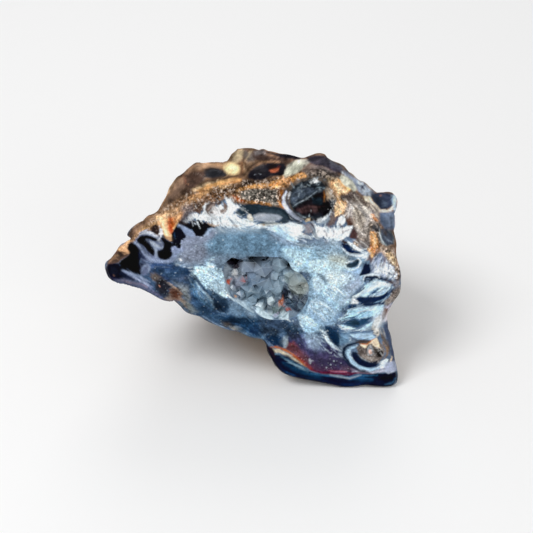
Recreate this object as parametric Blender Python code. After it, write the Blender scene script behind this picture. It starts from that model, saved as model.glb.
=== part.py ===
"""Half of a small agate nodule with a pitted rind, a cut face and a pocket lined with quartz crystals.

Both solids are drawn in the frame of the cut face: x runs along the face, y into the stone and z up the face,
in millimetres. The face leans back a little, and the stone stands on the worn underside of its rind.
"""

import math
import random

import bmesh
import bpy
import numpy as np
from mathutils import Matrix, Vector, noise

MM = 0.001

# Driving dimensions in millimetres and radians
LEAN = math.radians(10)
FACE_ORIGIN = (2.06, -11.56, 22.95)
STONE_DEPTH = 28.0
POCKET_DEPTH = 8.2
CRUST_DROP = 1.3
EDGE_DROP = 0.5
LUMP_HEIGHT, LUMP_SPACING = 1.3, 9.0
KNOB_HEIGHT, KNOB_SPACING = 0.5, 3.6
PIT_DEPTH, PIT_SPACING, PIT_STEEPNESS = 1.3, 7.5, 1.7
GRAIN_HEIGHT, GRAIN_SPACING = 0.35, 2.2
TOP_FROM, TOP_BLEND = 3.0, 7.0
DRUSE_GAP = 0.35
DRUSE_WALL = 0.9

SEGMENTS = 104
RIND_STEPS = 3

# The rings all open out from this point of the face, in the pocket
CENTRE = (-0.3, -3.4)

# Outline of the front of the stone, clockwise from the left tip
FRONT = (
    (-26.6, -0.4), (-26.4, 0.5), (-25.5, 1.3), (-24.6, 2.5), (-23.7, 3.6), (-22.7, 4.4), (-22.1, 4.8),
    (-22.7, 5.4), (-22.2, 6.4), (-21.2, 7.3), (-20.0, 7.9), (-18.6, 8.1), (-17.1, 8.8), (-16.2, 10.4),
    (-15.0, 12.0), (-12.8, 13.4), (-10.5, 14.3), (-7.5, 15.1), (-4.5, 15.3), (-1.0, 15.3), (2.2, 15.6),
    (4.2, 15.9), (6.0, 16.7), (7.6, 17.4), (9.4, 17.3), (11.6, 16.2), (13.4, 14.8), (15.0, 13.0),
    (16.6, 11.2), (17.6, 9.6), (18.3, 7.6), (18.9, 5.8), (19.9, 4.0), (20.8, 2.4), (21.5, 0.8),
    (21.9, -0.8), (22.2, -2.7), (22.2, -4.4), (21.7, -5.7), (21.0, -7.1), (20.4, -8.5), (20.1, -9.8),
    (20.3, -11.6), (20.8, -13.4), (21.3, -15.4), (21.7, -17.6), (22.1, -19.6), (22.4, -21.5),
    (22.1, -22.6), (20.9, -23.1), (19.0, -23.1), (17.0, -22.8), (15.4, -23.1), (13.6, -23.3),
    (12.0, -23.0), (9.6, -22.4), (7.0, -21.9), (5.0, -21.4), (3.2, -20.7), (2.0, -19.7), (1.2, -18.4),
    (0.6, -17.1), (0.1, -15.7), (-0.2, -14.6), (-0.8, -13.9), (-2.6, -13.6), (-3.7, -13.0),
    (-4.9, -12.4), (-6.5, -12.1), (-8.1, -11.4), (-9.9, -10.5), (-11.2, -9.6), (-12.8, -9.1),
    (-13.8, -8.4), (-14.8, -7.0), (-15.4, -6.4), (-16.3, -6.7), (-17.5, -6.4), (-19.4, -5.2),
    (-21.2, -4.2), (-23.6, -3.4), (-25.1, -3.1), (-26.0, -2.4), (-26.4, -1.5),
)

# Inner edge of the grainy crust: elsewhere the polish runs out to the edge of the stone
CRUST_EDGE = (
    (-20.4, 7.0), (-18.6, 7.2), (-17.2, 7.6), (-15.4, 8.8), (-13.8, 10.0), (-11.4, 11.0), (-8.6, 12.2),
    (-6.6, 12.3), (-4.4, 11.3), (-1.0, 11.2), (3.0, 10.6), (5.0, 9.0), (8.0, 8.4), (11.0, 9.0),
    (13.2, 8.4), (14.2, 6.6), (15.6, 4.8), (17.8, 3.4), (19.8, 2.2),
)

# Mouth of the pocket
MOUTH = (
    (-6.9, 0.4), (-5.7, 1.6), (-4.4, 1.3), (-2.7, 1.8), (0.4, 1.7), (2.4, 1.6), (3.6, 0.8), (4.3, -0.5),
    (6.0, -1.7), (7.0, -3.5), (7.0, -5.4), (6.5, -7.4), (5.2, -9.0), (3.4, -9.9), (1.0, -10.0),
    (-1.4, -9.2), (-3.6, -7.8), (-5.6, -5.9), (-6.7, -3.4), (-7.1, -1.2),
)

# Section through the crest of the rind, eight millimetres behind the face
CREST_AT = 8.0
CREST = (
    (-21.5, -1.0), (-20.8, 2.0), (-19.8, 3.4), (-18.4, 4.6), (-17.0, 7.8), (-15.8, 10.8), (-14.7, 12.8),
    (-13.2, 14.1), (-11.7, 15.1), (-9.5, 15.0), (-7.6, 14.4), (-6.7, 14.8), (-6.0, 16.4), (-4.9, 17.5),
    (-2.2, 17.6), (0.0, 17.4), (2.6, 16.9), (6.0, 16.5), (8.0, 16.8), (9.6, 16.7), (12.3, 14.8),
    (14.8, 11.9), (17.4, 10.1), (19.6, 9.8), (21.3, 9.8), (22.3, 8.8), (22.4, 7.0), (22.0, 4.6), (21.2, 2.0),
    (20.9, -1.5), (20.6, -5.5), (19.8, -9.5), (19.9, -14.0), (20.1, -18.0), (18.8, -20.6),
    (14.0, -21.6), (8.0, -21.4), (3.2, -20.7), (1.0, -19.4), (-0.8, -17.2), (-3.5, -15.9), (-6.5, -14.9),
    (-10.0, -13.4), (-14.0, -10.2), (-17.6, -8.0), (-20.3, -4.6),
)

# Section through the body of the nodule
BODY_AT = 16.5
BODY = (
    (-18.6, -4.0), (-18.2, 0.0), (-16.4, 4.0), (-13.2, 7.9), (-8.6, 9.9), (-5.6, 11.6), (-3.0, 12.6),
    (3.0, 11.9), (9.0, 11.4), (14.0, 8.1), (17.4, 4.4), (18.4, -1.0), (18.0, -7.0), (16.4, -13.0),
    (13.0, -18.2), (8.0, -20.5), (2.0, -20.7), (-4.0, -20.4), (-9.0, -18.3), (-13.4, -14.4), (-17.0, -9.4),
)

# The stone closes behind the body in these sections: (depth, share of the body, how round, how far lower)
BACK = ((21.0, 0.90, 0.2, 1.0), (24.6, 0.70, 0.5, 1.7), (27.2, 0.38, 1.0, 1.4))

# Pocket wall from the lip inwards: (depth, share of the mouth)
POCKET_WALL = ((0.4, 0.985), (1.6, 1.02), (3.2, 1.05), (5.0, 1.0), (6.6, 0.86), (7.7, 0.56))

# Bed that the crystals stand in, from the lip inwards: (depth, share of the mouth)
DRUSE_BED = ((1.6, 1.0), (3.0, 1.0), (4.3, 0.85), (4.9, 0.5))

# Hollows and lumps of the rind that show above the face: (across, up, in), radius, height
RIND_MARKS = (
    ((-0.4, 16.6, 4.4), 3.2, -1.1),
    ((-8.4, 15.2, 3.8), 2.3, -0.8),
    ((-12.2, 13.8, 4.6), 2.4, -0.8),
    ((-5.6, 15.6, 3.2), 1.7, 0.7),
    ((4.9, 16.6, 4.0), 2.2, 0.6),
    ((14.2, 13.2, 3.6), 2.0, 0.6),
)

# Large crystals of the pocket: tip (across, up, in), radius, lean of the axis across and up
LARGE_CRYSTALS = (
    ((-1.2, -3.7, 1.3), 2.0, -0.06, 0.10),
    ((0.1, -1.1, 1.9), 1.5, 0.05, 0.25),
    ((-3.1, -1.3, 1.8), 1.4, -0.20, 0.22),
    ((-4.9, -3.5, 1.7), 1.2, -0.30, 0.02),
    ((2.0, 0.0, 2.2), 1.2, 0.18, 0.30),
    ((2.1, -3.3, 1.2), 1.6, 0.10, 0.05),
    ((4.9, -4.1, 1.1), 1.9, 0.16, -0.02),
    ((-2.9, -6.0, 1.7), 1.2, -0.20, -0.25),
    ((-0.9, -6.6, 1.9), 1.3, -0.05, -0.20),
    ((0.8, -7.2, 1.5), 0.8, 0.05, -0.15),
    ((2.3, -6.9, 3.4), 1.1, 0.10, -0.20),
    ((4.6, -7.4, 3.6), 1.1, 0.30, -0.25),
    ((-5.4, -1.7, 2.6), 0.8, -0.30, 0.25),
)
WALL_CRYSTALS = 26
CRYSTAL_SEED = 7
CRYSTAL_SPIN = 0.7
POINT_SHARE = 0.8
GROWTH_STEP = 0.1
FOOT_DEPTH = 0.2


def clear_scene():
    for obj in list(bpy.data.objects):
        bpy.data.objects.remove(obj, do_unlink=True)


def new_collection(name):
    collection = bpy.data.collections.new(name)
    bpy.context.scene.collection.children.link(collection)
    return collection


def new_material(name, colour, roughness, metallic=0.0):
    material = bpy.data.materials.new(name)
    material.use_nodes = True
    shader = material.node_tree.nodes["Principled BSDF"]
    shader.inputs["Base Color"].default_value = (*colour, 1.0)
    shader.inputs["Roughness"].default_value = roughness
    shader.inputs["Metallic"].default_value = metallic
    return material


def polar(outline):
    """Angle and radius about the centre of closely spaced points along a closed outline, by rising angle."""
    corners = np.array(outline) - CENTRE
    along = np.linspace(0, 1, 24, endpoint=False)[:, None]
    runs = [a + (b - a) * along for a, b in zip(corners, np.roll(corners, -1, axis=0))]
    points = np.concatenate(runs)
    angle = np.arctan2(points[:, 1], points[:, 0])
    order = np.argsort(angle)
    return angle[order], np.hypot(points[:, 0], points[:, 1])[order]


def reach(outline, angles):
    known, radius = polar(outline)
    return np.interp(angles, known, radius, period=2 * math.pi)


def spoke_angles(outline, count):
    """Angles of spokes that meet the outline at even steps along it."""
    corners = np.array(outline + outline[:1])
    lengths = np.concatenate([[0], np.cumsum(np.hypot(*np.diff(corners, axis=0).T))])
    stations = np.linspace(0, lengths[-1], count, endpoint=False)
    x = np.interp(stations, lengths, corners[:, 0]) - CENTRE[0]
    z = np.interp(stations, lengths, corners[:, 1]) - CENTRE[1]
    return np.arctan2(z, x)


def ring(radius, depth, angles, drop=0.0):
    """One ring of points (x, y, z): depth may be a number or one value for each spoke."""
    x = CENTRE[0] + radius * np.cos(angles)
    z = CENTRE[1] + radius * np.sin(angles) - drop
    return np.stack([x, np.broadcast_to(depth, x.shape), z], axis=1)


def crust_reach(angles, front):
    """How far the polish reaches along each spoke: the crust stops it only along the top."""
    edge = front - EDGE_DROP
    known = np.array(CRUST_EDGE) - CENTRE
    at = np.arctan2(known[:, 1], known[:, 0])[::-1]
    radius = np.hypot(known[:, 0], known[:, 1])[::-1]
    inside = (angles > at[0]) & (angles < at[-1])
    return np.where(inside, np.minimum(np.interp(angles, at, radius), edge), edge)


def spline_rings(rings, steps):
    """The rings with others between them, on a smooth curve along each spoke."""
    padded = [2 * rings[0] - rings[1], *rings, 2 * rings[-1] - rings[-2]]
    found = []
    for before, start, end, after in zip(padded, padded[1:], padded[2:], padded[3:]):
        for t in np.arange(steps) / steps:
            found.append(
                0.5 * (2 * start + (end - before) * t
                       + (2 * before - 5 * start + 4 * end - after) * t**2
                       + (3 * start - before - 3 * end + after) * t**3)
            )
    return found + [rings[-1]]


def loft(name, rings, first_pole, last_pole):
    """A closed mesh through rings of equal size, shut by a fan to a pole at each end."""
    made = bmesh.new()
    start = made.verts.new(first_pole)
    rows = [[made.verts.new(point) for point in points] for points in rings]
    end = made.verts.new(last_pole)
    count = len(rows[0])
    for i in range(count):
        j = (i + 1) % count
        made.faces.new((start, rows[0][j], rows[0][i]))
        for near, far in zip(rows, rows[1:]):
            made.faces.new((near[i], near[j], far[j], far[i]))
        made.faces.new((end, rows[-1][i], rows[-1][j]))
    bmesh.ops.recalc_face_normals(made, faces=made.faces)
    mesh = bpy.data.meshes.new(name)
    made.to_mesh(mesh)
    made.free()
    return mesh


def rest_height(point):
    """How far a point of the face frame is above the surface that the stone stands on."""
    return FACE_ORIGIN[2] + point[2] * math.cos(LEAN) - point[1] * math.sin(LEAN)


def pitting(place):
    """Height of the pitted rind: smooth hollows side by side, with ridges where they meet."""
    distances = noise.voronoi(place / PIT_SPACING)[0]
    rise = min(1.0, (distances[1] - distances[0]) * PIT_STEEPNESS)
    return -PIT_DEPTH * rise * rise * (3 - 2 * rise)


def relief(place):
    """Height of the rind and the crust over their smooth form at one place behind the face."""
    top = min(1.0, max(0.0, (place.z - TOP_FROM) / TOP_BLEND))
    start = EDGE_DROP + (CREST_AT - 2.0 - EDGE_DROP) * top * top * (3 - 2 * top)
    worn = min(1.0, max(0.0, (place.y - start) / 4.0))
    lumps = min(1.0, max(0.0, (place.y - start) / 7.0))
    fine = min(1.0, max(0.0, (STONE_DEPTH - place.y) / 4.0))
    height = worn * pitting(place)
    height += LUMP_HEIGHT * lumps * noise.noise(place / LUMP_SPACING)
    height += KNOB_HEIGHT * lumps * fine * noise.noise(place / KNOB_SPACING)
    height += GRAIN_HEIGHT * fine * min(1.0, place.y) * noise.noise(place / GRAIN_SPACING)
    for (x, z, y), radius, rise in RIND_MARKS:
        near = (place - Vector((x, y, z))).length / radius
        height += rise * (1 - near * near) ** 2 if near < 1 else 0.0
    return height


def weather(mesh):
    """Raises the relief behind the polish, and wears a flat underneath."""
    normals = [v.normal.copy() for v in mesh.vertices]
    for vertex, normal in zip(mesh.vertices, normals):
        place = vertex.co.copy()
        across, up = place.x - CENTRE[0], place.z - CENTRE[1]
        in_pocket = math.hypot(across, up) < 8.5 and place.y < POCKET_DEPTH + 1
        if place.y > 0 and not in_pocket:
            vertex.co = place + normal * relief(place)
    for vertex in mesh.vertices:
        below = rest_height(vertex.co)
        if below < 0:
            vertex.co.z -= below / math.cos(LEAN)


def stone_mesh():
    angles = spoke_angles(FRONT, SEGMENTS)
    mouth, front = reach(MOUTH, angles), reach(FRONT, angles)
    crest, body = reach(CREST, angles), reach(BODY, angles)
    polish = crust_reach(angles, front)
    drop = EDGE_DROP + (CRUST_DROP - EDGE_DROP) * np.clip((front - polish) / 5.0, 0, 1)

    rings = [ring(mouth * share, depth, angles) for depth, share in reversed(POCKET_WALL)]
    rings += [ring(mouth + (polish - mouth) * t, 0.0, angles) for t in (0.03, 0.35, 0.7, 1.0)]
    for t in (0.3, 0.65):
        rings.append(ring(polish + (front - polish) * t, drop * (0.35 + 0.5 * t), angles))

    shoulder = (front + crest) / 2 + 0.2
    flank = (crest + body) / 2 + 0.4
    circle = body.mean()
    rind = [
        ring(front, drop, angles),
        ring(shoulder, (drop + CREST_AT) / 2, angles),
        ring(crest, CREST_AT, angles),
        ring(flank, (CREST_AT + BODY_AT) / 2, angles),
        ring(body, BODY_AT, angles),
    ]
    for depth, share, roundness, sag in BACK:
        rind.append(ring(share * (body + (circle - body) * roundness), depth, angles, sag))
    rings += spline_rings(rind, RIND_STEPS)

    pocket_end = (CENTRE[0], POCKET_DEPTH, CENTRE[1])
    back_end = (CENTRE[0], STONE_DEPTH, CENTRE[1] - BACK[-1][3])
    mesh = loft("agate_half", rings, pocket_end, back_end)
    weather(mesh)
    return mesh


def liner_mesh():
    """The quartz that the crystals stand in: it follows the pocket wall a small gap away and fills its floor."""
    angles = spoke_angles(MOUTH, 40)
    mouth = reach(MOUTH, angles)
    wall = [ring(mouth * share - DRUSE_GAP, depth - 0.1, angles) for depth, share in POCKET_WALL[1:]]
    inner = [ring(mouth * share - DRUSE_GAP - DRUSE_WALL, depth, angles) for depth, share in DRUSE_BED]
    wall_end = (CENTRE[0], POCKET_DEPTH - DRUSE_GAP, CENTRE[1])
    bed_end = (CENTRE[0], DRUSE_BED[-1][0] + 0.1, CENTRE[1])
    return loft("quartz_druse", wall[::-1] + inner, wall_end, bed_end)


def within_liner(point):
    """Whether a point of the pocket is clear of the gap that the lining keeps to the stone."""
    depths, shares = zip(*((0.0, 1.0), *POCKET_WALL, (POCKET_DEPTH, 0.0)))
    x, z = point.x - CENTRE[0], point.z - CENTRE[1]
    mouth = float(reach(MOUTH, np.array([math.atan2(z, x)]))[0])
    wall = mouth * float(np.interp(point.y, depths, shares))
    return math.hypot(x, z) < wall - DRUSE_GAP - FOOT_DEPTH and point.y < POCKET_DEPTH - DRUSE_GAP - FOOT_DEPTH


def crystal(collection, tip, radius, axis, spin):
    """A six-sided prism with a six-sided point, grown back from its tip until its foot is in the lining."""
    turned = axis.to_track_quat("Z", "Y").to_matrix()
    corners = [
        turned @ Vector((radius * math.cos(spin + k * math.pi / 3), radius * math.sin(spin + k * math.pi / 3), 0))
        for k in range(6)
    ]
    length = radius * POINT_SHARE + GROWTH_STEP
    while all(within_liner(tip + corner - axis * (length + GROWTH_STEP)) for corner in corners):
        length += GROWTH_STEP
    made = bmesh.new()
    foot = [made.verts.new(tip + corner - axis * length) for corner in corners]
    brim = [made.verts.new(tip + corner - axis * radius * POINT_SHARE) for corner in corners]
    top = made.verts.new(tip)
    made.faces.new(foot)
    for k in range(6):
        j = (k + 1) % 6
        made.faces.new((foot[k], foot[j], brim[j], brim[k]))
        made.faces.new((brim[k], brim[j], top))
    bmesh.ops.recalc_face_normals(made, faces=made.faces)
    mesh = bpy.data.meshes.new("crystal")
    made.to_mesh(mesh)
    made.free()
    obj = bpy.data.objects.new("crystal", mesh)
    obj.hide_render = True
    obj.display_type = "WIRE"
    collection.objects.link(obj)
    return obj


def grow_crystals(collection):
    made = []
    for (x, z, y), radius, across, up in LARGE_CRYSTALS:
        axis = Vector((across, -1.0, up)).normalized()
        made.append(crystal(collection, Vector((x, y, z)), radius, axis, CRYSTAL_SPIN * len(made)))
    rng = random.Random(CRYSTAL_SEED)
    for k in range(WALL_CRYSTALS):
        turn = 2 * math.pi * (k + rng.uniform(-0.3, 0.3)) / WALL_CRYSTALS
        depth, share = POCKET_WALL[1 + k % 2]
        wall = float(reach(MOUTH, np.array([turn]))[0]) * share - DRUSE_GAP - DRUSE_WALL
        radius = rng.uniform(0.5, 0.85)
        out = Vector((math.cos(turn), 0, math.sin(turn)))
        axis = (Vector((0, -rng.uniform(0.5, 0.9), 0)) - out).normalized()
        tip = Vector((CENTRE[0], depth, CENTRE[1])) + out * wall + axis * rng.uniform(0.9, 1.6)
        made.append(crystal(collection, tip, radius, axis, turn))
    return made


def islands(made):
    """The separate surfaces of a mesh, as sets of faces."""
    left = set(made.faces)
    while left:
        found, edge = set(), [left.pop()]
        while edge:
            face = edge.pop()
            found.add(face)
            near = {other for side in face.edges for other in side.link_faces} & left
            left -= near
            edge.extend(near)
        yield found


def keep_outer_surface(obj):
    """Applies the object's modifiers and fills any hollow that the crystals close off between them."""
    graph = bpy.context.evaluated_depsgraph_get()
    made = bmesh.new()
    made.from_mesh(bpy.data.meshes.new_from_object(obj.evaluated_get(graph)))
    surfaces = sorted(islands(made), key=len)
    for surface in surfaces[:-1]:
        bmesh.ops.delete(made, geom=list(surface), context="FACES")
    obj.modifiers.clear()
    made.to_mesh(obj.data)
    made.free()


def place(obj, collection, material):
    obj.location = Vector(FACE_ORIGIN) * MM
    obj.rotation_euler = (-LEAN, 0, 0)
    obj.data.transform(Matrix.Scale(MM, 4))
    obj.data.materials.append(material)
    collection.objects.link(obj)


def main():
    clear_scene()
    parts = new_collection("geode")
    cutters = new_collection("geode_crystals")
    stone = bpy.data.objects.new("agate_half", stone_mesh())
    place(stone, parts, new_material("agate", (0.36, 0.42, 0.47), 0.35))
    stone.data.set_sharp_from_angle(angle=math.radians(40))

    druse = bpy.data.objects.new("quartz_druse", liner_mesh())
    place(druse, parts, new_material("quartz", (0.55, 0.63, 0.70), 0.12))
    frame = Matrix.Translation(druse.location) @ Matrix.Rotation(-LEAN, 4, "X") @ Matrix.Scale(MM, 4)
    for one in grow_crystals(cutters):
        one.data.transform(frame)
    join = druse.modifiers.new("crystals", "BOOLEAN")
    join.operation = "UNION"
    join.solver = "EXACT"
    join.operand_type = "COLLECTION"
    join.collection = cutters
    keep_outer_surface(druse)


main()
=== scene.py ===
"""Looks of the agate half: its cut face, crust and rind as one piece, and the quartz crystals of its pocket.

The shapes repeat the frame of the cut face that the solids are drawn in: x runs along the face, y into the
stone and z up the face, in millimetres. The markings are outlines placed over the photograph, in its
pixels, each with one tone. They lie on the face and on the rind that the photograph shows.
"""

import math
import random

import bmesh
import bpy
import numpy as np
from mathutils import Matrix, Vector, noise
from mathutils.geometry import delaunay_2d_cdt


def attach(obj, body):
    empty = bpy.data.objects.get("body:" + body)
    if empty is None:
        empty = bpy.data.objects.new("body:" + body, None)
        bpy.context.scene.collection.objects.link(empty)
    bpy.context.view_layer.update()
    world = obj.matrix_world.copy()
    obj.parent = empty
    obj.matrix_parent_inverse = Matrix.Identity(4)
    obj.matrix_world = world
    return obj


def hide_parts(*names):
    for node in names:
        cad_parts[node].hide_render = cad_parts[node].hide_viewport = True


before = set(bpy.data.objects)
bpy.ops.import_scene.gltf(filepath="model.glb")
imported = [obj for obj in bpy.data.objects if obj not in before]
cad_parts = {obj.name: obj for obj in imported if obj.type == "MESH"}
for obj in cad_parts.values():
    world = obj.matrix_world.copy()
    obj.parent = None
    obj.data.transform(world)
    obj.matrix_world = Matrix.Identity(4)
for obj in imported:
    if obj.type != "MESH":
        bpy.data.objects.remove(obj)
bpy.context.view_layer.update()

MM = 0.001
LEAN = math.radians(10)
FACE_ORIGIN = (2.06, -11.56, 22.95)
STONE_DEPTH = 28.0
POCKET_DEPTH = 8.2
CRUST_DROP = 1.3
EDGE_DROP = 0.5
LUMP_HEIGHT, LUMP_SPACING = 1.3, 9.0
KNOB_HEIGHT, KNOB_SPACING = 0.5, 3.6
PIT_DEPTH, PIT_SPACING, PIT_STEEPNESS = 1.3, 7.5, 1.7
GRAIN_HEIGHT, GRAIN_SPACING = 0.35, 2.2
TOP_FROM, TOP_BLEND = 3.0, 7.0
CENTRE = (-0.3, -3.4)

# Depths: the face ends at the first, the rind starts at the second, and the photograph shows nothing past
# the third
FACE_TO, RIND_FROM, SEEN_TO = 1.8, 1.6, 15.0
STONE_MIDDLE = (0, 14, -3)

# Camera: distance from the face's origin, height above level, focal length and sensor in millimetres
CAMERA_DISTANCE = 243.0
CAMERA_HEIGHT = math.radians(36)
FOCAL, SENSOR = 100.0, 36.0
PICTURE = 533

RIM_POINTS = 640
MOUTH_POINTS = 150
FACE_STEP = 0.155
RIND_STEPS = (12, 12, 8, 8, 7, 5, 4)
POLE_RINGS = (0.88, 0.76, 0.64, 0.52, 0.4, 0.28, 0.17, 0.08)

# Outlines across and up the face: its rim, where the polish ends at the crust, and the mouth of the pocket

FRONT = (
    (-26.6, -0.4), (-26.4, 0.5), (-25.5, 1.3), (-24.6, 2.5), (-23.7, 3.6), (-22.7, 4.4), (-22.1, 4.8),
    (-22.7, 5.4), (-22.2, 6.4), (-21.2, 7.3), (-20.0, 7.9), (-18.6, 8.1), (-17.1, 8.8), (-16.2, 10.4),
    (-15.0, 12.0), (-12.8, 13.4), (-10.5, 14.3), (-7.5, 15.1), (-4.5, 15.3), (-1.0, 15.3), (2.2, 15.6),
    (4.2, 15.9), (6.0, 16.7), (7.6, 17.4), (9.4, 17.3), (11.6, 16.2), (13.4, 14.8), (15.0, 13.0),
    (16.6, 11.2), (17.6, 9.6), (18.3, 7.6), (18.9, 5.8), (19.9, 4.0), (20.8, 2.4), (21.5, 0.8),
    (21.9, -0.8), (22.2, -2.7), (22.2, -4.4), (21.7, -5.7), (21.0, -7.1), (20.4, -8.5), (20.1, -9.8),
    (20.3, -11.6), (20.8, -13.4), (21.3, -15.4), (21.7, -17.6), (22.1, -19.6), (22.4, -21.5),
    (22.1, -22.6), (20.9, -23.1), (19.0, -23.1), (17.0, -22.8), (15.4, -23.1), (13.6, -23.3),
    (12.0, -23.0), (9.6, -22.4), (7.0, -21.9), (5.0, -21.4), (3.2, -20.7), (2.0, -19.7), (1.2, -18.4),
    (0.6, -17.1), (0.1, -15.7), (-0.2, -14.6), (-0.8, -13.9), (-2.6, -13.6), (-3.7, -13.0),
    (-4.9, -12.4), (-6.5, -12.1), (-8.1, -11.4), (-9.9, -10.5), (-11.2, -9.6), (-12.8, -9.1),
    (-13.8, -8.4), (-14.8, -7.0), (-15.4, -6.4), (-16.3, -6.7), (-17.5, -6.4), (-19.4, -5.2),
    (-21.2, -4.2), (-23.6, -3.4), (-25.1, -3.1), (-26.0, -2.4), (-26.4, -1.5),
)
CRUST_EDGE = (
    (-20.4, 7.0), (-18.6, 7.2), (-17.2, 7.6), (-15.4, 8.8), (-13.8, 10.0), (-11.4, 11.0), (-8.6, 12.2),
    (-6.6, 12.3), (-4.4, 11.3), (-1.0, 11.2), (3.0, 10.6), (5.0, 9.0), (8.0, 8.4), (11.0, 9.0),
    (13.2, 8.4), (14.2, 6.6), (15.6, 4.8), (17.8, 3.4), (19.8, 2.2),
)
MOUTH = (
    (-6.9, 0.4), (-5.7, 1.6), (-4.4, 1.3), (-2.7, 1.8), (0.4, 1.7), (2.4, 1.6), (3.6, 0.8), (4.3, -0.5),
    (6.0, -1.7), (7.0, -3.5), (7.0, -5.4), (6.5, -7.4), (5.2, -9.0), (3.4, -9.9), (1.0, -10.0),
    (-1.4, -9.2), (-3.6, -7.8), (-5.6, -5.9), (-6.7, -3.4), (-7.1, -1.2),
)

# Outlines of the rind further in: their depths, and the corners
CREST_AT = 8.0
CREST = (
    (-21.5, -1.0), (-20.8, 2.0), (-19.8, 3.4), (-18.4, 4.6), (-17.0, 7.8), (-15.8, 10.8), (-14.7, 12.8),
    (-13.2, 14.1), (-11.7, 15.1), (-9.5, 15.0), (-7.6, 14.4), (-6.7, 14.8), (-6.0, 16.4), (-4.9, 17.5),
    (-2.2, 17.6), (0.0, 17.4), (2.6, 16.9), (6.0, 16.5), (8.0, 16.8), (9.6, 16.7), (12.3, 14.8),
    (14.8, 11.9), (17.4, 10.1), (19.6, 9.8), (21.3, 9.8), (22.3, 8.8), (22.4, 7.0), (22.0, 4.6), (21.2, 2.0),
    (20.9, -1.5), (20.6, -5.5), (19.8, -9.5), (19.9, -14.0), (20.1, -18.0), (18.8, -20.6),
    (14.0, -21.6), (8.0, -21.4), (3.2, -20.7), (1.0, -19.4), (-0.8, -17.2), (-3.5, -15.9), (-6.5, -14.9),
    (-10.0, -13.4), (-14.0, -10.2), (-17.6, -8.0), (-20.3, -4.6),
)
BODY_AT = 16.5
BODY = (
    (-18.6, -4.0), (-18.2, 0.0), (-16.4, 4.0), (-13.2, 7.9), (-8.6, 9.9), (-5.6, 11.6), (-3.0, 12.6),
    (3.0, 11.9), (9.0, 11.4), (14.0, 8.1), (17.4, 4.4), (18.4, -1.0), (18.0, -7.0), (16.4, -13.0),
    (13.0, -18.2), (8.0, -20.5), (2.0, -20.7), (-4.0, -20.4), (-9.0, -18.3), (-13.4, -14.4), (-17.0, -9.4),
)

# The back: depth, size against the body, roundness, how far it sags, how evenly its points are spread
BACK = ((21.0, 0.90, 0.2, 1.0, 0.35), (24.6, 0.70, 0.5, 1.7, 0.7), (27.2, 0.38, 1.0, 1.4, 1.0))
# Wall of the pocket: depth, and size against the mouth
POCKET_WALL = ((0.4, 0.985), (1.6, 1.02), (3.2, 1.05), (5.0, 1.0), (6.6, 0.86), (7.7, 0.56))
# Hollows and knobs of the rind: place, radius, height
RIND_MARKS = (
    ((-0.4, 16.6, 4.4), 3.2, -1.1),
    ((-8.4, 15.2, 3.8), 2.3, -0.8),
    ((-12.2, 13.8, 4.6), 2.4, -0.8),
    ((-5.6, 15.6, 3.2), 1.7, 0.7),
    ((4.9, 16.6, 4.0), 2.2, 0.6),
    ((14.2, 13.2, 3.6), 2.0, 0.6),
)

# Glassy nodule in the crust: centre across and up the face, radius
NODULE = (7.1, 12.4, 3.6)


def step(t):
    t = np.clip(t, 0, 1)
    return t * t * (3 - 2 * t)


# Numbers in space

def lattice(points, scale, seed):
    """Smooth noise from 0 to 1 at each point, at one spacing, by blending a repeating table of draws."""
    table = np.random.default_rng(seed).random(4096)
    order = np.random.default_rng(seed + 500).permutation(4096)
    place = points / scale
    cell = np.floor(place).astype(int)
    inside = step(place - cell)
    total = 0
    for corner in np.ndindex(*(2,) * place.shape[1]):
        index = np.zeros(len(place), int)
        weight = 1
        for axis, side in enumerate(corner):
            index = order[(index + cell[:, axis] + side) % 4096]
            weight = weight * (inside[:, axis] if side else 1 - inside[:, axis])
        total = total + weight * table[index]
    return total


def layered(points, scale, seed, octaves=3):
    """Noise at several spacings, from 0 to 1."""
    total, size = 0, 0
    for k in range(octaves):
        total = total + lattice(points, scale / 2**k, seed + k) / 2**k
        size += 1 / 2**k
    return total / size


# The solids' own construction, with more points

def polar(outline):
    corners = np.array(outline) - CENTRE
    along = np.linspace(0, 1, 24, endpoint=False)[:, None]
    points = np.concatenate([a + (b - a) * along for a, b in zip(corners, np.roll(corners, -1, axis=0))])
    angle = np.arctan2(points[:, 1], points[:, 0])
    order = np.argsort(angle)
    return angle[order], np.hypot(points[:, 0], points[:, 1])[order]


def reach(outline, angles):
    known, radius = polar(outline)
    return np.interp(angles, known, radius, period=2 * math.pi)


def spline(before, start, end, after, t):
    """Smooth run from start to end that heads as its neighbours lie, at shares t of the way."""
    return 0.5 * (2 * start + (end - before) * t + (2 * before - 5 * start + 4 * end - after) * t**2
                  + (3 * start - before - 3 * end + after) * t**3)


def around(points):
    """Angles and distances, about the face's centre, of points across and up it."""
    away = np.asarray(points) - CENTRE
    return np.arctan2(away[:, 1], away[:, 0]), np.hypot(away[:, 0], away[:, 1])


def strip(near, far):
    """The four-sided faces between two closed rows of the same length."""
    count = len(near)
    return [(near[k], near[(k + 1) % count], far[(k + 1) % count], far[k]) for k in range(count)]


def smooth_outline(outline, count):
    """A closed smooth curve through the corners, at even steps along it."""
    corners = np.array(outline)
    t = (np.arange(16) / 16)[:, None]
    runs = [spline(*(corners[(k + j) % len(corners)] for j in (-1, 0, 1, 2)), t) for k in range(len(corners))]
    line = np.concatenate(runs + [runs[0][:1]])
    lengths = np.concatenate([[0], np.cumsum(np.hypot(*np.diff(line, axis=0).T))])
    at = np.linspace(0, lengths[-1], count, endpoint=False)
    return np.stack([np.interp(at, lengths, line[:, 0]), np.interp(at, lengths, line[:, 1])], axis=1)


def ring(radius, depth, angles, drop=0.0):
    x = CENTRE[0] + radius * np.cos(angles)
    z = CENTRE[1] + radius * np.sin(angles) - drop
    return np.stack([x, np.broadcast_to(depth, x.shape), z], axis=1)


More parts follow.
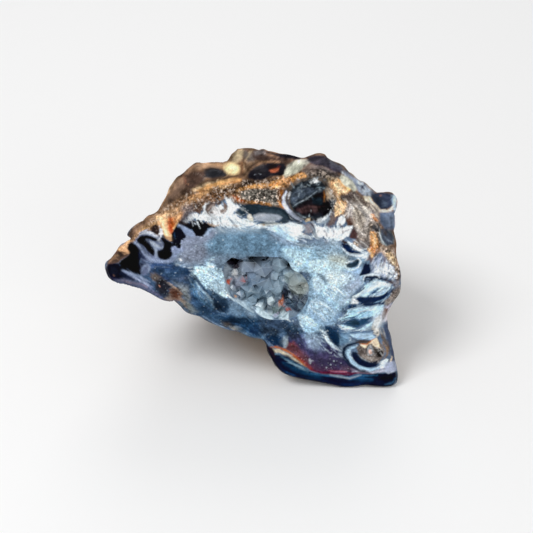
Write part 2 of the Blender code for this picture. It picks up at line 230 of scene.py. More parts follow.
def crust_reach(angles, front):
    """How far the polish reaches from the centre: to the crust along the top, close to the rim elsewhere."""
    edge = front - EDGE_DROP
    at, radius = (values[::-1] for values in around(CRUST_EDGE))
    inside = (angles > at[0]) & (angles < at[-1])
    return np.where(inside, np.minimum(np.interp(angles, at, radius), edge), edge)


def spline_rings(rings, steps):
    """The rings, with smooth rings between them."""
    padded = [2 * rings[0] - rings[1], *rings, 2 * rings[-1] - rings[-2]]
    found = []
    for count, *four in zip(steps, padded, padded[1:], padded[2:], padded[3:]):
        found += [spline(*four, t) for t in np.arange(count) / count]
    return found + [rings[-1]]


def relief(place):
    """Height of the rind over its smooth form: hollows with ridges where they meet, lumps and grain."""
    distances = noise.voronoi(place / PIT_SPACING)[0]
    rise = min(1.0, (distances[1] - distances[0]) * PIT_STEEPNESS)
    top = min(1.0, max(0.0, (place.z - TOP_FROM) / TOP_BLEND))
    start = EDGE_DROP + (CREST_AT - 2.0 - EDGE_DROP) * top * top * (3 - 2 * top)
    worn = min(1.0, max(0.0, (place.y - start) / 4.0))
    lumps = min(1.0, max(0.0, (place.y - start) / 7.0))
    fine = min(1.0, max(0.0, (STONE_DEPTH - place.y) / 4.0))
    height = -worn * PIT_DEPTH * rise * rise * (3 - 2 * rise)
    height += LUMP_HEIGHT * lumps * noise.noise(place / LUMP_SPACING)
    height += KNOB_HEIGHT * lumps * fine * noise.noise(place / KNOB_SPACING)
    height += GRAIN_HEIGHT * fine * min(1.0, place.y) * noise.noise(place / GRAIN_SPACING)
    for (x, z, y), radius, mark in RIND_MARKS:
        near = (place - Vector((x, y, z))).length / radius
        height += mark * (1 - near * near) ** 2 if near < 1 else 0.0
    return height


def rest_height(point):
    """Height over the floor of a point of the face's frame."""
    return FACE_ORIGIN[2] + point[2] * math.cos(LEAN) - point[1] * math.sin(LEAN)


# The stone

def crust_share(points):
    """How far points of the front are from the end of the polish to the rim, from 0 to 1; their full drop;
    and the width of the crust there."""
    angles, radius = around(points)
    front = reach(FRONT, angles)
    polish = crust_reach(angles, front)
    share = (radius - polish) / (front - polish)
    drop = EDGE_DROP + (CRUST_DROP - EDGE_DROP) * np.clip((front - polish) / 5.0, 0, 1)
    return np.clip(share, 0, 1), drop, front - polish


def nodule_share(points):
    """Distance of points across and up the face from the nodule's centre, in its radii."""
    return np.hypot(points[:, 0] - NODULE[0], points[:, 1] - NODULE[1]) / NODULE[2]


def front_depths(points):
    """Depth of the front behind the plane of the cut at points across and up the face."""
    share, drop, width = crust_share(points)
    depth = drop * np.interp(share, (0, 0.12, 0.3, 0.65, 1), (0, 0.3, 0.5, 0.7, 1))
    crust = step((width - 0.8) / 1.0) * step(share / 0.15)
    grain = layered(points, 0.75, 3, 2) - 0.5
    lump = layered(points, 3.0, 9, 2) - 0.5
    depth = depth - crust * (0.42 * grain + 0.7 * lump)
    away = nodule_share(points)
    eye = step((1.12 - away) / 0.14)
    groove = np.exp(-(((away - 1.12) / 0.07) ** 2)) * 0.25
    return np.maximum(depth * (1 - eye) + (0.12 + 0.3 * away**4) * eye * crust + groove * crust, 0)


def face_mesh(rim, mouth):
    """Triangles over the front between its rim and the mouth of the pocket."""
    low, high = rim.min(axis=0), rim.max(axis=0)
    rows = np.arange(low[1], high[1], FACE_STEP * math.sqrt(3) / 2)
    places = []
    for k, z in enumerate(rows):
        x = np.arange(low[0] + (k % 2) * FACE_STEP / 2, high[0], FACE_STEP)
        places.append(np.stack([x, np.full(len(x), z)], axis=1))
    grid = np.concatenate(places)
    rng = np.random.default_rng(4)
    grid = grid + rng.uniform(-0.15, 0.15, grid.shape) * FACE_STEP
    keep = (distance(grid, rim) < -0.6 * FACE_STEP) & (distance(grid, mouth) > 0.6 * FACE_STEP)
    points = np.concatenate([rim, mouth, grid[keep]])
    count = len(rim)
    edges = [(k, (k + 1) % count) for k in range(count)]
    edges += [(count + k, count + (k + 1) % len(mouth)) for k in range(len(mouth))]
    found, _, triangles, *_ = delaunay_2d_cdt([Vector(p) for p in points], edges, [], 1, 1e-6)
    flat = np.array([tuple(v) for v in found])
    if len(flat) != len(points):
        raise RuntimeError("the front has crossing edges")
    hole = distance(flat[np.array(triangles)].mean(axis=1), mouth) < 0
    return flat, [tuple(t) for t, inside in zip(triangles, hole) if not inside]


def distance(points, outline, closed=True):
    """Distance of each point from a line of corners, negative inside a closed one."""
    ends = np.roll(outline, -1, axis=0) if closed else outline[1:]
    nearest = np.full(len(points), 1e9)
    inside = np.zeros(len(points), bool)
    for a, b in zip(outline, ends):
        run, away = b - a, points - a
        share = np.clip(away @ run / max(run @ run, 1e-12), 0, 1)
        nearest = np.minimum(nearest, ((away - share[:, None] * run) ** 2).sum(axis=1))
        if closed and a[1] != b[1]:
            spans = (a[1] > points[:, 1]) != (b[1] > points[:, 1])
            inside ^= spans & (points[:, 0] < a[0] + (points[:, 1] - a[1]) * run[0] / run[1])
    nearest = np.sqrt(nearest)
    return np.where(inside, -nearest, nearest)


def rind_rings(rim, edge):
    """Rings of the rind from the rim, whose depths are given, to the back; and the pole that ends them."""
    angles, radius = around(rim)
    crest, body = reach(CREST, angles), reach(BODY, angles)
    circle = reach(BODY, np.linspace(-math.pi, math.pi, 104)).mean()
    rings = [
        ring(radius, edge, angles),
        ring((radius + crest) / 2 + 0.2, (edge + CREST_AT) / 2, angles),
        ring(crest, CREST_AT, angles),
        ring((crest + body) / 2 + 0.4, (CREST_AT + BODY_AT) / 2, angles),
        ring(body, BODY_AT, angles),
    ]
    turn = np.unwrap(angles)
    even = np.sign(turn[-1] - turn[0]) * 2 * math.pi * np.arange(RIM_POINTS) / RIM_POINTS
    even += (turn - even).mean()
    for depth, share, roundness, sag, evened in BACK:
        angles = turn + (even - turn) * evened
        body = reach(BODY, (angles + math.pi) % (2 * math.pi) - math.pi)
        rings.append(ring(share * (body + (circle - body) * roundness), depth, angles, sag))
    rind = spline_rings(rings, RIND_STEPS)[1:]
    pole = np.array([CENTRE[0], STONE_DEPTH, CENTRE[1] - BACK[-1][3]])
    rounded = rind[-1] - pole
    return rind + [pole + rounded * (share, share**2, share) for share in POLE_RINGS], pole


def close_up(vertices, faces, near, rings, tip):
    """Adds the rings and the tip to the vertices, and the faces that run from a row of vertices over the rings
    to the tip. Gives the tip's number."""
    total = sum(len(points) for points in vertices)
    for points in rings:
        far = range(total, total + len(near))
        vertices.append(points)
        faces += strip(near, far)
        near, total = far, total + len(near)
    vertices.append(np.array([tip]))
    faces += [(near[k], near[(k + 1) % len(near)], total) for k in range(len(near))]
    return total


def stone_mesh():
    """The stone as one closed mesh: its vertices and faces, how many vertices the front has, and the number
    of the vertex at the back pole."""
    rim, mouth = smooth_outline(FRONT, RIM_POINTS), smooth_outline(MOUTH, MOUTH_POINTS)
    flat, faces = face_mesh(rim, mouth)
    depths = front_depths(flat)
    vertices = [np.stack([flat[:, 0], depths, flat[:, 1]], axis=1)]
    rind, pole = rind_rings(rim, depths[:RIM_POINTS])
    last = close_up(vertices, faces, range(RIM_POINTS), rind, pole)

    angles, radius = around(mouth)
    walls = [ring(radius, 0.0, angles)]
    walls += [ring(radius * share, depth, angles) for depth, share in POCKET_WALL]
    walls = spline_rings(walls, (2,) * len(POCKET_WALL))[1:]
    lip = range(RIM_POINTS, RIM_POINTS + MOUTH_POINTS)
    close_up(vertices, faces, lip, walls, (CENTRE[0], POCKET_DEPTH, CENTRE[1]))
    return np.concatenate(vertices), faces, len(flat), last


def weather(mesh, front_count, pole):
    """Raises the rind behind the front, and wears the flat underneath."""
    normals = [v.normal.copy() for v in mesh.vertices]
    for k in range(front_count, pole + 1):
        place = mesh.vertices[k].co.copy()
        mesh.vertices[k].co = place + normals[k] * relief(place)
    for vertex in mesh.vertices:
        below = rest_height(vertex.co)
        if below < 0:
            vertex.co.z -= below / math.cos(LEAN)


# Markings

def picture(points):
    """Pixels of the photograph at which points of the face's frame are seen."""
    tilt = CAMERA_HEIGHT - LEAN
    depth = CAMERA_DISTANCE - points[:, 2] * math.sin(tilt) + points[:, 1] * math.cos(tilt)
    focal = FOCAL / SENSOR * PICTURE
    x = PICTURE / 2 + focal * points[:, 0] / depth
    y = PICTURE / 2 - focal * (points[:, 2] * math.cos(tilt) + points[:, 1] * math.sin(tilt)) / depth
    return np.stack([x, y], axis=1)


def tone(code):
    """The linear colour of a tone."""
    value = np.array([int(code[k:k + 2], 16) for k in (0, 2, 4)]) / 255
    return np.where(value <= 0.04045, value / 12.92, ((value + 0.055) / 1.055) ** 2.4)


def blend(colour, code, share):
    """Mixes one tone into the colours, by a share for each."""
    colour += (tone(code) - colour) * share[:, None]


def pairs(flat):
    """Corners in the picture from a flat row of numbers."""
    return np.array(flat, float).reshape(-1, 2)


def wander(spots, size, seed, made):
    """A smooth shift of each spot, across and up."""
    return np.stack([made(spots, size, seed), made(spots, size, seed + 10)], axis=1) - 0.5


# Directions of the fibres: x, y, and the run of the fibres there
COMBS = (
    (190, 217, 5, 8), (200, 212, 4, 8), (212, 214, 5, 7), (228, 206, 6, 8), (240, 222, 8, 3),
    (262, 226, 8, 0), (285, 230, 8, 5), (300, 236, 8, 3), (316, 230, 3, 8), (330, 230, -4, 8),
    (344, 224, -6, 7), (140, 258, 6, 8), (152, 252, 6, 8), (165, 262, 8, 1), (150, 270, 8, 3),
    (126, 272, 8, 4), (142, 284, 8, 4), (175, 270, 8, 1), (200, 295, 6, 8), (212, 308, 7, 6),
    (230, 318, 8, 3), (250, 330, 8, 3), (210, 280, 7, 6), (225, 295, 6, 7), (190, 248, 8, -2),
    (230, 240, 8, -1), (270, 244, 8, 1), (310, 250, 8, 2), (335, 255, 8, 3), (318, 270, 6, 7),
    (335, 290, 5, 8), (320, 305, 6, 6), (312, 322, 6, 7), (335, 312, 5, 7), (360, 244, 7, 4),
    (352, 262, 8, -3), (375, 262, -6, 8), (388, 270, -5, 8), (370, 284, 8, -4), (384, 288, 8, -6),
    (360, 298, 8, -3), (372, 310, 8, -3), (350, 314, 8, -4), (352, 326, 8, -3), (366, 334, 8, -2),
    (395, 290, 5, -8), (388, 312, 3, -8), (390, 335, 2, 8), (330, 338, 6, 7), (345, 358, 5, 8),
    (356, 368, 8, 4), (380, 368, 8, -4), (280, 352, 8, 4), (300, 364, 8, 5), (325, 374, 8, 1),
    (360, 378, 8, 0), (390, 378, 8, 0), (150, 222, 8, -5), (120, 255, 5, -6), (210, 190, 8, -4),
    (250, 185, 8, -2), (300, 180, 8, -4), (345, 200, 4, 8), (365, 220, 4, 8), (378, 240, 2, 8),
)


def heading(at):
    """Run of the fibres at each spot."""
    combs = np.array(COMBS, float)
    angle = 2 * np.arctan2(combs[:, 3], combs[:, 2])
    gap = ((at[:, None, :] - combs[None, :, :2]) ** 2).sum(axis=2) + 30
    weight = gap**-2
    turn = 0.5 * np.arctan2(weight @ np.sin(angle), weight @ np.cos(angle))
    turn = turn + 1.1 * (lattice(at, 14, 77) - 0.5)
    return np.stack([np.cos(turn), np.sin(turn)], axis=1)


def fibre_field(spots, length=9, seed=21):
    """Streaks that follow the combs: fine noise averaged along their run, from -1 to 1."""
    total = lattice(spots, 1.1, seed)
    for way in (1, -1):
        at, going = spots.copy(), way * heading(spots)
        for _ in range(length):
            at = at + going * 0.9
            turned = heading(at)
            going = turned * np.sign((turned * going).sum(axis=1))[:, None]
            total = total + lattice(at, 1.1, seed)
    total = total - total.mean()
    return np.clip(total / (2.2 * total.std()), -1, 1)


# The marks. Each says: tone, width of a line or 0 for a patch, softness, how far fibres fray it, strength,
# and its corners in pixels of the photograph.

# Broad tones of the quartz and agate
BASE = (
    ("7F97AA", 0, 4, 0, 1, (240, 227.8, 255.3, 226.7, 270.6, 229.8, 285.9, 238, 297.1, 242, 311.4, 243.1,
        326.7, 242, 342, 242, 346.1, 250.2, 352.2, 254.3, 362.4, 255.3, 367.6, 259.4, 362.4, 265.5, 359.4,
        275.7, 362.4, 282.9, 352.2, 293.1, 342, 300, 311.4, 300, 306.3, 282.9, 311.4, 272.7, 291, 269.6,
        285.9, 260.4, 275.7, 255.3, 240, 257.3)),
    ("7B8D9F", 0, 4, 0, 1, (171.4, 252.2, 181.6, 250.2, 186.7, 236.9, 196.9, 234.9, 205.1, 234.9, 215.3,
        228.8, 232.7, 229.8, 260, 230.8, 260, 255.3, 248, 258.4, 242.9, 256.3, 227.6, 260.4, 225.5, 266.5,
        218.4, 267.6, 207.1, 264.5, 191.8, 267.6, 177.6, 265.5, 172.4, 260.4)),
    ("838A9A", 0, 5, 0, 0.9, (181.6, 247.1, 202, 242, 208.2, 252.2, 202, 262.4, 186.7, 264.5, 175.5, 260.4)),
    ("6E8CA2", 0, 5, 0, 0.9, (208.2, 238, 222.4, 231.8, 260, 233.9, 260, 252.2, 232.7, 255.3, 208.2, 252.2)),
    ("6D8AA0", 0, 5, 0, 0.9, (240, 230.8, 254.3, 228.8, 270.6, 232.9, 285.9, 243.1, 297.1, 248.2, 285.9,
        252.2, 275.7, 255.3, 240, 256.3)),
    ("8A99AC", 0, 4, 0, 0.8, (270.6, 231.8, 285.9, 239, 301.2, 242, 331.8, 240, 342, 242, 340, 248.2, 326.7,
        250.2, 301.2, 248.2, 285.9, 244.1, 270.6, 238)),
    ("A9C9DC", 0, 3, 2, 1, (282.9, 248.2, 297.1, 246.1, 316.5, 248.2, 326.7, 251.2, 336.9, 255.3, 346.1,
        260.4, 352.2, 268.6, 361.4, 271.6, 360.4, 282.9, 354.3, 291, 350.2, 300, 326.7, 300, 325.7, 282.9,
        319.6, 273.7, 311.4, 272.7, 297.1, 269.6, 291, 266.5, 288, 260.4, 282.9, 255.3)),
    ("A3C2D6", 0, 4, 2, 1, (291, 263.5, 311.4, 258.4, 326.7, 260.4, 342, 266.5, 360.4, 268.6, 361.4, 278.8,
        354.3, 291, 347.1, 303.3, 338, 313.5, 335.9, 323.7, 321.6, 326.7, 305.3, 329.8, 301.2, 323.7, 298.2,
        315.5, 305.3, 306.3, 307.3, 295.1, 311.4, 280.8, 311.4, 273.7)),
    ("9DB3CC", 0, 4, 0, 0.9, (346.1, 269.6, 360.4, 267.6, 362.4, 272.7, 360.4, 280.8, 352.2, 284.9, 336.9,
        282.9, 331.8, 274.7)),
    ("A5AEB2", 0, 2.5, 1, 0.9, (326.7, 260.4, 336.9, 256.3, 348.2, 257.3, 347.1, 262.4, 342, 267.6, 329.8,
        267.6, 325.7, 264.5)),
    ("9CAAB2", 0, 2.5, 1, 0.8, (323.7, 252.2, 331.8, 250.2, 342, 252.2, 352.2, 255.3, 347.1, 259.4, 334.9,
        258.4, 326.7, 257.3)),
    ("6F8896", 0, 2, 0, 0.8, (315.5, 251.2, 321.6, 251.2, 323.7, 257.3, 319.6, 259.4, 315.5, 255.3)),
    ("D6ECF5", 0, 2, 1.5, 0.95, (311.4, 260.4, 321.6, 259.4, 329.8, 261.4, 327.8, 266.5, 319.6, 271.6, 313.5,
        271.6, 310.4, 266.5)),
    ("CFE4EE", 0, 2, 1.5, 0.9, (295.1, 259.4, 301.2, 258.4, 305.3, 262.4, 301.2, 265.5, 297.1, 264.5)),
    ("C2DAE6", 0, 2, 1.5, 0.9, (289, 262.4, 293.1, 261.4, 297.1, 267.6, 305.3, 270.6, 297.1, 271.6, 291,
        268.6)),
    ("C9E2EE", 0, 3, 3, 0.9, (324.7, 282.9, 336.9, 284.9, 347.1, 293.1, 350.2, 301.2, 338, 303.3, 329.8,
        297.1, 323.7, 291)),
    ("8FA8BC", 0, 3, 2, 0.8, (307.3, 289, 313.5, 291, 323.7, 297.1, 331.8, 303.3, 329.8, 309.4, 321.6, 303.3,
        311.4, 298.2, 306.3, 297.1)),
    ("9DB8CC", 0, 1.5, 1.5, 0.9, (307.3, 306.3, 311.4, 300.2, 317.6, 298.2, 325.7, 302.2, 327.8, 309.4, 327.8,
        317.6, 321.6, 323.7, 313.5, 324.7, 309.4, 317.6, 307.3, 311.4)),
    ("A5C2D3", 0, 1.5, 1.5, 0.9, (298.2, 315.5, 305.3, 315, 311.4, 319.6, 315.5, 324.7, 311.4, 331.8, 305.3,
        329.8, 301.2, 325.7)),
    ("5F7C98", 0, 2.5, 3, 0.9, (326.7, 305.3, 334.9, 311.4, 339, 315.5, 336.9, 322.7, 327.8, 325.7, 324.7,
        319.6, 326.7, 311.4)),
    ("BCD8E8", 0, 1.5, 2, 1, (189.8, 271.6, 194.9, 267.6, 202, 266.5, 207.1, 264, 212.2, 264.5, 217.3, 268.6,
        222.4, 271.6, 225, 275.7, 225.5, 282.9, 226, 291, 228.6, 297.1, 224.5, 300, 217.3, 295.1, 207.1, 290,
        202, 284.9, 198, 280.8, 191.8, 277.8, 189.8, 274.7)),
    ("40546E", 0, 3, 2, 1, (139.8, 260.4, 149, 261.9, 165.3, 263, 177.6, 264.5, 191.8, 267.6, 189.8, 273.7,
        198, 278.8, 206.1, 286.9, 215.3, 295.1, 227.6, 301.2, 242.9, 305.3, 260, 311.4, 260, 341, 251, 341,
        242.9, 336.9, 230.6, 333.9, 217.3, 326.7, 202, 318.6, 191.8, 316.5, 184.7, 310.4, 177.6, 303.3, 169.4,
        304.8, 161.2, 302.2, 149, 294.1, 133.7, 289, 113.3, 284.9, 124.5, 273.7, 139.8, 276.7, 141.8, 270.6)),
    ("4E6880", 0, 4, 1, 1, (240, 303.3, 255.3, 306.3, 262.4, 315.5, 273.7, 319.6, 288, 321.6, 298.2, 328.8,
        305.3, 331.8, 311.4, 338, 305.3, 343.1, 293.1, 342, 286.9, 336.9, 278.8, 333.9, 265.5, 341, 250.2,
        341, 240, 334.9)),
    ("42567C", 0, 2.5, 1, 0.9, (149, 261.4, 161.2, 261.9, 171.4, 264.5, 177.6, 267.6, 175.5, 270.6, 165.3,
        269.6, 155.1, 269.6, 151, 267.6)),
    ("8088A6", 0, 2, 1, 0.9, (140.8, 264.5, 144.9, 261.9, 149, 263, 150, 267.6, 146.9, 272.7, 142.9, 275.7,
        140.3, 271.6, 139.8, 267.6)),
    ("253654", 0, 2.5, 1, 0.85, (148, 271.6, 153.1, 272.7, 161.2, 274.7, 171.4, 276.2, 177.6, 272.7, 180.6,
        273.7, 187.8, 269.6, 189.8, 273.7, 187.8, 278.8, 177.6, 278.8, 169.4, 281.8, 161.2, 279.3, 153.1,
        275.2)),
    ("6F7C94", 0, 3, 1, 0.6, (165.3, 270.6, 177.6, 273.7, 187.8, 275.7, 185.7, 279.8, 171.4, 278.8)),
    ("6A7480", 0, 2.5, 1, 0.9, (171.4, 280.8, 181.6, 282.9, 189.8, 285.9, 191.8, 291, 185.7, 293.1, 179.6,
        291, 173.5, 285.9)),
    ("75665F", 0, 2.5, 1, 0.8, (151, 275.7, 156.1, 273.2, 159.2, 277.8, 157.1, 280.8, 152, 279.8)),
    ("33323C", 0, 2.5, 1, 0.9, (155.6, 282.9, 159.2, 279.8, 166.3, 281.8, 168.4, 285.9, 164.3, 291, 158.2,
        292, 156.1, 286.9)),
    ("6E655E", 0, 2.5, 1, 0.9, (170.4, 288, 175.5, 290, 181.6, 297.1, 177.6, 299.2, 171.4, 300.2, 165.3,
        301.2, 161.2, 299.2, 167.3, 295.1)),
    ("7C4630", 0, 1.8, 1, 0.95, (171.4, 290, 175.5, 290, 180.1, 293.6, 178.1, 295.6, 174.5, 294.1)),
    ("8E8078", 0, 2, 1, 0.8, (163.3, 298.2, 170.4, 297.1, 175.5, 298.2, 171.4, 300.7, 166.3, 301.2)),
    ("848A88", 0, 2.5, 1, 0.85, (179.6, 298.2, 186.7, 301.2, 191.8, 305.3, 198, 311.4, 191.8, 313, 186.7,
        309.4, 181.6, 303.3)),
    ("5E80A0", 0, 2.5, 2, 0.9, (190.8, 278.8, 195.9, 280.8, 202, 291, 210.2, 298.2, 214.3, 303.3, 214.3,
        309.4, 207.1, 306.3, 198, 300.2, 191.8, 293.1, 189.8, 285.9)),
    ("3C5266", 0, 2.5, 1.5, 0.95, (205.1, 285.9, 212.2, 291, 222.4, 297.1, 228.6, 303.3, 226.5, 310.4, 222.4,
        313.5, 216.3, 307.3, 213.3, 299.2, 206.1, 291)),
    ("2C4560", 0, 2.5, 1.5, 0.9, (200, 306.3, 208.2, 312.4, 217.3, 315.5, 229.6, 317.6, 227.6, 321.6, 217.3,
        320.6, 208.2, 317.6, 200, 313.5)),
    ("8AA3B8", 0, 3, 1, 0.85, (227.6, 303.3, 237.8, 303.3, 242.9, 309.4, 240.8, 317.6, 232.7, 315.5, 227.6,
        311.4)),
    ("1F3D5C", 0, 3, 1.5, 0.95, (232.7, 320.6, 242.9, 318.6, 260, 321.6, 260, 331.8, 253.1, 338, 246.9, 329.8,
        236.7, 324.7)),
    ("4A4A4E", 0, 2, 1, 0.8, (222.4, 320.6, 228.6, 319.6, 230.6, 324.7, 225.5, 326.7, 221.4, 324.7)),
    ("8A8A88", 0, 1.8, 1, 0.8, (229.6, 326.7, 235.7, 326.7, 238.8, 330.3, 232.7, 330.8)),
    ("6D6D88", 4, 2, 1, 0.85, (113.3, 281.3, 124.5, 283.4, 133.7, 285.4, 145.9, 289, 157.1, 295.6, 165.3,
        300.7)),
    ("2B4C6C", 0, 3, 1.5, 0.9, (240, 316.5, 252.2, 319.6, 258.4, 323.7, 252.2, 331.8, 246.1, 331.8, 240,
        327.8)),
    ("7F9AB0", 0, 3, 1.5, 0.8, (242, 306.3, 250.2, 307.3, 255.3, 313.5, 250.2, 319.6, 243.1, 315.5)),
    ("52687E", 0, 3, 1.5, 0.8, (258.4, 323.7, 270.6, 321.6, 282.9, 323.7, 284.9, 329.8, 278.8, 333.9, 265.5,
        333.9, 258.4, 329.8)),
    ("34495F", 0, 3, 1.5, 0.8, (284.9, 324.7, 297.1, 327.8, 305.3, 332.9, 301.2, 336.9, 291, 335.9, 283.9,
        331.8)),
    ("141F38", 0, 1.5, 1, 0.9, (249.2, 329.3, 254.3, 325.7, 255.8, 328.3, 251.2, 332.3)),
    ("37365A", 0, 3, 1, 1, (286.9, 339, 297.1, 336.9, 311.4, 338, 323.7, 342, 338, 348.2, 343.1, 355.3, 350.2,
        362.4, 357.3, 368.6, 352.2, 373.7, 336.9, 373.7, 319.6, 372.7, 311.4, 368.6, 303.3, 360.4, 293.1,
        353.3, 284.9, 348.2)),
    ("4C5470", 0, 3, 1, 0.8, (289, 331.8, 305.3, 333.9, 305.3, 342, 297.1, 343.1, 288, 339)),
    ("6F7C98", 0, 3, 2, 0.85, (305.3, 338, 317.6, 339, 324.7, 345.1, 323.7, 350.2, 315.5, 350.2, 307.3,
        346.1)),
    ("2C2C50", 0, 3, 1, 0.9, (303.3, 350.2, 317.6, 350.2, 331.8, 354.3, 342, 357.3, 340, 364.5, 327.8, 364.5,
        313.5, 361.4, 305.3, 356.3)),
    ("7A4038", 0, 3, 1, 0.9, (285.4, 343.6, 293.1, 343.1, 301.2, 350.2, 311.4, 360.4, 317.6, 369.6, 309.4,
        366.5, 301.2, 359.4, 291, 352.2, 284.9, 348.2)),
    ("5A2B48", 0, 3, 1, 0.85, (307.3, 360.4, 317.6, 364.5, 331.8, 367.6, 342, 369.1, 348.2, 371.6, 331.8,
        372.7, 317.6, 371.6, 309.4, 365.5)),
    ("705868", 0, 3, 1, 0.8, (340, 364.5, 350.2, 365.5, 354.3, 369.6, 346.1, 371.6, 340, 368.6)),
    ("2A4260", 0, 2, 2.5, 0.95, (323.7, 326.7, 328.8, 325.7, 338, 327.8, 346.1, 331.8, 343.1, 338, 333.9,
        336.9, 326.7, 331.8)),
    ("5C7A96", 0, 2.5, 2, 0.7, (335.9, 323.7, 342, 325.7, 344.1, 330.8, 338, 329.8)),
    ("A3C2D6", 0, 2, 2, 0.7, (317.6, 327.8, 324.7, 329.8, 321.6, 333.9, 315.5, 333.9)),
)
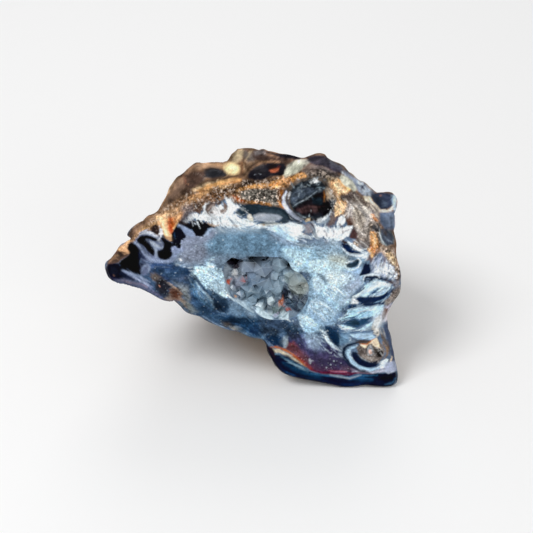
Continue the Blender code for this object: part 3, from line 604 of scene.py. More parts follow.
# Crust and rind where they are seen from the front: their tones, with lighter ridges and darker hollows partly
# painted light and shade
RIND = (
    ("8A6E56", 0, 2, 0, 1, (106.1, 268.6, 108.2, 260.4, 118.4, 248.2, 127.6, 240, 130.6, 229.8, 138.8, 221.6,
        155.1, 214, 165.3, 197.1, 171.4, 188, 180.6, 174.7, 189.8, 166.5, 198, 160.4, 211.2, 160.4, 221.4,
        163, 229.1, 160.4, 231.6, 152.2, 236.7, 148.2, 260, 147.7, 260, 205.3, 242.9, 204.3, 233.7, 203.3,
        230.6, 199.2, 225, 198.7, 220.4, 201.7, 212.2, 203.3, 205.1, 205.3, 202, 210.4, 191.8, 211.9, 184.7,
        213, 179.6, 220.6, 175.5, 226.7, 171.4, 238, 170.4, 241, 165.3, 239, 161.2, 231.8, 158.2, 238, 143.9,
        233.9, 138.3, 236.9, 135.2, 242, 130.6, 243.1, 128.1, 246.1, 129.6, 253.3, 120.4, 260.4, 113.3, 263.5,
        106.1, 271.6)),
    ("8A6E5A", 0, 2, 0, 1, (240, 147.7, 260.4, 148.7, 289, 153.3, 305.3, 155.8, 319.6, 153.8, 329.8, 156.3,
        342, 164.5, 355.3, 177.8, 365.5, 181.8, 372.7, 191, 382.9, 192, 397.1, 192.6, 400, 201.2, 400, 275.7,
        397.1, 282.9, 393.1, 268.6, 385.9, 259.4, 380.8, 251.2, 371.6, 258.4, 366.5, 248.2, 354.3, 249.2,
        353.3, 242, 358.4, 238, 353.3, 227.8, 354.3, 225.7, 348.2, 224.7, 346.1, 217.6, 342, 215.5, 334.9,
        217, 333.9, 205.3, 311.4, 219.6, 289, 211.4, 288, 210.4, 274.7, 207.3, 240, 204.3)),
    ("A98A6C", 0, 2.2, 0, 0.9, (171.4, 190, 177.6, 182.9, 184.7, 175.7, 190.8, 168.6, 198, 164, 202, 165.5,
        198, 169.6, 190.8, 173.7, 186.7, 179.8, 181.6, 184.9, 175.5, 191, 170.4, 195.1)),
    ("5E4640", 0, 2, 0, 0.95, (186.7, 173.7, 191.8, 170.6, 202, 171.6, 205.1, 175.7, 203.1, 180.8, 196.9,
        184.9, 191.8, 188.5, 186.7, 185.9, 185.7, 180.8)),
    ("82665A", 0, 2.2, 0, 0.8, (190.8, 173.7, 198, 172.7, 202, 175.7, 198, 178.8, 192.3, 180.8)),
    ("2A2328", 0, 1.8, 0, 0.95, (185.2, 181.8, 189.8, 179.3, 194.9, 180.8, 196.4, 184.9, 192.3, 188.5, 186.7,
        186.9)),
    ("9A8078", 0, 1, 0, 0.8, (187.2, 183.4, 189.3, 183.4, 189.8, 184.9, 187.8, 185.4)),
    ("8D8078", 2.4, 1.6, 0, 0.8, (194.9, 184.9, 202, 180.3, 207.1, 176.2)),
    ("B08D6C", 0, 2.2, 0, 0.85, (204.1, 164.5, 211.2, 161.9, 218.4, 163.5, 223.5, 166, 220.4, 168.6, 212.2,
        166.7, 206.1, 167.6, 202, 168.6)),
    ("3A3C47", 0, 2.2, 0, 0.95, (205.1, 169.6, 211.2, 167.3, 218.4, 168.6, 224.5, 172.1, 227.6, 175.2, 220.4,
        176.9, 212.2, 178, 207.1, 177.2, 204.1, 173.7)),
    ("E2C498", 0, 2.6, 0, 0.95, (224, 165, 229.6, 163, 235.7, 165, 239.8, 169.1, 237.8, 173.2, 232.7, 174.7,
        227.6, 171.6, 224.5, 168.6)),
    ("B9A284", 0, 2, 0, 0.9, (231.6, 156.3, 234.7, 150.2, 242.9, 149.7, 243.9, 155.3, 241.8, 159.4, 236.7,
        163, 230.6, 163)),
    ("7B5B41", 0, 2.4, 0, 0.85, (239.8, 161.9, 244.9, 160.4, 248, 165.5, 243.9, 173.7, 239.8, 174.7, 241.8,
        168.6)),
    ("655A5E", 0, 1.8, 0, 0.8, (242.9, 149.7, 246.9, 149.7, 246.9, 156.3, 243.4, 156.3)),
    ("AA9278", 2.4, 1.4, 0, 0.85, (245.4, 159.4, 248.5, 154.8, 252, 149.7)),
    ("54443F", 0, 2.4, 0, 0.85, (177.6, 183.9, 184.7, 182.9, 186.7, 188, 191.8, 189, 189.8, 193.1, 183.7,
        195.1, 177.6, 197.1, 171.4, 201.2, 168.4, 203.3, 169.4, 198.2, 173.5, 193.1, 176.5, 189)),
    ("9C8068", 0, 2.4, 0, 0.7, (165.3, 203.3, 171.4, 197.1, 179.6, 193.1, 184.7, 191, 181.6, 195.1, 173.5,
        201.2, 166.3, 209.4)),
    ("BCA788", 0, 1.6, 0, 0.85, (191.8, 189, 198, 184.4, 206.1, 181.3, 213.3, 180.3, 218.4, 180.8, 215.3,
        183.9, 207.1, 185.9, 200, 190, 194.9, 192.6)),
    ("4A3E40", 0, 2.2, 0, 0.95, (248.2, 158.4, 252.2, 153.3, 260.4, 151.2, 266.5, 155.3, 273.7, 157.3, 270.6,
        159.4, 260.4, 160.4, 250.2, 161.4)),
    ("A39C9E", 0, 1.6, 0, 0.8, (255.3, 151.2, 264.5, 150.2, 266, 154.8, 258.4, 153.3)),
    ("5E4A42", 0, 2.4, 0, 0.9, (270.6, 159.4, 280.8, 157.6, 291, 159.4, 289, 164.5, 283.9, 166.5, 280.8,
        164.5, 274.7, 162.4)),
    ("34303A", 0, 2, 0, 0.95, (273.7, 154.8, 289, 154.3, 297.1, 156.3, 305.3, 157.9, 297.1, 159.9, 291, 159.4,
        280.8, 158.4)),
    ("0D0C14", 0, 1, 0, 0.9, (288, 155.3, 293.1, 155.3, 292, 157.9, 289, 157.3)),
    ("93785E", 0, 2, 0, 0.9, (248.2, 161.9, 260.4, 159.9, 273.7, 161.4, 270.6, 163, 260.4, 164.5, 253.3,
        167.6, 249.2, 171.6, 246.1, 174.7, 244.1, 176.7, 245.1, 170.6, 247.1, 165.5)),
    ("5F4C3E", 0, 2, 0, 0.8, (247.1, 165, 253.3, 162.7, 260.4, 162.2, 255.3, 165.5, 250.2, 169.6, 246.1,
        172.7)),
    ("2F313D", 0, 1.4, 0, 1, (247.1, 175.7, 250.2, 171.6, 255.3, 166.5, 261.4, 163.5, 270.6, 162.2, 276.7,
        163.5, 281.8, 165.5, 283.9, 167.6, 284.9, 170.6, 280.8, 175.7, 274.7, 175.5, 270.6, 174.2, 266.5, 178,
        259.4, 180.3, 255.3, 178.8, 253.3, 178, 249.2, 179)),
    ("4A4A58", 0, 1.6, 0, 0.8, (251.2, 173.2, 260.4, 170.6, 262.4, 174.7, 256.3, 177.8, 250.2, 175.7)),
    ("0E0C14", 0, 1.2, 0, 1, (270.6, 172.7, 278.8, 165.5, 283.9, 166.5, 284.9, 169.6, 280.8, 174.9, 273.7,
        175.3)),
    ("CC7C5E", 0, 0.8, 0, 1, (269.6, 169.9, 275.7, 169.4, 278.6, 164.5, 279.6, 168.6, 277.8, 171.8, 273.7,
        172.4, 270.6, 171.8)),
    ("BDB9AC", 0, 1.2, 0, 1, (283.4, 176.2, 283.9, 170.6, 288, 164.5, 294.1, 160.7, 301.2, 159, 307.3, 159.7,
        309.6, 162.4, 305.3, 166.7, 299.2, 170.9, 294.1, 175, 288, 176.5)),
    ("D6D2C6", 0, 2, 0, 0.8, (297.1, 160.2, 305.3, 160.2, 307.3, 162.2, 301.2, 166.3, 295.1, 165.5)),
    ("96907F", 0, 1.4, 0, 0.7, (283.9, 175.2, 295.1, 170.8, 297.1, 172.9, 289, 176.5)),
    ("3A3540", 0, 2, 0, 1, (306.3, 156.8, 313.5, 155.3, 320.6, 154.8, 327.8, 156.8, 331.8, 160.9, 342, 167.3,
        341.5, 172.7, 334.9, 171.8, 329.8, 169.6, 321.6, 166.7, 315.5, 165.5, 310.4, 163.5, 308.4, 160.4)),
    ("7A7A8C", 3, 2, 0, 0.7, (329.8, 161.9, 331.8, 165.5, 334.4, 170.6)),
    ("5E4C4E", 0, 1.8, 0, 0.7, (310.4, 160.4, 315.5, 158.2, 320.6, 160.4, 315.5, 161.9)),
    ("8E8484", 0, 1.6, 0, 0.9, (309.4, 165.5, 317.6, 165.5, 325.7, 167.6, 331.8, 170.4, 338, 173.7, 329.8,
        173.9, 319.6, 169.8, 311.4, 169.8)),
    ("C5CAD6", 2, 1.4, 0, 0.9, (342, 170.6, 345.1, 173.7, 348.2, 178.8)),
    ("625C5A", 0, 2, 1, 0.95, (301.2, 170.6, 311.4, 169.1, 325.7, 169.8, 331.8, 172.7, 340, 173.7, 342, 176.7,
        331.8, 178.8, 328.8, 180.8, 324.7, 179.3, 311.4, 176.2, 305.3, 177.2)),
    ("35332F", 0, 2, 1, 0.9, (305.3, 175.7, 317.6, 173.7, 324.7, 178.8, 328.8, 184.9, 327.8, 189, 321.6,
        182.9, 311.4, 180.8, 305.3, 182.9, 297.1, 183.9, 293.1, 185.9, 297.1, 180.8)),
    ("B3B09C", 0, 1.6, 0, 1, (341, 179.8, 346.1, 176.5, 351.2, 178.8, 355.3, 183.9, 357.1, 189, 352.2, 190.2,
        348.2, 188, 343.1, 184.9)),
    ("9EA8BA", 0, 1.6, 0, 1, (352.2, 177.8, 362.4, 180.3, 368.6, 188, 373.7, 193.1, 371.6, 197.7, 366.5,
        197.7, 362.4, 194.6, 358.4, 191, 356.3, 185.9)),
    ("C9CFDA", 1.6, 1, 0, 0.9, (362.4, 193.6, 366.5, 184.9)),
    ("7F8AA0", 1.6, 1, 0, 0.8, (359.2, 190.5, 361.4, 181.8)),
    ("333C50", 0, 1.4, 0, 1, (371.6, 194.1, 379.8, 192.6, 393.1, 193.6, 396.6, 197.1, 394.6, 203.3, 391,
        207.6, 384.9, 209.6, 379.8, 209.6, 376.7, 205.5, 372.7, 201.2)),
    ("46556F", 0, 2, 0, 0.8, (376.7, 203.3, 382.9, 201.2, 386.9, 205.3, 380.8, 208.4)),
    ("D9B0A0", 0, 1, 0, 1, (379.6, 194.6, 381.6, 194.6, 381.8, 196.6, 379.8, 196.8)),
    ("9AB0CC", 0, 1.6, 0, 0.9, (391.5, 197.1, 396.6, 196.1, 396.6, 203.3, 393.1, 205.3)),
    ("5C7396", 0, 1.8, 0, 1, (380.8, 214, 389, 212.7, 396.6, 211.4, 396.6, 221.6, 395.6, 228.8, 386.9, 227.2,
        380.8, 221.6)),
    ("35435F", 0, 1.6, 0, 0.9, (382.9, 212.7, 390, 212.7, 388, 215.7, 382.9, 215.7)),
    ("8699B5", 0, 2, 0, 0.8, (380.8, 217.8, 386.9, 217.8, 385.9, 223.9, 381.8, 224.9)),
    ("C9D6E6", 1.8, 1, 0, 0.9, (396.3, 211.4, 397.1, 219.6, 396.1, 226.7)),
    ("DDD0BC", 1.8, 0.9, 0, 1, (363.5, 197.1, 368.6, 200.2, 373.7, 203.3, 377.8, 207.3, 380, 211.4, 386.9,
        211.4, 393.1, 207.6, 395.1, 205.3)),
    ("EAD9B8", 0, 1.2, 0, 1, (364.5, 196.8, 369.6, 196.3, 371.8, 200.2, 369.6, 202.4, 365.5, 201.4)),
    ("6F7B80", 0, 1.6, 0, 1, (380.3, 230.3, 385.9, 227.8, 392, 231.8, 394.6, 238, 393.1, 243.6, 386.9, 245.6,
        381.8, 241.5, 379.8, 235.9)),
    ("A2A8A6", 0, 1.6, 0, 0.8, (382.9, 231.8, 386.9, 232.9, 388, 236.9, 383.9, 236.4)),
    ("3C4C5C", 1.8, 1, 0, 0.9, (382, 238, 386.4, 243.3, 393.1, 243.6)),
    ("7A6455", 2.4, 1.2, 0, 0.8, (381.8, 229, 386.9, 228.8)),
    ("BE9C7A", 0, 2, 1, 0.9, (157.1, 216.5, 165.3, 210.9, 175.5, 205.8, 184.7, 199.7, 191.8, 197.7, 195.9,
        197.1, 187.8, 204.3, 179.6, 209.4, 173.5, 215.5, 165.3, 218.1, 158.2, 219.1)),
    ("D2A878", 0, 1.6, 1, 0.95, (215.3, 182.9, 222.4, 179.3, 230.6, 177.8, 239.8, 178, 241.3, 180.8, 232.7,
        182.9, 225.5, 183.4, 218.4, 184.9, 213.3, 188, 207.1, 192, 200, 195.1, 195.9, 195.1, 202, 190)),
    ("E0A468", 2.6, 1.4, 0.6, 0.9, (225.5, 184.1, 232.7, 182, 240.8, 180)),
    ("5A4638", 0, 2, 1.5, 0.85, (216.3, 189, 227.6, 185.4, 242.9, 183.9, 246.9, 185.9, 242.9, 191, 232.7,
        193.1, 222.4, 192.6, 217.3, 191.5)),
    ("6E5442", 0, 2, 1.5, 0.7, (191.8, 201.2, 202, 197.1, 212.2, 193.1, 222.4, 195.1, 218.4, 200.2, 208.2,
        202.2, 200, 205.3, 191.8, 210.4, 183.7, 211.4)),
    ("C9A070", 0, 1.6, 1.5, 0.8, (236.7, 190, 244.9, 188.8, 247.4, 192, 242.9, 194.6, 237.8, 193.1)),
    ("B5683A", 0, 1.4, 1, 0.9, (233.7, 195.6, 238.8, 197.3, 243.9, 200.4, 245.9, 202.4, 240.8, 202.4, 235.7,
        200.4, 232.7, 197.7)),
    ("D9B98A", 0, 1.4, 1, 0.9, (250, 198.4, 256.1, 198.2, 256.1, 202, 251, 202.7)),
    ("77736C", 0, 1.6, 1, 1, (240, 190, 253.3, 188, 268.6, 188.5, 277.8, 189, 278.8, 197.1, 276.7, 201.2,
        278.8, 205.3, 270.6, 206.3, 255.3, 204.3, 240, 203.5)),
    ("C08A50", 0, 1.4, 1.2, 0.9, (240, 197.7, 246.1, 199.4, 255.3, 200.4, 262.4, 201.2, 270.6, 203.5, 270.6,
        206.3, 255.3, 204.5, 246.1, 203, 240, 202.4)),
    ("9A4A22", 0, 1, 0.6, 0.9, (240, 198.4, 245.1, 200.2, 245.1, 202.4, 240, 202.8)),
    ("8A5A2E", 0, 1.5, 1, 0.9, (277.8, 190.5, 283.9, 187.4, 283.4, 195.1, 280.8, 197.1, 281.8, 201.2, 288,
        207.3, 288.2, 210.6, 280.8, 207.3, 278.8, 201.2, 276.7, 195.6)),
    ("DDA062", 1.8, 1, 0.5, 0.9, (278, 201.2, 280.8, 205.3, 287.1, 209.6)),
    ("6E5A48", 0, 1.6, 1, 0.9, (240, 180.8, 248.2, 178.8, 255.3, 179.8, 262.4, 180.8, 270.6, 178.3, 280.8,
        177.6, 282.9, 179, 273.7, 181, 265.5, 183.4, 252.2, 184.9, 240, 186.9)),
    ("40352F", 0, 1.5, 1, 0.8, (242, 181.3, 250.2, 179.3, 258.4, 182, 252.2, 184.9, 244.1, 184.9)),
    ("DBA568", 0, 1.2, 1.2, 1, (240, 188, 246.1, 185.9, 255.3, 184.9, 265.5, 183.4, 273.7, 180.8, 282.9,
        178.8, 293.1, 175.7, 301.2, 172.4, 306.8, 174.2, 305.8, 179, 297.1, 180, 291, 183.1, 284.9, 186.1,
        278.8, 188.2, 270.6, 189.2, 268.6, 187.1, 255.3, 188.2, 240, 190)),
    ("E29A5A", 2.4, 1.2, 0.6, 0.9, (269.1, 184.9, 275.7, 183.9, 282.9, 182.3)),
    ("ECB070", 1.8, 1, 0.6, 0.9, (295.1, 178, 303.3, 175.9)),
    ("ECC892", 0, 1.2, 1.5, 1, (330.3, 182.9, 333.9, 180.8, 338, 179.8, 343.1, 180.8, 347.1, 184.9, 351.2,
        190, 348.2, 192.2, 343.1, 193.3, 340, 197.1, 342, 201.2, 346.1, 203.3, 346.1, 209.4, 340, 213.5,
        334.9, 217.2, 334.4, 211.4, 332.7, 206.3, 335.4, 203.3, 335.4, 197.1, 331.8, 190)),
    ("A0703A", 0, 1.4, 1, 0.7, (332.3, 191, 337.4, 194.1, 337.4, 201.2, 335.4, 203.5)),
    ("857A70", 0, 1.6, 1.5, 1, (342, 192.2, 351.2, 190, 357.3, 192.9, 362.4, 198, 367.6, 202, 374.7, 206.3,
        379, 213.5, 380, 221.6, 380, 228.8, 382, 236.9, 381, 242, 375.7, 242, 371.1, 238, 371.1, 243.1, 365.5,
        248.2, 357.3, 249.2, 352.2, 243.1, 356.3, 239.2, 358.4, 234.9, 354.3, 226.7, 348.2, 224.7, 348.2,
        217.6, 342, 215.5, 336.9, 215.7, 345.1, 210.4, 346.1, 204.3, 341, 200.2)),
    ("5A4A3E", 0, 1.6, 1.5, 0.85, (343.1, 194.3, 351.2, 194.3, 357.3, 203.3, 362.4, 209.4, 360.4, 213.7,
        355.3, 209.6, 350.2, 203.5, 344.1, 199.4)),
    ("A8A097", 0, 1.8, 2, 0.7, (352.2, 211.4, 360.4, 215.5, 368.6, 219.6, 370.6, 227.8, 364.5, 231.8, 358.4,
        226.7, 353.3, 219.6)),
    ("D9A56B", 0, 1.2, 1, 0.9, (370.6, 214.7, 373.7, 213.5, 374.9, 218.6, 376.9, 221.6, 372.7, 221.8, 369.6,
        219.6)),
    ("3F3A3C", 0, 1.4, 1, 0.9, (372.7, 226.7, 379, 224.9, 381, 229.8, 375.7, 233.9, 371.6, 231)),
    ("DEB078", 0, 1.2, 1.5, 1, (371.1, 231.8, 375.7, 232.9, 376.9, 238, 378, 243.1, 375.9, 247.1, 374.9,
        252.2, 371.6, 258.6, 369.4, 253.5, 367.3, 250.4, 366.5, 248.2, 371.6, 248.2, 372.7, 243.3, 369.6,
        239.2)),
    ("B8652E", 0, 1, 1, 0.9, (369.6, 245.3, 374.7, 244.3, 375.9, 250.2, 373.7, 253.5, 371.6, 249.4)),
    ("9A8A7C", 0, 1.5, 1.5, 1, (379.8, 246.1, 385.9, 245.1, 393.1, 248.2, 395.3, 255.3, 397.7, 262.4, 400,
        272.7, 400, 277.8, 397.7, 275.7, 393.1, 267.6, 386.9, 262.4, 384.9, 255.5, 380.8, 251.4)),
    ("D2B893", 0, 1.3, 1.2, 0.85, (385.9, 252.4, 391, 251.2, 395.3, 258.4, 397.3, 266.5, 393.1, 265.7, 388,
        260.4)),
    ("8C8782", 0, 1.2, 1, 1, (391, 293.1, 400, 284.9, 400.7, 295.1, 395.6, 301.7, 389, 305.8, 384.4, 305.3,
        383.9, 301.2, 388, 298.2)),
    ("9A7B60", 0, 1.5, 0.5, 1, (129.1, 236.4, 132.1, 228.8, 137.8, 221.6, 144.9, 218.6, 155.1, 215, 161.2,
        215.5, 165.3, 217.6, 161.2, 220.6, 157.1, 221.6, 153.1, 224.7, 148, 228.8, 140.8, 232.3, 137.2, 235.4,
        135.2, 240.5, 130.6, 242.2, 128.6, 239.5)),
    ("483934", 0, 1.6, 0.5, 0.95, (129.1, 236.4, 132.7, 229.3, 137.8, 223.7, 140.8, 221.1, 143.9, 221.6,
        140.8, 225.7, 135.7, 229.8, 133.7, 234.9, 131.6, 239, 129.1, 239.5)),
    ("B8966F", 0, 1.6, 0.5, 0.85, (138.8, 226.7, 144.9, 223.7, 153.1, 221.4, 157.1, 218.4, 163.3, 218.6,
        157.1, 224.7, 149, 227.8, 142.9, 230.8, 137.8, 232)),
    ("EFC08C", 0, 1.2, 0.5, 1, (116.3, 251.7, 121.9, 245.1, 128.6, 239.5, 129.8, 243.6, 127.3, 246.1, 128.4,
        250.2, 129.8, 253.5, 124.5, 252, 120.4, 252.4)),
    ("6B5048", 0, 1.5, 0.5, 1, (107.1, 264, 113.3, 255.3, 116.8, 250.7, 123.5, 251.7, 129.8, 253.8, 125.5,
        257.3, 120.4, 260.4, 119.4, 263, 115.3, 263.3, 110.2, 264)),
    ("B99080", 1.6, 0.9, 0, 0.85, (109.7, 261.9, 114.8, 257.3, 117.6, 260.4)),
    ("8A6A5A", 1.4, 0.9, 0, 0.8, (118.4, 255.3, 123.5, 254.3, 127.6, 255.8)),
    ("2E2228", 0, 1, 0.5, 1, (127.6, 243.3, 130.6, 242, 133.7, 243.1, 134.9, 245.1, 130.6, 246.3, 127.8,
        247.1)),
    ("4A3A32", 0, 1.5, 1, 0.7, (183, 213.5, 188.5, 210.5, 194.5, 204, 202, 202.5, 199.5, 208, 192, 210,
        186.5, 213.5)),
    ("C49A6E", 0, 2, 1, 0.6, (188.5, 197, 195.5, 191.5, 206.5, 188, 210, 191.5, 202, 198, 193, 203.5)),
    ("8A6444", 0, 2, 1, 0.6, (206.5, 198, 215.5, 194, 224.5, 195, 226.5, 198, 219.5, 200.5, 210, 202.5)),
    ("E6AE78", 0, 1.6, 0.6, 0.95, (330, 183.5, 334.5, 179.5, 341.5, 179, 345.5, 185.5, 350.5, 190.5,
        346.5, 195, 342.5, 196, 339.5, 193.5, 337.5, 199, 335.5, 195, 332.5, 189)),
    ("E9B988", 0, 1.6, 0.6, 0.95, (336.5, 199.5, 346.5, 199.5, 346.5, 206, 343, 212.5, 335, 216.5, 335,
        206)),
    ("6A6060", 0, 2, 1.2, 0.8, (339.5, 196, 346.5, 195, 350.5, 191.5, 357, 192.5, 364.5, 201, 371, 202.5,
        364.5, 206, 359.5, 198.5, 354.5, 199.5, 354.5, 209, 352.5, 212.5, 350, 206, 346.5, 201, 342.5,
        201)),
    ("A59E9E", 0, 2.5, 1.2, 0.9, (346.5, 201, 354.5, 201, 360.5, 206, 371, 206, 378.5, 212.5, 379.5, 222,
        371, 222, 363, 227, 356.5, 233.5, 353, 224, 348, 215.5)),
    ("5E5654", 0, 1.6, 1, 0.8, (354.5, 210.5, 358, 206, 360.5, 204, 359.5, 212.5, 356.5, 219)),
    ("E8E2DE", 0, 1.6, 1, 0.8, (361.5, 207.5, 368, 209, 368, 217.5, 363, 220.5, 360.5, 214)),
    ("E29A5C", 0, 1, 0.5, 0.95, (370.5, 213, 374.5, 214, 378.5, 220.5, 377.5, 223, 372.5, 219, 370,
        216.5)),
    ("E2A268", 0, 1.2, 0.6, 0.95, (370.5, 232, 374.5, 231, 377.5, 238.5, 378.5, 246.5, 375, 249.5, 371,
        245, 369.5, 238.5)),
    ("5C5654", 0, 1.4, 0.8, 0.85, (371, 223, 377.5, 224, 378.5, 229.5, 374.5, 231, 371, 228.5)),
    ("8C8480", 0, 2.5, 1, 0.7, (358, 232, 368, 230.5, 370.5, 237, 368.5, 246.5, 360.5, 242)),
    ("C9C2BA", 0, 2, 1, 0.8, (350, 200, 362, 200, 364, 214, 352, 216)),
    ("D2BFA0", 0, 2, 1, 0.8, (326, 176, 338, 178, 340, 190, 328, 188)),
    ("E8C090", 0, 2, 1, 0.7, (218, 178, 230, 174, 232, 186, 220, 190)),
    ("E0AE80", 0, 2, 1, 0.7, (278, 176, 290, 174, 292, 184, 280, 188)),
    ("4C3C38", 0, 3, 1.5, 0.6, (186, 174.5, 193.5, 169, 204, 169.5, 207, 174.5, 200, 181, 192.5, 187,
        186.5, 183.5)),
    ("3A3230", 0, 2, 1.5, 0.6, (204, 169, 212.5, 167, 224, 170, 230.5, 174, 224, 176.5, 211, 177, 205.5,
        175.5)),
    ("5A4A42", 0, 2.5, 1, 0.6, (166.5, 202, 172.5, 190, 178, 185, 179, 193.5, 172.5, 201.5, 169, 204.5)),
    ("9C7A68", 1.4, 1.2, 0.6, 0.5, (174.5, 183.5, 182, 174.5, 191.5, 166.5, 200, 162.5)),
    ("F2D8AC", 0, 2, 1, 0.6, (225.5, 166, 232, 163.5, 237.5, 166.5, 237, 171.5, 230.5, 173, 226.5, 170)),
    ("2C2424", 0, 1, 0.6, 0.8, (268.5, 166, 274.5, 164, 275, 168, 271.5, 169, 269, 169.5)),
    ("2A2426", 0, 1, 0.6, 0.8, (277.5, 170.5, 283, 169, 284, 174, 279, 176, 275, 174)),
    ("8C7A6C", 1.4, 1, 0.5, 0.6, (251.5, 154.5, 248, 161, 245, 167.5)),
    ("6E5C54", 0, 1.5, 1, 0.6, (243.5, 152, 251.5, 153, 248, 158, 243.5, 157)),
    ("3E3634", 1.4, 1, 0.5, 0.6, (253, 159.5, 266, 160, 279, 163.5, 288.5, 164)),
)
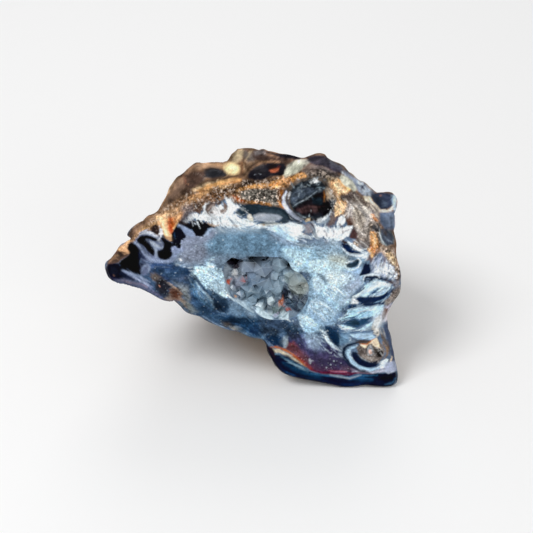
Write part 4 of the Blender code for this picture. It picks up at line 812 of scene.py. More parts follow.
# Plumes, bands and dark patches of the cut face
MARK = (
    ("8C97B4", 0, 1.4, 1.5, 1, (135.2, 240.5, 140.8, 231.8, 149, 229.8, 157.1, 234.9, 161.2, 238, 173.5, 238,
        181.6, 227.8, 187.8, 226.7, 198, 234.9, 191.8, 242, 184.7, 242, 183.7, 250.2, 177.6, 253.3, 173.5,
        260.4, 165.3, 263, 149, 262.4, 142.9, 260.4, 138.8, 253.3, 135.7, 246.1)),
    ("8B93A6", 0, 2.5, 1, 0.9, (181.6, 238, 189.8, 231.8, 198, 234.9, 206.1, 233.9, 214.3, 228.8, 218.4,
        231.8, 210.2, 240, 198, 244.1, 187.8, 250.2, 180.6, 248.2)),
    ("E4EEF4", 0, 1.4, 3.5, 1, (184.7, 220.6, 188.8, 217.6, 187.8, 214.5, 190.8, 213.5, 194.9, 212.4, 198,
        215.5, 201, 211.4, 205.1, 211.4, 203.6, 207.3, 206.1, 204.3, 209.7, 203.8, 208.2, 208.4, 212.2, 210.4,
        215.3, 206.3, 220.4, 203.3, 222.4, 202.2, 224, 206.3, 226.5, 205.3, 224, 200.2, 225, 198.4, 230.6,
        199.2, 233.7, 203.3, 238.8, 205.3, 240.8, 207.3, 235.7, 209.6, 234.7, 211.4, 237.8, 215.5, 242.9,
        217.8, 253.1, 220.6, 260, 221.6, 260, 227.8, 242.9, 229, 227.6, 229, 217.3, 226.7, 208.2, 222.9, 202,
        219.6, 196.9, 220.6, 191.8, 220.6, 185.7, 222.9)),
    ("A9BAC6", 0, 4, 2, 0.7, (215.3, 226.7, 227.6, 226.7, 242.9, 226.7, 260, 226.7, 260, 231.8, 242.9, 232.3,
        222.4, 231.8, 214.3, 229.8)),
    ("E9F4FA", 0, 1.4, 2.5, 1, (240, 217.6, 246.1, 221.6, 255.3, 224.7, 268.6, 226.5, 273.7, 224.9, 278.8,
        222.9, 284.9, 223.7, 290, 221.6, 297.1, 222.7, 303.3, 224.7, 305.3, 227.8, 303.3, 231.8, 306.3, 234.9,
        311.4, 235.9, 315.5, 231.8, 313.5, 223.9, 319.6, 224.9, 323.7, 227.8, 326.7, 226.7, 329.8, 228.8,
        334.9, 226.7, 342, 227.8, 352.2, 225.7, 353.5, 228.8, 350.2, 231.8, 348.2, 236.9, 342, 241, 331.8,
        240, 321.6, 237.4, 311.4, 238.2, 301.2, 237.1, 295.1, 241.2, 289, 240.2, 280.8, 233.1, 270.6, 230,
        260.4, 226.9, 240, 226.7)),
    ("C3D0DA", 0, 3, 2, 0.6, (240, 223.2, 255.3, 225.5, 270.6, 228, 260.4, 228, 240, 226.7)),
    ("54443E", 0, 1.2, 2.5, 0.95, (205.1, 211.4, 206.1, 206.3, 210.2, 204.5, 215.3, 203.5, 220.4, 202, 223,
        203.8, 217.3, 205.5, 213.3, 207.6, 210.4, 211.4, 209.4, 215.7, 206.1, 214.7)),
    ("7B6A66", 0, 1.2, 2, 0.85, (221.4, 210.6, 225.5, 209.6, 227.6, 206.3, 223.7, 205.3, 222.4, 207.6)),
    ("2A2826", 2, 0.9, 1, 0.9, (181.1, 220.6, 184.7, 216, 188.8, 212.7, 193.4, 211.9)),
    ("4A3E3A", 1.6, 1, 1.5, 0.8, (198, 213, 200.5, 210.4, 202, 207.3)),
    ("EAF3F8", 1.6, 0.8, 1, 0.9, (226.5, 200.2, 229.6, 203.3, 232.7, 209.4, 235.7, 214.5, 241.8, 217.6)),
    ("EAF3F8", 1, 0.7, 0.8, 0.9, (229.6, 201.2, 235.7, 205.3, 240.8, 206.8)),
    ("EAF3F8", 1, 0.7, 0.8, 0.85, (214.3, 209.4, 217.3, 212.4, 222.4, 215.5, 226.5, 219.6)),
    ("F4F9FB", 1.4, 0.8, 0.8, 0.85, (209.2, 211.4, 213.3, 215.5, 218.4, 219.6)),
    ("F4F9FB", 1.2, 0.8, 0.8, 0.85, (191.8, 215.5, 198, 218.6, 205.1, 220.6)),
    ("26343F", 0, 1.2, 1.5, 0.95, (235.7, 211.6, 238.3, 209.6, 244.9, 205.3, 260, 204.5, 260, 215.5, 253.1,
        217.6, 251, 214.5, 246.9, 214.7, 244.9, 217.8, 238.8, 215.7)),
    ("26343F", 0, 1, 1, 1, (240, 204.5, 252.2, 205, 264.5, 205.5, 274.7, 207.6, 283.9, 209.1, 289.2, 211.6,
        290, 217.6, 288, 221.6, 284.9, 223.7, 278.8, 222.9, 280.8, 219.6, 279.8, 216.5, 270.6, 213.7, 260.4,
        213.2, 254.3, 213.7, 251.2, 215.7, 246.1, 213.7, 240, 215.5)),
    ("C4D2DA", 1, 0.7, 1.2, 0.9, (237.2, 207.3, 242.9, 210.4, 246.9, 207.3)),
    ("B9C8D2", 0.9, 0.6, 1, 0.8, (240.8, 216, 245.9, 213.5, 248, 210.4)),
    ("4C5C68", 0, 1.2, 1, 0.7, (260.4, 210.4, 270.6, 209.4, 280.8, 211.4, 284.9, 215.5, 278.8, 215, 270.6,
        212.7)),
    ("35424E", 0, 1.2, 1, 0.95, (279.8, 216.5, 284.9, 215.5, 289, 217.6, 288, 221.6, 280.8, 223.9, 276.7,
        222.9, 280.8, 219.8)),
    ("A3ABB6", 0, 1.4, 0.6, 1, (253.3, 215.7, 258.4, 213.5, 270.6, 213.5, 278.8, 215.5, 281.8, 217.8, 278.8,
        220.6, 270.6, 221.8, 257.3, 221.3, 254.3, 218.8)),
    ("C6CAD0", 0, 1.6, 0.6, 0.8, (254.3, 214.7, 264.5, 213.9, 265, 216.5, 255.3, 217.8)),
    ("8F98A0", 0, 1.6, 0.6, 0.7, (270.6, 216.7, 278.8, 217.6, 274.7, 220.8, 268.6, 220.6)),
    ("C9C7B8", 0, 1, 0.8, 0.95, (248.2, 213.5, 251.2, 214.5, 253.5, 217.6, 253.3, 221.6, 250.2, 220.8, 247.1,
        217.6)),
    ("C9C4B4", 0, 1, 0.8, 0.9, (246.9, 214.7, 251, 214.1, 253.1, 217.6, 252, 220.6, 248, 219.6)),
    ("4A5660", 0.9, 0.7, 0.4, 0.8, (256.3, 221.8, 270.6, 222.3, 279.8, 221.3)),
    ("E2E4DC", 1.8, 1, 1, 0.9, (246.1, 221.6, 256.3, 224.7, 263.5, 224.9, 270.6, 224.7, 280.8, 223.2)),
    ("A08060", 0, 0.8, 0, 0.8, (262.7, 224.2, 265, 224.2, 265, 225.9, 263, 225.9)),
    ("1A2029", 0, 0.9, 1.5, 0.95, (288, 214.5, 293.1, 215.5, 297.1, 218.6, 302.2, 220.6, 303.5, 223.7, 299.2,
        223.9, 295.1, 220.8, 291, 220.6, 289, 218.6)),
    ("D9E2E8", 1, 0.6, 0.6, 0.9, (289, 216, 291, 218.6, 294.1, 219.8)),
    ("D9E2E8", 0.9, 0.6, 0.6, 0.8, (297.1, 221.6, 301.2, 222.9)),
    ("FBFEFF", 0, 2, 1, 0.9, (285.9, 224.9, 293.1, 224.7, 302.8, 228.8, 302.4, 232.9, 297.1, 233.1, 289,
        229.8)),
    ("BBD9EE", 0, 1.6, 1.5, 0.95, (268.6, 226.9, 275.7, 225.9, 282.9, 229.8, 291, 235.9, 297.1, 241, 293.1,
        243.3, 282.9, 237.1, 274.7, 232)),
    ("6F8296", 1, 0.8, 0.8, 0.9, (270.6, 231.3, 280.8, 237.4, 291, 243.3, 301.2, 246.3, 309.4, 247.1)),
    ("46545F", 0.8, 0.6, 0.6, 0.9, (297.1, 245.1, 303.3, 246.3, 308.4, 246.9)),
    ("5A6A78", 1, 0.8, 0.6, 0.8, (253.3, 231.3, 256.3, 232.3)),
    ("8F8A90", 0, 1.2, 2, 0.9, (303.3, 224.9, 309.4, 222.9, 313.5, 223.9, 315.5, 227.8, 313.5, 231.8, 309.4,
        234.9, 304.3, 234.1, 303.3, 231, 306.3, 227.8)),
    ("2A3240", 1.1, 0.7, 0.6, 0.95, (310.4, 222.7, 313.7, 226.7, 315.3, 230.8, 315.7, 232.7)),
    ("2F3A48", 1.1, 0.7, 0.6, 0.9, (311.2, 232.7, 316, 230)),
    ("9A7A66", 1, 0.8, 0.6, 0.7, (305.8, 230.8, 303.8, 234.9)),
    ("B9B4B8", 0.9, 0.7, 0.5, 0.8, (307.3, 225.7, 310.4, 228.8, 311.4, 231.8)),
    ("FDFFFF", 0, 1.4, 1, 0.9, (316.5, 228, 324.7, 226.7, 325.7, 229.8, 321.6, 233.9, 318.6, 234.9, 316.5,
        232)),
    ("F3F9FC", 0, 1.8, 1.5, 0.85, (327.8, 229, 342, 228.8, 351.7, 226.9, 348.2, 233.9, 338, 238, 329.8, 236.9,
        326.7, 233.1)),
    ("4C6078", 1.2, 0.8, 0.8, 0.85, (325.7, 227.2, 326.9, 229.8, 323.9, 232.9, 320.6, 234.9)),
    ("7C8CA0", 1, 0.8, 0.8, 0.7, (331.8, 228.8, 338, 229.8, 342, 231.8)),
    ("6A5A62", 0, 1.4, 2, 0.9, (328.8, 215.7, 333.9, 215.7, 338, 216.5, 342, 216.5, 338, 220.8, 334.9, 225.7,
        330.8, 225.7, 326.7, 223.9, 329.8, 220.6)),
    ("E6F2FA", 0, 1.2, 2.5, 1, (339, 218.8, 342, 215.7, 344.3, 216.7, 345.3, 221.6, 343.1, 224.9, 338, 226.9,
        333.9, 225.9, 336.9, 221.8)),
    ("20262E", 0.9, 0.6, 0.8, 0.9, (329.8, 224.9, 335.9, 224.9, 338.2, 220.6)),
    ("6E5650", 0, 1.5, 1, 0.9, (345.3, 216.7, 348.2, 215.7, 354.3, 217.8, 353.5, 221.6, 348.2, 224.9, 346.1,
        221.8)),
    ("5C4A4C", 0, 1.2, 0.8, 1, (352, 229, 354.3, 227.8, 357.3, 233.9, 358.6, 236.9, 354.3, 238.2, 349, 238.7,
        349.2, 235.9)),
    ("E9EFF4", 1.2, 0.8, 1.2, 0.9, (349.2, 240.5, 353.3, 239.5, 357.3, 242, 362.4, 244.1, 366.5, 246.1)),
    ("C9D0D8", 1.2, 0.8, 1.2, 0.8, (347.1, 243.1, 353.3, 244.1, 358.4, 248.2, 362.4, 249.7)),
    ("0C0E14", 0, 0.7, 0.8, 1, (128.1, 246.1, 130.6, 245.6, 134.7, 244.3, 137.8, 247.1, 139.8, 251.2, 141,
        256.3, 139.6, 262.4, 141, 268.6, 142, 273.7, 139.3, 275.4, 133.7, 273.9, 127.6, 272.7, 121.9, 268.8,
        119.9, 262.4, 120.4, 260.4, 125.5, 257.3, 130.6, 254.3, 129.1, 250.2)),
    ("0C0E14", 0, 0.7, 0.8, 1, (137.2, 238.2, 140.8, 234.9, 146.9, 234.9, 153.1, 237.4, 157.1, 239.5, 161.2,
        240.5, 161.2, 242, 157.1, 241, 154.1, 240.5, 150, 238.8, 145.9, 238.5, 148, 242, 151.5, 245.1, 153.6,
        248.2, 154.3, 252.2, 153.3, 255.3, 150.5, 254.3, 148.8, 250.7, 145.9, 246.6, 142.9, 245.1, 139.8,
        243.1, 137.6, 241)),
    ("0C0E14", 0, 0.7, 0.8, 1, (161.2, 238.5, 163.8, 236.9, 166.3, 240.5, 171.4, 241.5, 170.9, 247.1, 171.9,
        251.2, 172.7, 255.3, 169.9, 258.4, 165.3, 259.9, 160.2, 258.9, 157.7, 255.3, 157.3, 252.2, 159.7,
        249.7, 162.8, 248.2, 163.3, 244.1, 161.7, 241)),
    ("0C0E14", 0, 0.7, 0.8, 1, (171.4, 238.2, 173, 231.8, 175, 227.8, 177.6, 226.7, 180.6, 230.3, 182.7,
        233.4, 185.5, 235.9, 185.2, 238.2, 181.6, 239, 179.1, 239.5, 181.1, 244.1, 180.1, 248.4, 176.5, 247.1,
        174, 244.3, 171.4, 243.3, 173, 240.5)),
    ("0C0E14", 0, 0.7, 1, 1, (178.6, 220.6, 181.6, 220.6, 186.7, 224.7, 189.8, 223.7, 191.8, 221.8, 194.9,
        221.6, 197.4, 222.7, 202, 220.6, 208.2, 223.7, 215.5, 227.2, 210.2, 227.8, 206.1, 229.8, 204.1, 233.9,
        202, 235.6, 198, 234.9, 194.9, 233.1, 191.8, 230, 186.7, 228, 181.6, 225.9, 179.1, 223.9)),
    ("AEB9CF", 2.2, 1, 1.2, 0.95, (135.2, 242.9, 138.8, 245.3, 142.9, 250.4, 146.9, 255.3, 152, 258.9, 157.1,
        260.2)),
    ("B9C4D8", 1.6, 0.9, 1, 0.9, (145.9, 239.5, 150, 242, 154.1, 246.1, 155.9, 250.2, 155.6, 255.8)),
    ("DCE4EE", 1.2, 0.8, 1, 0.9, (148.5, 240, 154.1, 243.1, 158.2, 246.1, 161.2, 248.2)),
    ("C4CEDF", 1.2, 0.8, 1, 0.85, (156.6, 240.8, 161.2, 242.9, 163.5, 245.1, 161.7, 249.2)),
    ("A9B6D0", 2, 0.9, 0.8, 0.95, (171.4, 244.3, 172.7, 249.2, 173.7, 253.3, 172.7, 257.6, 167.3, 261.2,
        161.2, 261.2, 153.1, 259.6, 143.9, 259.4, 139.3, 256.3)),
    ("AEB9D2", 2, 0.9, 1, 0.9, (179.1, 224.7, 184.7, 227.6, 189.8, 230.3, 193.9, 233.7, 198, 236.4)),
    ("BCC7DC", 2, 1, 1, 0.85, (213.3, 228, 208.2, 230.8, 205.1, 234.9, 201, 237.4)),
    ("A9B4CC", 1.6, 0.9, 0.8, 0.9, (186.7, 236.4, 181.8, 240.2, 181.8, 245.1, 181.1, 249.4, 176.7, 249.4)),
    ("C9D3E2", 0.9, 0.6, 0.6, 0.85, (175.7, 233.9, 174, 236.4, 175.3, 239.5)),
    ("E2ECF4", 1, 0.6, 0.4, 0.9, (195.4, 220.8, 198, 223.2, 199.8, 226.2)),
    ("9AA6BE", 1.1, 0.8, 0.8, 0.8, (140.3, 258.9, 145.9, 261.4, 153.1, 262.4)),
    ("B9C1CF", 0, 1, 0.6, 1, (139.8, 234.4, 142.9, 231.5, 146.9, 230.8, 153.1, 232.9, 156.3, 234.9, 157.3,
        238.2, 153.1, 236.9, 148, 235.1, 142.9, 234.4)),
    ("4A3A38", 0, 1.3, 0.5, 1, (150.2, 230, 153.1, 226.2, 155.6, 224.7, 158.4, 227.8, 160.4, 233.9, 158.4,
        235.9, 155.1, 233.1, 152, 232.3)),
    ("D5DCE6", 1.3, 0.7, 0.2, 0.95, (159.7, 228, 161.7, 231.8, 161, 236.4, 158.4, 239)),
    ("E4E8EE", 0.9, 0.6, 0.2, 0.9, (153.1, 231.8, 155.6, 233.7, 157.1, 236.4)),
    ("F0C692", 0, 1.1, 0.6, 1, (156.3, 216, 161.2, 217.3, 165.3, 218.4, 169.4, 217.6, 175.5, 218.6, 177.8,
        221.6, 175.5, 226.7, 173.5, 229.8, 171.6, 234.9, 173.7, 239.5, 171.4, 241.2, 169.4, 241.2, 165.3,
        238.7, 164.3, 231.8, 161.2, 226.9, 157.1, 223.9, 155.3, 220.8)),
    ("C46A30", 0, 1.3, 0.8, 0.95, (169.4, 218.6, 175.5, 218.1, 176.3, 221.6, 173.7, 226.7, 172, 231.8, 170.4,
        235.1, 169.4, 229.8, 168.4, 225.9, 170.4, 221.8)),
    ("B04A1A", 0, 1, 0.6, 0.95, (169.4, 225.9, 172.4, 226.7, 172.7, 230.8, 170.4, 234.1, 169.4, 230)),
    ("F8DAB0", 1.6, 1, 0.5, 0.85, (161.2, 221.6, 164.5, 228.8, 167.3, 236.9)),
    ("8A5A38", 1, 0.7, 0.3, 0.85, (155.9, 221.6, 158.4, 219.8, 161.2, 220.1, 163.5, 222.9)),
    ("B88A60", 0, 1.5, 0.8, 0.7, (177.6, 217.6, 181.6, 211.4, 185.7, 210.4, 183.7, 215.5, 179.6, 220.6)),
    ("0C1230", 0, 1.2, 0.6, 1, (105.6, 268.1, 107.3, 263.3, 113.3, 262.8, 119.4, 263.3, 121.4, 268.6, 124.5,
        271.6, 130.6, 275.7, 134.2, 280, 125.5, 280, 118.4, 280.3, 112.2, 282.3, 108.2, 278.8, 106.1, 273.7)),
    ("35304A", 2, 1.4, 0.5, 0.8, (111.2, 277.2, 118.4, 280, 125.5, 280.8)),
    ("B88878", 0, 0.9, 0, 0.9, (113.3, 274.5, 115.1, 274.5, 115.3, 276.2, 113.5, 276.4)),
    ("8E9ABA", 2.8, 1.6, 1.5, 0.9, (121.4, 269.6, 130.6, 274.7, 138.8, 279.6, 145.9, 283.9, 153.1, 287.4)),
    ("B9C2D8", 1.4, 1, 1, 0.8, (133.7, 277.2, 140.8, 281.3, 148, 284.9)),
    ("9C8AA0", 1.6, 1.2, 0.6, 0.8, (134.7, 283.4, 140.8, 284.1, 146.9, 286.9)),
    ("7C88A8", 1.4, 1, 1, 0.8, (139.8, 261.9, 144.9, 264, 151, 264.3)),
    ("C5CEDF", 1, 0.8, 1, 0.7, (143.9, 265.5, 148, 267.6, 149, 271.6)),
    ("D8A09A", 0, 1, 0, 0.8, (159.2, 284.4, 161, 284.4, 161.2, 286.1, 159.4, 286.3)),
    ("A89484", 1.4, 1, 0.6, 0.85, (166.8, 282.3, 171.4, 285.9, 177.6, 291, 181.1, 295.6)),
    ("C5D3DE", 1, 0.7, 1.5, 0.85, (175.5, 264, 181.6, 266.5, 191.8, 267.8)),
    ("F0F6F9", 0, 0.7, 0, 1, (178.6, 258.9, 180.8, 258.7, 182.2, 260.4, 180.8, 261)),
    ("A9C6D6", 1.8, 0.9, 1.5, 0.85, (207.1, 261.9, 212.2, 257.3, 217.3, 255.8)),
    ("CFE2EC", 1.2, 0.8, 1.2, 0.85, (208.2, 264, 211.2, 260.4, 214.3, 258.9)),
    ("F6FBFD", 0, 0.7, 0.4, 0.95, (211.4, 266.5, 213.3, 266.1, 214.1, 267.6, 212, 268)),
    ("46586A", 1, 0.7, 0.4, 0.85, (204.1, 280, 207.8, 282.4)),
    ("9FC0D4", 1.3, 0.9, 0.8, 0.9, (194.9, 280.8, 201, 290, 208.2, 297.1, 213.1, 302.2, 214.3, 306.8)),
    ("7FA2BC", 1.1, 0.9, 0.8, 0.85, (191.8, 283.9, 198, 294.1, 206.1, 302.4)),
    ("86A8BE", 1, 0.8, 0.8, 0.8, (196.9, 297.3, 206.1, 303.5)),
    ("8CA8BE", 1.1, 0.8, 0.6, 0.85, (214.3, 315.7, 220.4, 315.3, 225.7, 316.5, 222.7, 318.6, 220.6, 317.3)),
    ("7C98B0", 1.2, 0.9, 0.8, 0.8, (217.3, 311.6, 226.5, 313.7, 237.8, 311.4)),
    ("9AB0C8", 1, 0.7, 0.4, 0.8, (202, 315.7, 212.2, 321.6, 222.4, 326.7, 230.6, 330.3)),
    ("12203A", 0, 1.2, 0.6, 0.9, (251, 327.2, 255.1, 325.7, 255.3, 329.6, 251, 332.9, 249.2, 331)),
    ("E4F2F8", 1.3, 0.8, 1.2, 0.9, (225.5, 291, 229.1, 297.1, 235.7, 300.2, 240.3, 302.8)),
    ("F2C8A0", 0, 0.8, 0, 0.9, (226.7, 294.3, 228.4, 294.3, 228.4, 295.9, 226.9, 295.9)),
    ("0E2748", 0, 0.8, 1, 1, (340.5, 240.5, 343.1, 243.1, 347.1, 243.1, 350.2, 247.1, 354.3, 250.2, 361.6,
        252.8, 356.3, 254.5, 350.2, 253.5, 346.1, 250.4, 343.1, 248.2)),
    ("3A2E2C", 0, 0.9, 0.8, 0.95, (339.8, 241, 343.1, 238.8, 345.3, 240, 348.2, 243.1, 344.1, 244.3)),
    ("E9F2F8", 1.4, 0.8, 1, 0.95, (346.1, 241, 350.2, 244.1, 355.3, 249, 362.4, 250.4, 367, 248.2)),
    ("DDE9F2", 1.1, 0.7, 1, 0.95, (341.5, 247.7, 348.2, 253.5, 354.3, 255.8, 363.5, 254.5)),
    ("A3ACB8", 0, 1.6, 2, 0.8, (360.4, 242, 366.5, 244.1, 367.6, 248.2, 362.4, 250.2, 356.3, 247.1)),
    ("E3EEF6", 0, 1.4, 2.5, 0.9, (355.3, 254.8, 366.5, 251.2, 369.6, 253.3, 367.6, 259.4, 362.4, 258.4, 356.3,
        257.3)),
    ("2A4058", 0, 0.7, 0.5, 1, (346.1, 264.7, 350.2, 263, 355.3, 262.7, 358.2, 259.4, 359.6, 261.2, 357.6,
        265.5, 353.3, 267.6, 349.2, 267.8, 346.3, 266.7)),
    ("6E7C86", 0.9, 0.6, 0.3, 0.8, (347.7, 265.3, 352.2, 264.7, 356.3, 264.7)),
    ("EDF4F9", 1.3, 0.8, 0.5, 0.95, (344.9, 263.7, 350.2, 261.4, 355.3, 261.2, 358.4, 258.2, 361.2, 261.4,
        358.6, 266.7, 353.3, 270.4, 347.1, 269.8)),
    ("112440", 0, 0.8, 0.8, 1, (365.5, 262.2, 369.2, 266.5, 370.8, 270.6, 368.8, 273.9, 364.5, 274.9, 359.2,
        275.4, 361.4, 271.6, 363.7, 266.5)),
    ("A7B2C6", 0, 1.6, 3, 1, (371.6, 261.4, 376.7, 256.3, 381.8, 255.3, 385.9, 260.4, 393.1, 266.5, 397.7,
        274.7, 393.1, 280, 385.9, 280, 379.8, 275.9, 372.7, 274.9, 370.6, 267.6)),
    ("6A5A5A", 0, 1.3, 1.5, 0.85, (368.6, 255.3, 372.7, 258.4, 376.7, 255.3, 374.7, 260.4, 370.6, 261.6,
        366.5, 259.4)),
    ("ECF4F9", 0, 1.2, 3.5, 0.95, (375.7, 265.7, 384.9, 262.4, 393.1, 270.6, 397.1, 276.7, 390, 279, 380.8,
        272.9, 374.7, 272.9)),
    ("3F4C66", 1, 0.7, 1, 0.8, (372.7, 268.6, 373.7, 264.5, 376.7, 260.4)),
    ("46526A", 1, 0.7, 1, 0.8, (382.9, 258.4, 384.9, 262.4, 389, 266.5)),
    ("F4F9FC", 1.1, 0.7, 0.8, 0.9, (372.7, 275.7, 376.7, 271.6, 382.9, 270.6)),
    ("D9E6F0", 1.1, 0.8, 1, 0.9, (360.4, 276.7, 366.5, 274.7, 372.7, 273.7, 378.8, 275.2)),
    ("1B2A42", 1.2, 0.7, 0.7, 0.95, (362.4, 281, 364, 278, 367.6, 277.2, 371.8, 277.8, 374.7, 276.2, 378.8,
        278, 382.9, 279.8, 386.9, 282)),
    ("1B2A42", 1, 0.7, 0.7, 0.9, (364.5, 280, 368.4, 279.8, 370.4, 282)),
    ("24344C", 1, 0.7, 0.7, 0.85, (378.8, 278, 384.9, 277.8, 391, 280, 395.1, 282.9)),
    ("8C8A90", 0, 1.8, 1.5, 0.8, (386.9, 280, 395.1, 280.8, 400, 280.8, 400, 289, 395.1, 286.9, 391, 283.9)),
    ("CDE8F6", 0, 1.1, 3.2, 1, (362.4, 284.9, 368.6, 281.8, 373.7, 280.6, 381.8, 280.8, 386.9, 283.7, 392.2,
        286.9, 388, 291.2, 382.9, 295.1, 376.7, 297.3, 367.6, 297.3, 357.3, 297.1, 353.3, 296.3, 360.4, 290.2,
        363.5, 286.9)),
    ("EEF7FB", 1.8, 1, 1.5, 0.8, (364.5, 293.1, 372.7, 288, 380.8, 284.9)),
    ("4A6E96", 1, 0.8, 1.2, 0.85, (369.6, 295.6, 375.7, 292.6, 381.8, 290.5)),
    ("6A92B6", 1.1, 0.8, 1.2, 0.8, (375.7, 296.1, 382.9, 293.1, 387.4, 288.8)),
    ("7FA2C0", 0.9, 0.7, 1.2, 0.7, (365.5, 288, 371.6, 284.9, 375.7, 282.9)),
    ("E9F4FA", 0, 1, 2, 0.95, (351, 301.2, 353.3, 297.1, 357.3, 297.1, 355.8, 301.2, 352.8, 304.5, 351.2,
        303.3)),
    ("102C4C", 0, 0.9, 1.8, 1, (354.3, 299.4, 360.4, 297.3, 372.7, 298.4, 382.9, 295.3, 389, 290.2, 393.3,
        289.2, 388.2, 297.3, 382.9, 301.4, 372.7, 305.5, 367.6, 305.5, 360.4, 303.5, 357.3, 300.4)),
    ("8FB0CC", 1.1, 0.7, 0.7, 0.9, (369.6, 303.5, 377.8, 301.4, 385.9, 298.4, 391.5, 293.1)),
    ("16304E", 1.5, 0.8, 0.8, 0.9, (371.6, 306.5, 380.8, 304.5, 387.4, 300.2)),
    ("20405E", 0, 0.9, 1.5, 0.9, (348.2, 305.5, 352.2, 304.5, 357.6, 305.5, 355.3, 307.6, 349.2, 308.6)),
    ("B7DCEE", 0, 1.1, 2.8, 1, (348.2, 310.6, 357.3, 308.6, 370.6, 306.5, 382.9, 305.5, 384.1, 309.6, 377.8,
        314.7, 370.6, 317.8, 362.4, 318.8, 352.2, 319.8, 344.1, 321.8, 338, 320.8, 340, 318.8, 346.1, 315.7)),
    ("5B87AC", 0.9, 0.8, 1.2, 0.8, (347.1, 314.7, 357.3, 311.9, 370.6, 311.6)),
    ("6E9AC0", 0.9, 0.8, 1.2, 0.75, (348.2, 317.8, 360.4, 316.7, 370.6, 315.7)),
    ("EFF8FC", 1.2, 0.8, 1.2, 0.8, (354.3, 313.5, 364.5, 310.4, 376.7, 309.4)),
    ("24405C", 0, 0.9, 2.2, 1, (342, 321.8, 350.2, 319.8, 360.4, 319.8, 368.6, 317.8, 372.1, 316.7, 366.5,
        320.8, 360.4, 324.9, 355.3, 324.9, 348.2, 323.9, 342, 322.9)),
    ("C4E0F0", 0, 1.1, 2.2, 1, (339, 322.9, 343.1, 323.9, 352.2, 325.9, 358.4, 328, 364.5, 324.9, 370.6,
        320.8, 373.9, 320.8, 371.8, 326.9, 367.6, 330, 357.3, 331, 347.1, 330, 341, 326.9)),
    ("3F5F80", 0.9, 0.7, 1, 0.8, (347.1, 323.9, 354.3, 325.2, 358.4, 328)),
    ("3F5F80", 0.9, 0.7, 1, 0.8, (356.3, 322.1, 363, 324.9)),
    ("ECF5F9", 1.2, 0.8, 0.8, 0.9, (337.4, 323.9, 342, 328.6, 348.2, 331)),
    ("5F7FA0", 0, 1.1, 1, 0.85, (346.1, 331, 357.3, 331.5, 369.6, 331, 373.9, 331.8, 371.6, 333.6, 357.3,
        333.1, 348.2, 333.1)),
    ("B4CFE6", 0, 1.1, 1.2, 1, (349.7, 334.1, 357.3, 332.9, 370.6, 332.9, 376.2, 337.1, 370.6, 340.2, 360.4,
        339.2, 352.2, 337.1)),
    ("7A9ABC", 1.2, 0.8, 0.6, 0.85, (357.3, 338, 363.5, 339.5, 369.6, 340.5)),
    ("CCC6BC", 0, 1.1, 1.5, 1, (372.7, 324.9, 375.7, 317.8, 381, 315.7, 381.2, 321.6, 379, 327.8, 381.2,
        333.9, 376.9, 337.1, 373.9, 333.1, 371.8, 329)),
    ("F0EEEA", 0.9, 0.6, 1, 0.85, (377.8, 318.6, 376.7, 323.7, 377.8, 328.8)),
    ("6E6862", 0.9, 0.6, 1, 0.8, (374.7, 325.7, 376.2, 329.8, 377.2, 333.9)),
    ("B9B6C4", 0, 1.4, 1, 1, (382.3, 311.4, 383.9, 306.8, 391, 302.8, 392.6, 306.8, 389.5, 315.5, 387.4,
        321.6, 382, 321.8, 380.8, 315.7)),
    ("6E5E56", 0, 1.1, 0.6, 0.9, (383.1, 311.6, 386.9, 308.6, 388.2, 311.6, 384.1, 318.8, 382, 320.8)),
    ("4A5670", 0, 1.3, 0.6, 0.95, (383.9, 322.9, 386.9, 320.6, 390.2, 331.8, 392.2, 342, 393.5, 351.2, 390,
        348.4, 386.9, 340.2, 384.1, 332)),
    ("6B6058", 0, 1.5, 0.8, 0.9, (379.8, 333.1, 384.9, 336.9, 388, 342, 389.2, 348.4, 384.9, 343.3, 380.8,
        337.1)),
    ("A9A39C", 1.2, 0.8, 0.4, 0.8, (383.1, 328, 386.1, 338)),
    ("0F2238", 0, 0.8, 2, 1, (327.2, 331.8, 331.8, 334.9, 338, 336.9, 342.2, 338, 339.2, 342.2, 338.2, 346.3,
        334.9, 343.3, 331.8, 340.2, 328.8, 336.9)),
    ("3C5872", 0, 1.5, 1.5, 0.7, (338, 338, 346.1, 336.9, 348.2, 342, 342, 346.1)),
    ("CADEE9", 1.6, 0.8, 1.2, 0.95, (320.6, 331.8, 326.7, 338, 331.8, 343.3, 338.2, 348.4)),
    ("D9E9F1", 1, 0.6, 0.8, 0.9, (321.1, 334.4, 325.7, 333.7, 328.8, 334.4)),
    ("D9E9F1", 1, 0.6, 0.8, 0.9, (323.2, 337.4, 327.8, 336.4, 330.8, 337.4)),
    ("D9E9F1", 1, 0.6, 0.8, 0.9, (326.2, 341, 329.8, 339.5, 332.3, 340.5)),
    ("C9B8A8", 0.9, 0.7, 0.6, 0.7, (335.9, 348.2, 339, 350.7)),
    ("8C9CAA", 0, 2, 1.5, 0.8, (338, 348.2, 342, 346.1, 350.2, 342, 354.3, 341, 344.1, 347.1, 341, 353.3, 342,
        358.4, 338, 354.3)),
    ("E6EEF2", 1, 0.6, 0.8, 0.85, (348.2, 337.4, 351.7, 338.5, 350.2, 340)),
    ("1C3454", 0, 1.4, 1.5, 0.95, (265.5, 335.9, 273.7, 334.9, 281.8, 338, 281.3, 343.1, 275.2, 347.1, 269.6,
        344.1, 265.5, 340)),
    ("0E1A30", 0, 1, 1, 0.8, (275.7, 340, 280.8, 339.5, 280.3, 343.6, 276.7, 344.1)),
    ("B9C3C6", 1.6, 1, 1.6, 0.9, (282.3, 338, 286.7, 340.5, 285.1, 346.6, 280.8, 348.4)),
    ("A89A80", 1, 0.8, 1, 0.8, (285.9, 339.5, 287.4, 342.6, 285.9, 346.1)),
    ("8C98A2", 1, 0.8, 1.2, 0.8, (264.5, 335.4, 268.1, 331.8, 272.7, 330.3)),
    ("9AA8B4", 1.1, 0.8, 1.2, 0.7, (268.6, 338, 271.6, 333.9, 275.7, 332.3)),
